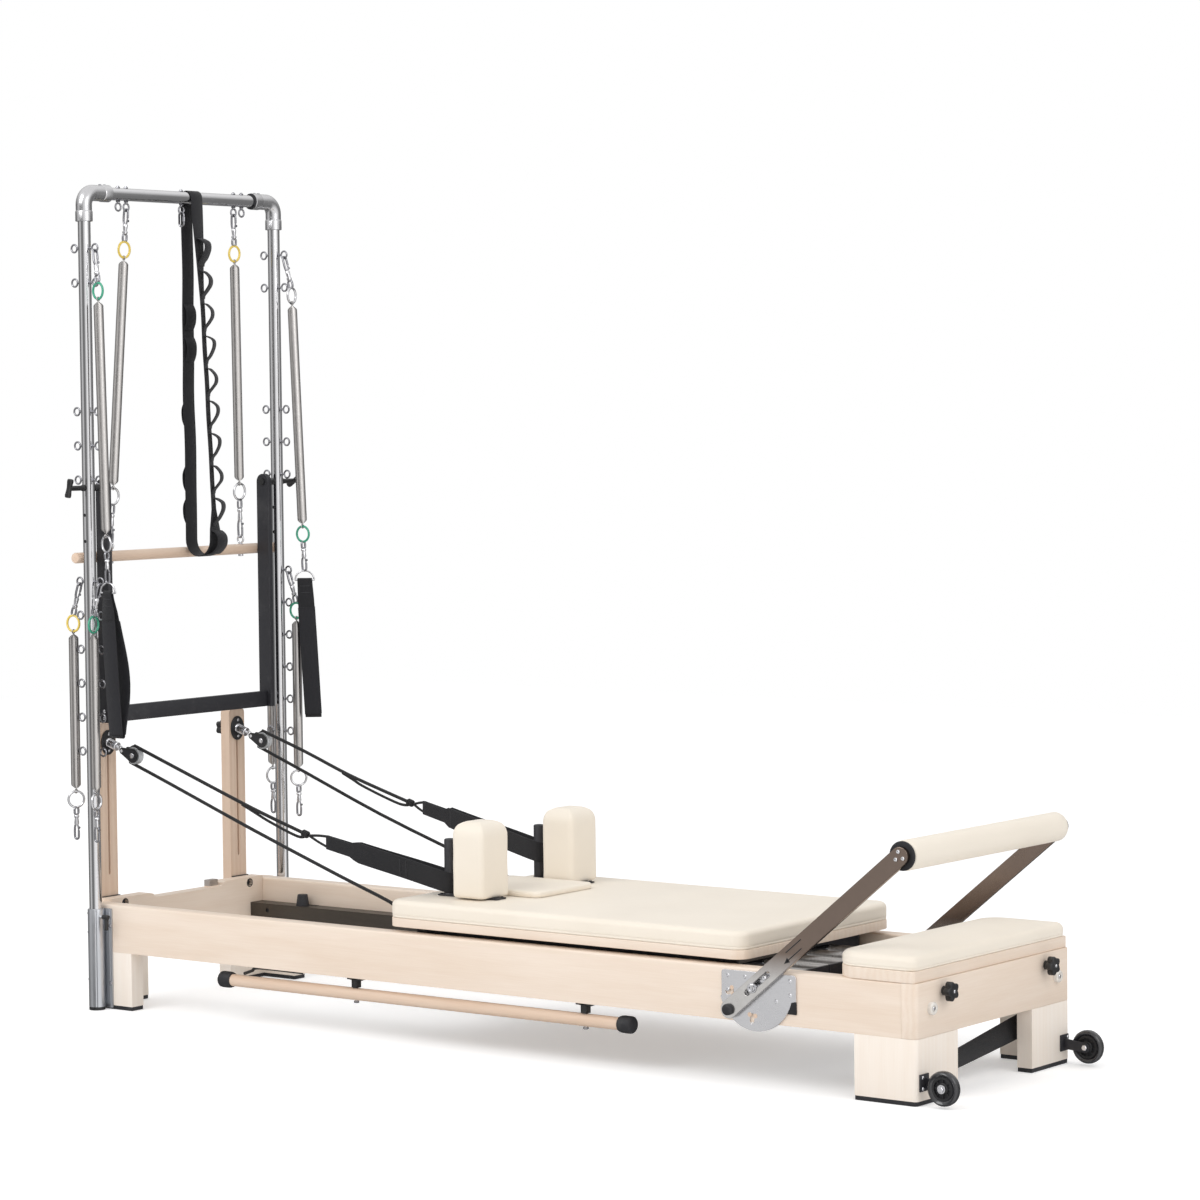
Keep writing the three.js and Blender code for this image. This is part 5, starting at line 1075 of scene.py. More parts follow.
riserFinish = maskedFinish("riserWood", beechZ,
                           {"Base Color": tone(30, 30, 32), "Roughness": 0.7, "Metallic": 0.0}, spacerMask)
boardFinish = maskedFinish("towerBoardWood", mapleY, {"Base Color": tone(186, 178, 172), "Roughness": 0.35,
                                                      "Metallic": 0.9}, stopMask)
carried = {
    "tower_end_board": boardFinish, "riser_post_near": riserFinish, "riser_post_far": riserFinish,
    "track_near": anodised, "track_far": anodised, "carriage_chassis": powder, "spring_bar": powder,
}
for nodeName, finish in carried.items():
    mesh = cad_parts[nodeName].data
    mesh.materials.clear()
    mesh.materials.append(finish)


# Small fittings on the tracks and the tower's board
trim = {"level": 212.2, "bufferX": 125, "bufferAcross": 270, "bushX": -45, "bushAcross": 245, "bushUp": 266,
        "screws": (560, 960, 1360, 1760, 2160), "screwAcross": 288,
        "buffer": [(0, -1), (18.4, -1), (18.4, 1), (17.4, 4), (14.4, 26), (13.4, 30.2), (9, 30.6), (8, 28.6),
                   (4, 28), (0, 28)],
        "bush": [(12, -0.2), (12, 0.5), (9.7, 0.5), (9.7, -9), (0, -9)],
        "bolt": [(0, 0), (7, 0), (7, 3), (5, 4.4), (2.6, 4.6), (2.4, 2.6), (0, 2.6)]}


def frameTrim():
    form = Form()
    for side in (-1, 1):
        bush = at(trim["bushX"], side * trim["bushAcross"], trim["bushUp"])
        lathe(form, trim["buffer"], at(trim["bufferX"], side * trim["bufferAcross"], trim["level"]), axisZ,
              rubber, 36)
        lathe(form, trim["bush"], bush, axisX, plastic, 32)
        lathe(form, trim["bolt"], bush - axisX * 10, axisX, powder, 24)
        sideBlock(form, side, (146, 281, 211.9), (163, 295, 212.7), plastic, 0.2)
        for x in trim["screws"]:
            screw(form, at(x, side * trim["screwAcross"], trim["level"] - 0.1), axisZ, 4.2, powder)
        # a thin black square on each track's web over its hole near the tower end: painted shade that makes the
        # hole read dark
        sideBlock(form, side, (7, 250.3, 185), (25, 251.8, 203), rubber, 0.2)
        y = side * clampSetup["across"]
        block(form, (-91.4, y - 31, 281.1), (-84.4, y + 31, 282.9), plastic, 0.3)
    toPiece("trackBuffers", form, "frame")


frameTrim()
print("small trim added")


# Tower: sockets, uprights, top bar
tower = {"across": 368, "radius": 16.5, "wall": 2, "top": 2131, "foot": 22, "head": 2099,
         "plugs": (1227, 1295)}
eyes = {"ring": 10, "wire": 2.5, "reach": 37, "stem": 3, "deep": 11.4}
eyeLevels = [677 + 89 * i for i in range(6)] + [1386 + 89 * i for i in range(3)] + [1898, 1987]
socketLook = {"radius": 21.5, "bore": 16.9, "groove": 1.6, "low": 8, "high": 265, "plate": 342.4,
              "plateThick": 4, "screwLevels": (68, 220), "boltLevels": (252, 202, 78), "lever": 246}


def towerSocket(sideName):
    side = sideOf(sideName)
    form = Form()
    y, high, inner = side * tower["across"], socketLook["high"], socketLook["plate"]
    loop = []
    for i, (a, b) in enumerate(circle(1, 72)):
        reach = socketLook["radius"] - (socketLook["groove"] if i % 18 in (8, 9) else 0)
        loop.append((towerX + reach * a, y + reach * b))
    bore = arcPoints(towerX, y, socketLook["bore"], 0, 360, 40)[:-1]
    cutPlate(form, [loop, bore], high - socketLook["low"], planeXY((high + socketLook["low"]) / 2),
             aluminium, 0.6, 1)
    disc(form, 21.2, 8, 0.8, at(towerX, y, 0), axisZ, plastic, 40)
    sideBlock(form, side, (-68, inner, 4), (2, inner + socketLook["plateThick"], high), aluminium, 0.9)
    for x in (-63, -9):
        sideBlock(form, side, (x, inner + 3.6, 4), (x + 6, inner + 6, high), aluminium, 0.8)
    sideBlock(form, side, (towerX - 7, inner + 3, 4), (towerX + 7, tower["across"], high), aluminium, 0.6)
    for z in socketLook["screwLevels"]:
        for x in (-50.5, -3.5):
            screw(form, at(x, side * (inner + 4.4), z), axisY * side, 5.4, zinc)
    for z in socketLook["boltLevels"]:
        turned(form, [(0, -1), (5.4, -1), (5.4, 2), (4.2, 2), (4.2, 6.4), (0, 6.4)], 0.5,
               at(towerX - 21.4, y, z), -axisX, zinc, 24)
    # clamp lever
    leverAt = at(towerX + 20, y + side * 5.5, socketLook["lever"])
    rod(form, leverAt, leverAt + at(16, 0, 0), 4, chrome, 20)
    rod(form, leverAt + at(10, 0, 0), leverAt + at(31, 0, 0), 6, plastic, 24)
    handle = [leverAt + at(24, 0, 2), leverAt + at(25, side * 0.5, -10), leverAt + at(25, side * 1.5, -22),
              leverAt + at(24, side * 2, -34)]
    carry(form, smoothPath(handle, 6), [(a * 1.1, b * 0.8) for a, b in circle(5, 16)], plastic)
    toPiece(sideName + "Socket", form, "frame", ["tower_socket_" + sideName])


def eyeBolt(form, centre, outward, wide, reachIn):
    ring(form, centre, outward.cross(wide).normalized(), eyes["ring"], eyes["wire"], zinc)
    base = centre - outward * (eyes["ring"] + reachIn)
    rod(form, base, centre - outward * (eyes["ring"] - 1), eyes["stem"], zinc, 16)
    disc(form, 5.4, 3, 0.7, base + outward * (reachIn - 9.9), outward, zinc, 6)


def upright(sideName):
    form = Form()
    y = sideOf(sideName) * tower["across"]
    inner, outer, low, high = tower["radius"] - tower["wall"], tower["radius"], tower["foot"], tower["head"]
    lathe(form, [(inner, low), (outer, low), (outer, high), (inner, high), (inner, low)], at(towerX, y, 0),
          axisZ, stainless, 48)
    for z in eyeLevels:
        for way in (-1, 1):
            eyeBolt(form, at(towerX + way * eyes["reach"], y, z), axisX * way, axisZ, eyes["deep"])
    for z in tower["plugs"]:
        for way in (-1, 1):
            lathe(form, [(0, 0.52), (3.5, 0.55), (4.0, 0.9), (4.5, 0.3)],
                  at(towerX, y + way * (outer - 0.5), z), axisY * way, plastic, 20)
    toPiece(sideName + "Upright", form, "frame", ["upright_" + sideName])


elbows = {"radius": 22.5, "collar": 2056, "inner": 278, "bend": 32, "steps": 10, "screws": (13, 29.8)}
barEyes = {"across": (-241, -211, 0, 206, 238), "drop": 33}


def topBar():
    form = Form()
    top, bend, inner, collar = tower["top"], elbows["bend"], elbows["inner"], elbows["collar"]
    rod(form, at(towerX, -inner - 4, top), at(towerX, inner + 4, top), tower["radius"], stainless, 48)
    for side in (-1, 1):
        y = side * tower["across"]
        path = [at(towerX, y, collar + 0.5), at(towerX, y, collar + 20), at(towerX, y, top - bend - 6)]
        path += [at(towerX, side * (tower["across"] - bend + a), top - bend + b)
                 for a, b in arcPoints(0, 0, bend, 0, 90, elbows["steps"])]
        path += [at(towerX, side * (inner + 40), top), at(towerX, side * (inner + 0.5), top)]
        carry(form, path, circle(elbows["radius"] - 1.4, 40), elbowSteel)
        for place, direction in ((at(towerX, y, collar), axisZ),
                                 (at(towerX, side * inner, top), axisY * side)):
            turned(form, [(17, 0), (22.5, 0), (22.5, 26), (20.4, 29)], 1.2, place, direction, elbowSteel, 48)
        for along in elbows["screws"]:
            screw(form, at(towerX, side * (inner + along), top + 21.6), axisZ, 3.6, zinc)
    turned(form, [(16.4, 0), (21.8, 0), (21.8, 3.2), (16.4, 3.2)], 0.6, at(towerX, inner - 3.6, top), axisY,
           rubber, 48)
    for y in barEyes["across"]:
        bar = at(towerX, y, top)
        centre = bar - axisZ * barEyes["drop"]
        ring(form, centre, axisX, eyes["ring"], eyes["wire"], zinc)
        rod(form, centre + axisZ * (eyes["ring"] - 1), bar - axisZ * (tower["radius"] - 2), eyes["stem"],
            zinc, 16)
        disc(form, 6, 4.4, 0.8, bar - axisZ * (tower["radius"] + 4), axisZ, zinc, 6)
        turned(form, [(0, 0), (6, 0), (6, 3.4), (3.6, 4), (3.4, 6.4), (0, 6.8)], 0.5,
               bar + axisZ * (tower["radius"] - 0.8), axisZ, zinc, 6)
    clipTop = at(towerX, 0, top - barEyes["drop"] - eyes["ring"] + 4.6)
    oval(form, clipTop, clipTop - at(0, 0, 38), axisX, 8, 2.6, zinc)
    disc(form, 4.4, 14, 1, clipTop + at(8, 0, -26), axisZ, zinc, 20)
    toPiece("topBar", form, "frame", ["top_bar"])


for sideName in sideNames:
    towerSocket(sideName)
    upright(sideName)
topBar()
print("tower raised")


# Push-through bar and its knobs
pushLook = {"inner": 306, "thick": 16, "wide": 42, "pivot": 1366, "top": 1388, "low": 749, "high": 791,
            "screws": (12, 30), "plugs": (1290, 1210), "grip": 439, "gripHalf": 24,
            "gripLean": {"near": 14, "far": 62},
            "gripShape": [(0, 0), (7.6, 0.4), (8.6, 5), (7.4, 16), (6.8, 24), (7.4, 32), (8.6, 43),
                          (7.6, 47.6), (0, 48)]}


def pushThroughBar():
    form = Form()
    half, low, inner = pushLook["wide"] / 2, pushLook["low"], pushLook["inner"]
    outer = inner + pushLook["thick"]
    loop = [(towerX - half, low), (towerX + half, low)]
    loop += arcPoints(towerX, pushLook["top"] - half, half, 0, 180, 24)
    hole = arcPoints(towerX, pushLook["pivot"], 5, 0, 360, 20)[:-1]
    for side in (-1, 1):
        cutPlate(form, [loop, hole], pushLook["thick"], planeXZ(side * (inner + outer) / 2), powder, 1.6, 3)
        for rise in pushLook["screws"]:
            screw(form, at(towerX, side * (outer + 0.4), low + rise), axisY * side, 5, chrome)
        for z in pushLook["plugs"]:
            lathe(form, [(0, 0.35), (4, 0.36), (4.6, 0.7), (5, 0.2)], at(towerX, side * (outer - 0.3), z),
                  axisY * side, plastic, 20)
    block(form, (towerX - 8, -inner - 0.2, low), (towerX + 8, inner + 0.2, pushLook["high"]), powder, 1.6)
    toPiece("pushThroughBar", form, "push_bar", ["push_bar"])


def pushKnob(sideName):
    form = Form()
    outward = axisY * sideOf(sideName)
    axle = at(towerX, 0, pushLook["pivot"])
    rod(form, axle + outward * 305, axle + outward * 440, 4.5, chrome, 20)
    for across, soften, profile in (
            (322.3, 1, [(4.4, 0), (9, 0), (9, 29), (4.4, 29)]),
            (301.2, 0.8, [(0, 0), (9, 0), (9, 4.5), (4.4, 4.5)]),
            (385, 1, [(4.4, 0), (8.6, 0), (8.6, 6), (6.8, 8), (6.6, 52), (4.4, 52)])):
        turned(form, profile, soften, axle + outward * across, outward, plastic, 32)
    lean = math.radians(pushLook["gripLean"][sideName])
    along = at(math.sin(lean), 0, math.cos(lean))
    middle = axle + outward * pushLook["grip"]
    low, high = [middle + along * (way * pushLook["gripHalf"]) for way in (-1, 1)]
    lathe(form, pushLook["gripShape"], low, along, plastic, 28)
    for end, way in ((low, -along), (high, along)):
        lathe(form, [(0, -3), (7.8, -3), (8, -1.4), (7.2, 0), (0, 0.2)], end, way, plastic, 28)
    toPiece(sideName + "PushBarKnob", form, "frame", ["push_bar_knob_" + sideName])


pushThroughBar()
for sideName in sideNames:
    pushKnob(sideName)


# Star knobs, on the risers and on the foot end
starLook = {"radius": 23, "waist": 16.5, "lobes": 5, "thick": 17, "hub": 11, "hubLong": 12}
platformKnobs = {"x": 2470.3, "across": 228, "up": 247}


def starKnob(form, back, direction, studRadius, studLong, finish):
    first, second = acrossOf(direction)
    axis = direction.normalized()
    loop = []
    for a, b in circle(1, starLook["lobes"] * 14):
        wave = (1 + math.cos(math.atan2(b, a) * starLook["lobes"])) / 2
        reach = starLook["waist"] + (starLook["radius"] - starLook["waist"]) * wave ** 0.7
        loop.append((reach * a, reach * b))
    middle = back + axis * (starLook["hubLong"] + starLook["thick"] / 2)
    turn = Matrix((first, second, axis)).transposed().to_4x4()
    cutPlate(form, [loop], starLook["thick"], Matrix.Translation(middle) @ turn, finish, 2.4, 3)
    deep = starLook["hubLong"] + 2
    lathe(form, [(0, 0), (9.4, 0), (starLook["hub"], 1.5), (10, 8), (11.5, deep), (0, deep)], back,
          direction, finish, 32)
    face = back + axis * (starLook["hubLong"] + starLook["thick"])
    lathe(form, [(9, -0.4), (8.4, 0.5), (7, 0.1), (0, 0.1)], face, direction, finish, 32)
    screw(form, face + axis * 0.2, direction, 4.2, chrome)
    rod(form, back - axis * studLong, back + axis, studRadius, chrome, 18)


for sideName in sideNames:
    form = Form()
    place = at(platformKnobs["x"], sideOf(sideName) * platformKnobs["across"], platformKnobs["up"])
    starKnob(form, place, axisX, 5, 19.5, plastic)
    knob = "platform_knob_" + sideName
    toPiece(sideName + "PlatformKnob", form, knob, [knob])


# Pulley clamps on the risers, their sprung swivels, blocks and sheaves
clampLook = {"face": -91.7, "thick": 4, "half": 26, "tall": 33, "screws": 22, "knob": -122.3, "link": 6.5,
             "linkAt": 44, "pin": 62}
sheaveShape = [(4.4, -8), (8, -8), (9, -6.6), (20, -6.6), (22.6, -8), (23, -7.2), (22.6, -6.4), (20.6, -4.6),
               (18.8, -2.2), (18.2, 0), (18.8, 2.2), (20.6, 4.6), (22.6, 6.4), (23, 7.2), (22.6, 8),
               (20, 6.6), (9, 6.6), (8, 8), (4.4, 8), (4.4, -8)]


def riserClamp(sideName):
    side = sideOf(sideName)
    form = Form()
    y, up, face = side * clampSetup["across"], clampSetup["up"], clampLook["face"]
    loop = [(y + clampLook["half"] * a, up + clampLook["tall"] * b) for a, b in circle(1, 48)]
    cutPlate(form, [loop], clampLook["thick"], planeYZ(face + clampLook["thick"] / 2), plastic, 1.2, 2)
    for rise in (-clampLook["screws"], clampLook["screws"]):
        screw(form, at(face + 4.4, y, up + rise), axisX, 4, chrome)
    starKnob(form, at(clampLook["knob"], y, up), -axisX, 3, 33, plastic)
    along = (clampPlace(side, 10) - clampPlace(side, 0)).normalized()
    turned(form, [(0, -3), (12.4, -3), (12.4, 2.4), (9, 4), (0, 4)], 0.8, clampPlace(side, 0), along, chrome,
           32)
    coil(form, clampPlace(side, 1), clampPlace(side, 31), 12, 1.6, 5, 0, 10.4, chrome, 20, 8)
    disc(form, 12, 3.6, 0.8, clampPlace(side, 30), along, chrome, 32)
    rod(form, clampPlace(side, -2), clampPlace(side, 38), 3, chrome, 20)
    rod(form, clampPlace(side, 3), clampPlace(side, 29), 9, plastic, 28)
    ring(form, clampPlace(side, clampLook["linkAt"]), axisY, clampLook["link"], 2, chrome)
    toPiece(sideName + "RiserClamp", form, "riser_clamp_" + sideName, ["riser_clamp_" + sideName])


def pulleyBlock(sideName):
    side = sideOf(sideName)
    form = Form()
    centre, pin = clampPlace(side, clampSetup["reach"]), clampPlace(side, clampLook["pin"])
    along = (centre - pin).normalized()
    lean = math.degrees(math.atan2(along.z, along.x))
    loop = arcPoints(centre.x, centre.z, 19, lean - 90, lean + 90, 20)
    loop += arcPoints(pin.x, pin.z, 9, lean + 90, lean + 270, 14)
    inner = [((x - centre.x) * 0.66 + centre.x, (z - centre.z) * 0.66 + centre.z) for x, z in loop]
    for way in (-1, 1):
        outward = axisY * way
        cutPlate(form, [loop], 3, planeXZ(centre.y + way * 11.1), plastic, 0.8, 2)
        cutPlate(form, [inner], 1.2, planeXZ(centre.y + way * 12.8), powder, 0.4, 1)
        turned(form, [(0, 0), (7, 0), (7, 1.6), (4, 2.6), (0, 2.6)], 0.4, centre + outward * 12.6, outward,
               chrome, 28)
        turned(form, [(0, 0), (4.4, 0), (4.4, 1.6), (0, 1.9)], 0.4, pin + outward * 12.6, outward, chrome, 20)
    rod(form, centre - axisY * 15, centre + axisY * 15, 3.9, chrome, 20)
    rod(form, pin - axisY * 12, pin + axisY * 12, 3.9, chrome, 20)
    link = clampPlace(side, clampLook["linkAt"] + 2 * clampLook["link"] - 4)
    ring(form, link, axisZ.lerp(along, 0.1), clampLook["link"], 2, chrome)
    toPiece(sideName + "PulleyBlock", form, "riser_clamp_" + sideName, ["pulley_block_" + sideName])
    wheelForm = Form()
    lathe(wheelForm, sheaveShape, centre, axisY, sheaveGrey, 48)
    for a, b in circle(14.5, 5):
        for outward in (-axisY, axisY):
            lathe(wheelForm, [(0, 0), (2.6, 0), (2.6, 0.4), (0, 0.4)], centre + at(a, 0, b) + outward * 6.8,
                  outward, plastic, 16)
    toPiece(sideName + "Sheave", wheelForm, "sheave_" + sideName, ["sheave_" + sideName])


for sideName in sideNames:
    riserClamp(sideName)
    pulleyBlock(sideName)
print("knobs, clamps and pulleys made")


# Hanging springs: snap hook, dipped ring, close coil, and a second hook
springLook = {"radius": 13.2, "wire": 1.42, "pitch": 2.75, "cone": 12, "flat": 0.08, "ring": 12.5,
              "ringWire": 2.3, "seenRing": 21, "seenWire": 3.1, "loop": 4.9}


def snapHook(form, holdAt, ringAt, wide):
    # the bow goes through the eye at holdAt and the swivel ends at ringAt
    away = ringAt - holdAt
    long = away.length
    along = away.normalized()
    side = (wide - along * wide.dot(along)).normalized()

    def spot(share, sideways):
        return holdAt + along * (long * share) + side * sideways

    bend = 7
    bow = [spot(0.54, 0), spot(0.48, -2.4), spot(0.39, -6.2), spot(0.26, -7.3), spot(0.13, -bend)]
    bow += [holdAt + along * (bend - b) - side * a for a, b in arcPoints(0, 0, bend, 0, 180, 8)[1:-1]]
    bow += [spot(0.13, bend), spot(0.21, 7.2), spot(0.27, 7)]
    carry(form, smoothPath(bow, 3), circle(3, 10), zinc)
    carry(form, smoothPath([spot(0.25, 7), spot(0.37, 5.6), spot(0.5, 2.2)], 4), circle(2.1, 8), zinc)
    reach = long * 0.34
    lathe(form, [(0, 0), (4.6, 0.5), (6.4, 4), (5.8, reach * 0.4), (4.6, reach * 0.66), (6.8, reach * 0.72),
                 (6.8, reach * 0.88), (4.4, reach * 0.97), (0, reach)], spot(0.44, 0), along, chrome, 24)
    oval(form, spot(0.76, 0), ringAt, side.cross(along), 7, 3, zinc)
    lathe(form, [(0, -1), (2.2, -1), (2.4, 2.4), (3.4, 3.2), (3.2, 4.6), (0, 5)], spot(0.36, 5.8), side,
          zinc, 14)


def springCoil(form, top, bottom):
    away = (bottom - top).normalized()
    coil(form, top - away * 1, bottom + away * 1, springLook["radius"], springLook["wire"],
         springLook["pitch"], springLook["cone"], 1.6, springSteel, 12, flat=springLook["flat"])


def springRing(form, end, way, across, radius, wire, finish, twist=0):
    # the spring's drawn-out end, its loop, and the ring that hangs through it; gives the ring's far side
    loop = springLook["loop"]
    wireAt = springNeck - springLook["seenRing"]
    carry(form, [end, end + way * ((wireAt - loop) / 2), end + way * (wireAt - loop)], circle(1.5, 8),
          springSteel)
    ring(form, end + way * wireAt, across, loop, 1.5, springSteel, 18, 8)
    normal = Matrix.Rotation(math.radians(twist), 3, "Z") @ way.cross(across)
    ring(form, end + way * (wireAt + radius), normal, radius, wire, finish, 32)
    return end + way * (wireAt + 2 * radius)


def hangingSpring(form, eyeAt, top, bottom, tailAt, ringFinish, across, twists, lowerFinish=None):
    away = (bottom - top).normalized()
    ringAcross = axisX if across == axisY else axisY
    radius, wire = springLook["seenRing"], springLook["seenWire"]
    ringTop = springRing(form, top, -away, ringAcross, radius, wire, ringFinish, twists[0])
    snapHook(form, eyeAt + at(0, 0, -5.3), ringTop, across)
    springCoil(form, top, bottom)
    ringLow = springRing(form, bottom, away, ringAcross, radius, wire, lowerFinish or chrome, twists[1])
    snapHook(form, tailAt, ringLow, ringAcross)


springNeck = springLook["cone"] * 1.6 + springLook["ring"] - springLook["ringWire"]
legSprings = {"eye": 1122, "drop": 111, "long": 403, "tail": 134}
# each leg spring: side, way from the upright, place along and across, colour of its upper ring, turns of its rings
legPlaces = {
    "near_back": (-1, -1, -64, 368, yellow, (2, 60)), "near_front": (-1, 1, 27, 386, green, (98, 98)),
    "far_back": (1, -1, -47, 386, chrome, (0, 80)), "far_front": (1, 1, 64, 368, green, (2, 40)),
}


def legSpring(name, side, way, beyond, across, ringFinish, twists):
    form = Form()
    eyeAt = at(towerX + way * eyes["reach"], side * tower["across"], legSprings["eye"])
    top = at(towerX + beyond, side * across, legSprings["eye"] - legSprings["drop"] - springNeck)
    bottom = top - at(0, 0, legSprings["long"])
    hangingSpring(form, eyeAt, top, bottom, bottom - at(0, 0, legSprings["tail"]), ringFinish, axisY, twists)
    sideName, place = name.split("_")
    solid = "leg_spring_" + name
    toPiece(sideName + place.capitalize() + "Spring", form, solid, [solid], 50)


for name, place in legPlaces.items():
    legSpring(name, *place)

armSprings = {
    "near": {"offset": 26, "lean": 14, "across": 386, "ring": green, "lower": None, "twists": (-10, -14)},
    "far": {"offset": 26, "lean": 26, "across": 368, "ring": chrome, "lower": green, "twists": (100, 2)},
}
armShape = {"eye": 1987, "drop": 112, "long": 595, "tail": 130, "dHalf": 26}
handLook = {"long": 372, "lean": 19, "wide": 44, "thick": 3, "clear": 2.9, "run": 22, "stitches": (16, 34)}
handShapes = {
    "near": {"turn": 0, "front": 1.5, "back": 30, "belly": 0.60, "gather": 0.62},
    "far": {"turn": 37, "front": 2.5, "back": 3.5, "belly": 0.5, "gather": 0.92},
}


def handStrap(form, ringBottom, sideName):
    shape = handShapes[sideName]
    turn = math.radians(shape["turn"])
    wide = at(math.cos(turn), math.sin(turn), 0)
    normal = at(math.sin(turn), -math.cos(turn), 0)
    slope = handLook["lean"] / handLook["long"]
    down = at(slope * 0.8, slope * 0.6, -1)
    reach = handLook["clear"] + handLook["thick"] / 2

    def layer(share, way):
        # the front layer hangs straight, and the back one bows out lower down
        swell = shape["front"] if way > 0 else shape["back"]
        eased = share ** (math.log(0.5) / math.log(shape["belly"]))
        bulge = swell * math.sin(math.pi * eased) ** 1.3
        return ringBottom + down * (handLook["long"] * share) + normal * (way * (reach + bulge))

    def gathered(share):
        settled = min(1, share / 0.16)
        return shape["gather"] + (1 - shape["gather"]) * settled * settled * (3 - 2 * settled)

    run = handLook["run"]
    low = ringBottom + down * handLook["long"]
    upperTurn, lowerTurn = [[middle + normal * a + axisZ * b
                             for a, b in arcPoints(0, 0, reach, start, start + 180, 8)]
                            for middle, start in ((ringBottom, 0), (low, 180))]
    shares = [i / run for i in range(1, run)]
    path = (upperTurn + [layer(share, -1) for share in shares] + lowerTurn
            + [layer(1 - share, 1) for share in shares])
    widths = ([shape["gather"]] * 9 + [gathered(share) for share in shares] + [1] * 9
              + [gathered(1 - share) for share in shares])
    half = handLook["wide"] / 2
    carry(form, path, tapeOutline(handLook["wide"], handLook["thick"]), tape, closed=True, upright=wide,
          widths=widths)
    # padded sleeve round the lower two thirds of each run
    sleeves = Form()
    for way in (-1, 1):
        sleeve = [layer(0.2 + 0.79 * i / 16, way) + normal * (way * 1.0) for i in range(17)]
        pad = half + 0.9
        soft = [(-2.6, -pad + 2), (-1.4, -pad), (1.4, -pad), (2.6, -pad + 2), (3.0, 0), (2.6, pad - 2),
                (1.4, pad), (-1.4, pad), (-2.6, pad - 2), (-3.0, 0)]
        carry(sleeves, sleeve, soft, padded, upright=wide)
    # crossed bar of stitches under the ring
    for drop in handLook["stitches"]:
        for way in (-1, 1):
            spot = ringBottom + down * drop + normal * way * (reach + 2.1)
            rod(form, spot - wide * 13, spot + wide * 13, 0.6, thread, 6, 0.2)
    cover = toPiece(sideName + "HandSleeve", sleeves, "arm_spring_" + sideName, sharp=50)


def armSpring(sideName):
    side = sideOf(sideName)
    look = armSprings[sideName]
    form = Form()
    eyeAt = at(towerX + eyes["reach"], side * tower["across"], armShape["eye"])
    ringAt = at(eyeAt.x + look["offset"], side * look["across"], armShape["eye"] - armShape["drop"])
    down = at(look["lean"], 0, -armShape["long"]).normalized()
    top = ringAt + down * springNeck
    bottom = top + down * armShape["long"]
    tailAt = bottom + down * armShape["tail"]
    hangingSpring(form, eyeAt, top, bottom, tailAt, look["ring"], axisY, look["twists"], look["lower"])
    turn = math.radians(handShapes[sideName]["turn"])
    wide = at(math.cos(turn), math.sin(turn), 0)
    half = armShape["dHalf"]
    centre = tailAt - at(0, 0, half)
    loop = [centre + wide * a + axisZ * b for a, b in arcPoints(0, 0, half, 0, 180, 20)]
    loop += [centre - wide * (half * (1 - i / 6)) for i in range(1, 12)]
    carry(form, loop, circle(2.4, 10), chrome, closed=True)
    body = "arm_spring_" + sideName
    toPiece(sideName + "ArmSpring", form, body, ["arm_spring_" + sideName], 50)
    strapForm = Form()
    handStrap(strapForm, centre, sideName)
    piece = toPiece(sideName + "HandStrap", strapForm, body, ["hand_strap_" + sideName], 50)


for sideName in sideNames:
    armSpring(sideName)


# Roll-down bar with its springs
rollLook = {"x": -68.5, "up": 1183, "radius": 14, "half": 388, "eyes": 254, "ringDrop": 111, "hookDrop": 132,
            "lowRing": 22}


def rolldownBar():
    form = Form()
    x, up, radius, half = rollLook["x"], rollLook["up"], rollLook["radius"], rollLook["half"]
    profile = [(0, 0), (radius - 4, 0), (radius - 1.4, 1.2), (radius, 4), (radius, 2 * half - 4),
               (radius - 1.4, 2 * half - 1.2), (radius - 4, 2 * half), (0, 2 * half)]
    lathe(form, profile, at(x, -half, up), axisY, beechY, 40)
    for side in (-1, 1):
        y = side * rollLook["eyes"]
        ring(form, at(x, y, up + radius + 13), axisY, eyes["ring"], eyes["wire"], chrome)
        rod(form, at(x, y, up), at(x, y, up + radius + 4), eyes["stem"], chrome, 16)
        disc(form, 7, 1.8, 0.4, at(x, y, up + radius - 0.8), axisZ, chrome,
              24)
        turned(form, [(0, 0), (7, 0), (7, 5.6), (4, 6), (0, 6)], 0.6, at(x, y, up - radius + 0.6), -axisZ,
              chrome, 24)
    toPiece("rolldownBar", form, "rolldown", ["rolldown_bar"])


def rolldownSpring(sideName, eyeAcross):
    side = sideOf(sideName)
    form = Form()
    eyeAt = at(towerX, eyeAcross, tower["top"] - barEyes["drop"])
    barRing = at(rollLook["x"], side * rollLook["eyes"], rollLook["up"] + rollLook["radius"] + 13)
    fall = barRing - eyeAt
    down = fall.normalized()
    top = eyeAt + down * (rollLook["ringDrop"] + springNeck)
    bottom = barRing - down * (rollLook["hookDrop"] + springNeck)
    ringTop = springRing(form, top, -down, axisY, springLook["seenRing"], springLook["seenWire"], yellow)
    snapHook(form, eyeAt + at(0, 0, -5.3), ringTop, axisX)
    springCoil(form, top, bottom)
    ringLow = springRing(form, bottom, down, axisY, rollLook["lowRing"], 3, chrome)
    snapHook(form, barRing + at(0, 0, 5.3), ringLow, axisX)
    toPiece(sideName + "RolldownSpring", form, "rolldown", ["rolldown_spring_" + sideName],
            50)


rolldownBar()
rolldownSpring("near", -211)
rolldownSpring("far", 206)
print("springs wound")


# Loop strap over the top bar
loopLook = {"across": 40, "wide": 44, "bottom": 1172, "thick": 3, "bend": 42, "loops": 10, "first": 1206,
            "belowTop": 143, "bow": 24, "turn": 30, "backBow": 10, "run": 34, "handThick": 2.4,
            "shown": {1: -1, 2: -1, 4: -1, 6: 1, 7: 1}, "tape": 3.3}


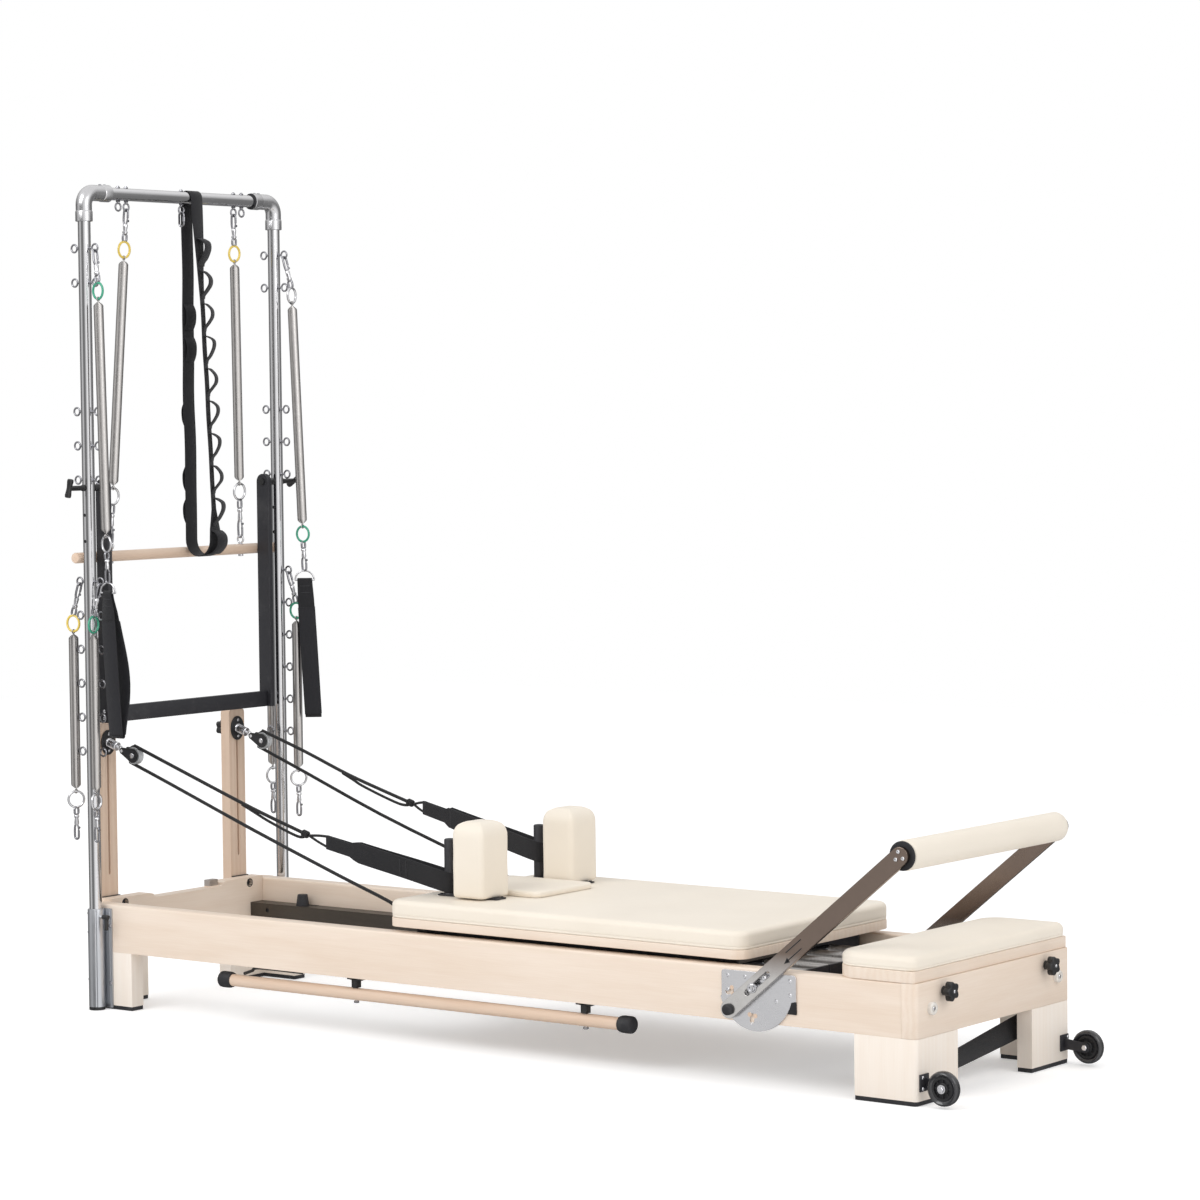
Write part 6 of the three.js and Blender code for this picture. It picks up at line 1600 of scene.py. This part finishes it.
def loopStrap():
    form = Form()
    thick = loopLook["thick"]
    reach = tower["radius"] + 0.5 + thick / 2
    bend = loopLook["bend"] + thick / 2
    y = loopLook["across"]
    crest = at(towerX, y, tower["top"])
    low = at(towerX - reach + bend, y, loopLook["bottom"] + bend + thick / 2)
    lean = 2 * math.atan2(low.x - crest.x, crest.z - low.z)
    outward = at(math.cos(lean), 0, math.sin(lean))
    frontLow, frontHigh = low + outward * bend, crest + outward * reach
    run = loopLook["run"]

    def widthAt(share):
        held = min(1, share / 0.1) * min(1, (1 - share) / 0.32)
        angle = math.radians(loopLook["turn"]) * held * held * (3 - 2 * held)
        return at(-math.sin(angle), math.cos(angle), 0)

    def bent(middle, radius, start, end, steps):
        return [middle + at(a, 0, b) for a, b in arcPoints(0, 0, radius, start, end, steps)]

    leanDegrees = math.degrees(lean)
    shares = [i / run for i in range(1, run)]
    path = bent(crest, reach, leanDegrees, 180, 12)
    for share in shares:
        sway = math.sin(math.pi * share)
        path.append(at(towerX - reach - 1.2 * math.sin(share * 24) * sway,
                       y + 2.5 * math.sin(share * 9) * sway, crest.z + (low.z - crest.z) * share))
    path += bent(low, bend, 180, 360 + leanDegrees, 16)
    widths = [axisY] * len(path) + [widthAt(share) for share in shares]
    for share in shares:
        path.append(frontLow.lerp(frontHigh, share)
                    + at(0.8 * math.sin(share * 31) * math.sin(math.pi * share), 0, 0))
    carry(form, path, tapeOutline(loopLook["wide"], thick), tape, closed=True, upright=widths)
    step = (tower["top"] - loopLook["belowTop"] - loopLook["first"]) / (loopLook["loops"] - 1)
    long = (frontHigh - frontLow).length

    def onFront(distance):
        # a place on the strap's outer face and its outward direction, round the bottom bend below nought
        if distance < 0:
            angle = lean + distance / bend
            out = at(math.cos(angle), 0, math.sin(angle))
            return low + out * (bend + thick / 2), out, axisY
        wide = widthAt(distance / long)
        out = at(wide.y, -wide.x, 0)
        return frontLow.lerp(frontHigh, distance / long) + out * (thick / 2), out, wide

    handTape = tapeOutline(loopLook["wide"] - 6, loopLook["handThick"])
    for i in range(loopLook["loops"]):
        z = loopLook["first"] + i * step
        place = z - frontLow.z
        tilt = 4 * math.sin(i * 2.3)
        bow = []
        for away, rise in ((0.6, 36), (11, 33), (loopLook["bow"], 20 + tilt), (loopLook["bow"], 2 + tilt),
                           (13, -17), (3, -29), (0.6, -38)):
            spot, out, wide = onFront(place + rise)
            bow.append(spot + out * away + wide * (0.05 * away * math.sin(i * 1.7)))
        carry(form, smoothPath(bow, 5), handTape, tape, upright=onFront(place)[2])
        for rise in (40, -42):
            spot, out, wide = onFront(place + rise)
            rod(form, spot + out * 0.3 - wide * 17, spot + out * 0.3 + wide * 17, 0.6, thread, 6, 0.2)
        # some of the back run's loops show at its edges
        if i in loopLook["shown"]:
            way = loopLook["shown"][i]
            back, bulge = towerX - reach + way * thick / 2, loopLook["backBow"]
            flat = [at(back + way * away, y, z + rise)
                    for away, rise in ((0.2, 34), (bulge, 14), (bulge * 0.9, -14), (0.2, -34))]
            carry(form, smoothPath(flat, 5), handTape, tape, upright=axisY)
    piece = toPiece("loopStrap", form, "frame", ["loop_strap"], 50)


footLook = {"wide": 54, "thick": 2.6, "low": 40, "high": 116, "away": 12, "bow": 16, "sag": 10, "roll": 0.5,
            "bows": {-1: 0, -0.6: 0.7, -0.1: 1, 0.5: 0.6, 1: 0}}


def footStrap():
    form = Form()
    x = boards["foot"] - boards["thick"] - footLook["away"]
    reach = rail["outer"] - legs["side"] - boards["gap"]
    rise = footLook["high"] - footLook["low"]
    spots = [at(x - footLook["bow"] * bow - 1.5, share * reach,
                footLook["low"] + rise * (share + 1) / 2 - footLook["sag"] * bow) for share, bow in
             footLook["bows"].items()]
    path = smoothPath(spots, 8)
    rolls = [footLook["roll"] * math.sin(math.pi * i / (len(path) - 1) * 1.5) for i in range(len(path))]
    carry(form, path, tapeOutline(footLook["wide"], footLook["thick"]), tape,
          upright=[at(math.sin(roll) * 0.5, 0, math.cos(roll)) for roll in rolls])
    for end, way in ((path[0], 1), (path[-1], -1)):
        low = end + at(2.4, way * 3, -26)
        y0, y1 = sorted((low.y, low.y + way * 12))
        block(form, (low.x - 1, y0, low.z), (low.x + 1.4, y1, low.z + 52), plastic, 0.6)
    piece = toPiece("footStrap", form, "frame", ["foot_strap"], 50)


loopStrap()
footStrap()
print("straps hung")


# Upholstery: drawn in at the base, rolled over at the edge and crowned, with small pulls in the skin
cushions = {
    "carriagePad": {"box": (920, 1988, -324, 324, 309.3, 354), "corners": (37, 37, 37, 37), "roll": 15,
                    "crown": 1.2,
                    "drawn": 2.2, "seam": 6, "node": "carriage_pad", "body": "carriage", "fill": 0.8},
    "platformPad": {"box": (2247, 2464, -342, 342, 302.3, 342), "corners": (60, 24, 24, 60), "roll": 16,
                    "crown": 7,
                    "drawn": 2.2, "seam": 5, "node": "platform_pad", "body": "frame", "fill": 0.8},
    "headrestPad": {"box": (962, 1236, -118, 118, 354.3, 373), "corners": (22, 22, 22, 22), "roll": 8,
                    "crown": 3, "drawn": 2.0, "seam": 3, "node": "headrest", "body": "headrest", "fill": 0.7},
}


def cushionLoop(x0, x1, y0, y1, corners, inset):
    loop = []
    spots = [(x1, y0, corners[1], -90, -1, 1), (x1, y1, corners[2], 0, -1, -1),
             (x0, y1, corners[3], 90, 1, -1), (x0, y0, corners[0], 180, 1, 1)]
    for x, y, wide, start, inX, inY in spots:
        radius = max(wide - inset, wide / 4)
        loop += arcPoints(x + inX * (inset + radius), y + inY * (inset + radius), radius, start, start + 90,
                          9)
    return loop


def evened(loop, counts):
    # the same number of steps along each straight run, so that rings of one cushion match
    result = []
    size = len(loop)
    arc = size // 4
    for corner in range(4):
        result += loop[corner * arc:(corner + 1) * arc]
        before = Vector(loop[(corner + 1) * arc - 1])
        after = Vector(loop[((corner + 1) * arc) % size])
        for step in range(1, counts[corner]):
            spot = before.lerp(after, step / counts[corner])
            result.append((spot.x, spot.y))
    return result


# How a cushion's skin pulls, most of all between the two rings of its side that are counted from below
skin = {"step": 26, "side": (5, 17), "pull": 0.55, "faint": 0.15, "slow": 0.35, "in": 0.35,
        "top": (0.06, 0.14, 0.26, 0.42, 0.6, 0.8, 0.94)}


def cushion(name, look):
    x0, x1, y0, y1, z0, z1 = look["box"]
    roll, crown, drawn, seam = look["roll"], look["crown"], look["drawn"], z0 + look["seam"]
    counts = [max(3, int(wide / skin["step"])) for wide in (y1 - y0, x1 - x0)] * 2
    edge = z1 - crown

    def level(inset, height):
        return [(x, y, height)
                for x, y in evened(cushionLoop(x0, x1, y0, y1, look["corners"], inset), counts)]

    rings = [level(drawn + 5, z0), level(drawn, z0 + 0.2), level(drawn * 0.5, z0 + 1.6)]
    rings += [level(0.5, seam - 1.2), level(1.5, seam), level(0.5, seam + 1.2)]
    straight = max(edge - roll - (seam + 1.2), 0.4)
    for share in (0.25, 0.5, 0.75, 1.0):
        rings.append(level(0.3 - 0.3 * math.sin(math.pi * share), seam + 1.2 + straight * share))
    base = seam + 1.2 + straight
    for step in range(1, 8):
        angle = math.pi / 2 * step / 7
        rings.append(level(roll * (1 - math.cos(angle)), base + (edge - base) * math.sin(angle)))
    last = rings[-1]
    middle = Vector(((x0 + x1) / 2, (y0 + y1) / 2))
    flat = min(x1 - x0, y1 - y0) / 2 - roll

    def drawnIn(away, share, longer):
        # by the same distance from every side first, then to the middle line
        return math.copysign(max(abs(away) - flat * share, 0), away) if longer else away * (1 - share)

    for share in skin["top"]:
        lift = crown * math.sin(share * math.pi / 2)
        rings.append([(middle.x + drawnIn(x - middle.x, share, x1 - x0 > y1 - y0),
                       middle.y + drawnIn(y - middle.y, share, y1 - y0 > x1 - x0), edge + lift)
                      for x, y, _ in last])
    points = []
    below, above = skin["side"]
    for ringIndex, loop in enumerate(rings):
        for x, y, z in loop:
            slow = noise.noise(Vector((x * mm, y * mm, z * mm)) * 9) * skin["slow"]
            pull = noise.noise(Vector((x * 0.045, y * 0.045, z * 0.12)))
            pull *= skin["pull"] if below < ringIndex < above else skin["faint"]
            outward = Vector((x - middle.x, y - middle.y,
                              0)).normalized() if ringIndex < above else Vector((0, 0, 0))
            points.append(at(x, y, z) + outward * (pull - skin["in"])
                          + at(0, 0, slow if ringIndex > 8 else 0))
    form = Form()
    form.add(points, tubeFaces(len(rings), len(rings[0])), vinyl)
    piece = toPiece(name, form, look["body"], [look["node"]], 60)


for name, look in cushions.items():
    cushion(name, look)


# Shoulder rests: a stitched block on a steel post
restLook = {"from": 1058, "to": 1157, "inner": 126, "outer": 239, "bottom": 358, "top": 547, "rounding": 38,
            "lowRound": 9, "levels": 22, "corners": (15, 15, 15, 15), "belly": 1.2, "seamIn": 20,
            "seamWide": 1.6, "seamDeep": 0.9}
postLook = {"x": 1010, "across": 182, "radius": 14, "tall": 139, "bottom": 357, "plate": (985, 1172),
            "half": 20, "screws": ((993, -13), (993, 13), (1164, -13), (1164, 13), (1036, 0))}


def shoulderRest(sideName):
    side = sideOf(sideName)
    x0, x1, z0, z1 = restLook["from"], restLook["to"], restLook["bottom"], restLook["top"]
    y0, y1 = sorted((side * restLook["inner"], side * restLook["outer"]))
    rounding, levels, lowRound = restLook["rounding"], restLook["levels"], restLook["lowRound"]
    middle = Vector(((x0 + x1) / 2, (y0 + y1) / 2, 0))
    points = []
    for i in range(levels + 1):
        share = i / levels
        z = z0 + (z1 - z0) * (0.5 - 0.5 * math.cos(math.pi * share))
        top = max(0, (z - (z1 - rounding)) / rounding)
        low = max(0, ((z0 + lowRound) - z) / lowRound)
        inset = rounding * (1 - math.sqrt(max(0, 1 - top ** 2.1))) * 0.95 + 7 * (1
                                                                                 - math.sqrt(max(0, 1
                                                                                                 - low ** 2)))
        inset -= restLook["belly"] * math.sin(math.pi * share) * 0.4
        loop = evened(cushionLoop(x0, x1, y0, y1, restLook["corners"], max(inset, 0)), [4] * 4)
        for x, y in loop:
            pull = noise.noise(Vector((x * 0.03, y * 0.03, z * 0.02)))
            outward = (at(x, y, 0) - middle).normalized()
            # two upright seams, a little in from the corners of the front face
            seam = sum(math.exp(-((x - place) / restLook["seamWide"]) ** 2)
                       for place in (x1 - restLook["seamIn"], x0 + restLook["seamIn"]))
            points.append(at(x, y, z) + outward * (pull - 0.8 - restLook["seamDeep"] * min(seam, 1)))
    form = Form()
    form.add(points, tubeFaces(levels + 1, len(loop)), vinyl)
    piece = toPiece(sideName + "ShoulderPad", form, "carriage", ["shoulder_pad_" + sideName], 60)
    post = Form()
    y, radius, tall, half = side * postLook["across"], postLook["radius"], postLook["tall"], postLook["half"]
    foot = at(postLook["x"], y, postLook["bottom"])
    turned(post, [(0, 0), (radius, 0), (radius, tall - 2), (radius - 4, tall), (0, tall)], 1.4, foot, axisZ,
           powder, 40)
    plateLoop = roundedLoop(*postLook["plate"], y - half, y + half, [2, 2, 2, 2], 6)
    cutPlate(post, [plateLoop], 3.4, planeXY(foot.z - 0.9), powder, 0.6, 1)
    turned(post, [(radius, 0), (18, 0), (16.4, 3), (radius, 3.6)], 0.5, foot + axisZ * 0.6, axisZ, powder, 40)
    for x, across in postLook["screws"]:
        screw(post, at(x, y + across, foot.z + 1), axisZ, 3.6, powder)
    toPiece(sideName + "ShoulderPost", post, "carriage", ["shoulder_post_" + sideName])


for sideName in sideNames:
    shoulderRest(sideName)
print("upholstery made")


# Springs under the carriage
carriageLook = {"up": 246, "bar": 1880, "from": 1893, "to": 2104, "end": 2139, "half": 198, "apart": 92,
                "count": 5,
                "radius": 11, "wire": 1.5, "pitch": 4.0, "cone": 10, "neck": 2.4, "blend": (1895, 2110)}


def carriageSprings():
    form = Form()
    up, start, end = carriageLook["up"], carriageLook["from"], carriageLook["to"]
    bar = at(carriageLook["bar"], 0, up)
    rod(form, bar - axisY * carriageLook["half"], bar + axisY * carriageLook["half"], 7, powder, 20)
    for i in range(carriageLook["count"]):
        y = (i - 2) * carriageLook["apart"]
        coil(form, at(start, y, up), at(end, y, up), carriageLook["radius"], carriageLook["wire"],
             carriageLook["pitch"], carriageLook["cone"], carriageLook["neck"], springSteel, 12, 6)
        rod(form, at(bar.x, y, up), at(start + 2, y, up), 2.4, chrome, 12)
        rod(form, at(end - 2, y, up), at(carriageLook["end"], y, up), 2.3, chrome, 12)
        turned(form, [(0, 0), (7, 0), (7, 4), (0, 4.6)], 0.8, at(carriageLook["end"] - 2, y, up), axisX,
               chrome, 20)
    piece = toPiece("carriageSprings", form, None, ["carriage_springs"])
    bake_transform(piece)


carriageSprings()


# Footbar: arms, roll, plates and pivots
pivot = {"x": 2040, "z": 233}
rollBar = {"x": 2438, "z": 561, "radius": 35, "half": 341}
armLean = math.atan2(rollBar["z"] - pivot["z"], rollBar["x"] - pivot["x"])
armSetup = {"across": 354, "face": 360, "thick": 12, "half": 21.5, "tail": -86.6, "slot": (-19, 54),
            "slotHalf": 7,
            "pin": 40, "discs": {-1: 33.5, 1: 27}, "marks": ((9, 128, 182), (-8, 118, 170)), "markHalf": 1.3,
            "stop": [(0, 0), (13, 0), (13.4, 3), (13, 8), (10.6, 10.6), (6, 11.4), (0, 11.4)]}


def alongArm(reach, angle=armLean):
    return (pivot["x"] + reach * math.cos(angle), pivot["z"] + reach * math.sin(angle))


def footbarMark(form, corners, side):
    cutPlate(form, [[tuple(corner) for corner in corners]], 0.3, planeXZ(side * (armSetup["face"] + 0.1)),
             plastic, 0.05, 0)


def footbar():
    form = Form()
    bar = at(rollBar["x"], 0, rollBar["z"])
    x0, z0 = alongArm(armSetup["tail"])
    pinX, pinZ = alongArm(armSetup["pin"])
    outline = stadiumLoop(x0, z0, bar.x, bar.z, armSetup["half"], 20)
    slotFrom, slotTo = armSetup["slot"]
    slot = stadiumLoop(*alongArm(slotFrom), *alongArm(slotTo), armSetup["slotHalf"], 12)
    normal = Vector((-math.sin(armLean), math.cos(armLean)))
    for side in (-1, 1):
        outward = axisY * side
        cutPlate(form, [outline, slot], armSetup["thick"], planeXZ(side * armSetup["across"]), barSteel, 0.9,
                 2)
        wide = armSetup["discs"][side]
        turned(form, [(0, 0), (wide, 0), (wide, 4.6), (14, 4.6)], 1, bar + outward * 343.2, outward, rubber,
               48)
        for a, b in arcPoints(0, 0, 11, 100, 340, 2):
            screw(form, bar + outward * (armSetup["face"] + 0.6) + at(a, 0, b), outward, 4.6, chrome)
        lathe(form, armSetup["stop"], at(x0, side * 359.8, z0), outward, rubber, 36)
        rod(form, at(x0, side * 346.9, z0), at(x0, side * 350, z0), 5, chrome, 20)
        rod(form, at(pinX, side * 347.2, pinZ), at(pinX, side * 355.5, pinZ), 4, chrome, 20)
        screw(form, at(pinX, side * 355.5, pinZ), outward, 5.6, chrome)
        # arrow and line that show which way the bar drops into its lock: plain generic marks
        for across, start, end in armSetup["marks"]:
            low, high = across - armSetup["markHalf"], across + armSetup["markHalf"]
            footbarMark(form, [Vector(alongArm(reach)) + normal * away
                               for reach, away in ((start, low), (end, low), (end, high), (start, high))],
                        side)
        tip, shoulder = Vector(alongArm(108)), Vector(alongArm(124))
        footbarMark(form, [tip - normal * 8, shoulder - normal * 14.5, shoulder - normal * 1.5], side)
    rod(form, bar - axisY * 348, bar + axisY * 348, 14, powder, 32)
    toPiece("footbarArms", form, "footbar", ["footbar_frame"])
    pad = Form()
    half, radius = rollBar["half"], rollBar["radius"]
    end = [(14.5, 0), (radius - 9, 0), (radius - 5, 1.2), (radius - 2, 3.8), (radius - 0.2, 8)]
    count = 26
    wavy = [(radius - 0.2 + 0.18 * math.sin(i * 1.7) * math.sin(math.pi * i / count),
             8 + (2 * half - 16) * i / count)
            for i in range(1, count)]
    profile = end + wavy + [(across, 2 * half - height) for across, height in reversed(end)]
    lathe(pad, profile, bar - axisY * half, axisY, vinyl, 56)
    piece = toPiece("footbarRoll", pad, "footbar", ["footbar_pad"], 50)


plateLook = {"from": 1945, "to": 2151, "lobe": 102, "shelf": 205, "top": 268, "corner": 8, "across": 344.3,
             "thick": 4, "slots": (12.3, 40, 82.3), "slotHalf": 6, "hole": 7.2, "screwAcross": 344.6,
             "screws": ((1962, 255), (2134, 255), (2134, 222), (1962, 222), (2010, 255), (2086, 255),
                        (2096, 205))}


def footbarPlate(sideName):
    side = sideOf(sideName)
    form = Form()
    x0, x1, top, corner = plateLook["from"], plateLook["to"], plateLook["top"], plateLook["corner"]
    lobe, shelf = plateLook["lobe"], plateLook["shelf"]
    lean = math.degrees(math.asin((pivot["z"] - shelf) / lobe))
    loop = [(x1 - corner, top)]
    loop += arcPoints(x0 + corner, top - corner, corner, 90, 180, 6) + [(x0, shelf + 3)]
    loop += arcPoints(pivot["x"], pivot["z"], lobe, 180 + lean, 360 - lean, 36) + [(x1, shelf + 3)]
    loop += arcPoints(x1 - corner, top - corner, corner, 0, 90, 6)
    turns = [math.pi + math.radians(angle) for angle in plateLook["slots"]]
    # short slots that the lock pin drops in
    holes = [stadiumLoop(*alongArm(68, turn), *alongArm(80, turn), plateLook["slotHalf"], 10)
             for turn in turns]
    holes.append(arcPoints(pivot["x"], pivot["z"], plateLook["hole"], 0, 360, 20)[:-1])
    cutPlate(form, [loop] + holes, plateLook["thick"], planeXZ(side * plateLook["across"]), plateSteel, 0.7,
             2)
    # thin discs of the darker beech beside each slot stand for the slot's horns: painted shade of the wood seen
    # through them
    for turn in turns:
        across = Vector((-math.sin(turn), math.cos(turn)))
        for way in (-1, 1):
            paintedHole = Vector(alongArm(66, turn)) + across * (way * 8)
            lathe(form, [(0, 0), (5.4, 0), (5.4, 0.25), (0, 0.25)], at(paintedHole.x, side * 346.35, paintedHole.y),
                  axisY * side, beechX, 20)
    for x, z in plateLook["screws"]:
        screw(form, at(x, side * plateLook["screwAcross"], z), axisY * side, 5, chrome)
    sideBlock(form, side, (2104, 342.2, 178), (x1, 345, 207), plastic, 0.8)
    toPiece(sideName + "FootbarPlate", form, "frame", ["footbar_plate_" + sideName])


def pivotBolts():
    form = Form()
    for side in (-1, 1):
        outward = axisY * side
        axle = at(pivot["x"], 0, pivot["z"])
        rod(form, axle + outward * 319, axle + outward * 364, 6.4, chrome, 28)
        turned(form, [(6, 0), (12, 0), (12, 3), (6, 3)], 0.6, axle + outward * 360.3, outward, chrome, 36)
        lathe(form, [(0, 0), (9.4, 0), (9.4, 3.4), (8.6, 5.4), (6, 6), (4.4, 6), (4.2, 2.6), (0, 2.6)],
              axle + outward * 363.3, outward, chrome, 32)
    toPiece("footbarPivots", form, "footbar_pivot", ["footbar_pivot_near", "footbar_pivot_far"])


footbar()
for sideName in sideNames:
    footbarPlate(sideName)
pivotBolts()
print("footbar fitted")


# Wheels and the stored pole
tyreShape = [(27, -6), (30, -9.4), (34, -11.2), (37.4, -9.4), (39.4, -5.4), (40, 0), (39.4, 5.4), (37.4, 9.4),
             (34, 11.2), (30, 9.4), (27, 6), (26.4, 0), (27, -6)]
hubShape = [(4.6, -12), (11, -12), (11.4, -8), (14, -7), (14, 7), (11.4, 8), (11, 12), (4.6, 12), (4.6, -12)]
poleCap = [(0, 0), (13, 0), (17.6, 1), (20.2, 4), (21, 9), (21, 26), (20.4, 33), (18.6, 38.6), (17, 40),
           (15.4, 40)]


def wheelPiece(sideName):
    side = sideOf(sideName)
    form = Form()
    centre = at(wheelSetup["x"], side * wheelSetup["across"], wheelSetup["up"])
    lathe(form, tyreShape, centre, axisY, tyre, 64)
    turned(form, [(22, -7.4), (27.4, -7.4), (27.4, 7.4), (22, 7.4), (22, -7.4)], 0.8, centre, axisY, plastic,
           48)
    turned(form, hubShape, 0.6, centre, axisY, plastic, 40)
    lathe(form, [(13.6, -2.6), (22.6, -2.6), (22.6, 2.6), (13.6, 2.6)], centre, axisY, rubber, 40)
    lathe(form, [(4.5, 12.1), (7, 12.3), (10, 12.2), (10.4, 11.6)], centre, axisY * side, chrome, 36)
    for i, (a, b) in enumerate(circle(18, 8)):
        turn = Matrix.Rotation(-math.pi * i / 4, 3, "Y")
        spoke = centre + at(a, 0, b)
        block(form, spoke - at(5, 5.4, 1.9), spoke + at(5, 5.4, 1.9), plastic, 0.8, turn)
    toPiece(sideName + "Wheel", form, "wheel_" + sideName, ["wheel_" + sideName])


def storedPole():
    form = Form()
    x0, x1, radius = poleSetup["from"], poleSetup["to"], poleSetup["radius"]
    y, z = -poleSetup["across"], poleSetup["up"]
    low, high = 20, x1 - x0 - 20
    lathe(form, [(0, low), (radius, low), (radius, high), (0, high)], at(x0, y, z), axisX, beechX, 40)
    for x, way in ((x0, 1), (x1, -1)):
        lathe(form, poleCap, at(x, y, z), axisX * way, rubber, 48)
    toPiece("storedPole", form, "frame", ["storage_pole"])


for sideName in sideNames:
    wheelPiece(sideName)
storedPole()
print("wheels and pole fitted")
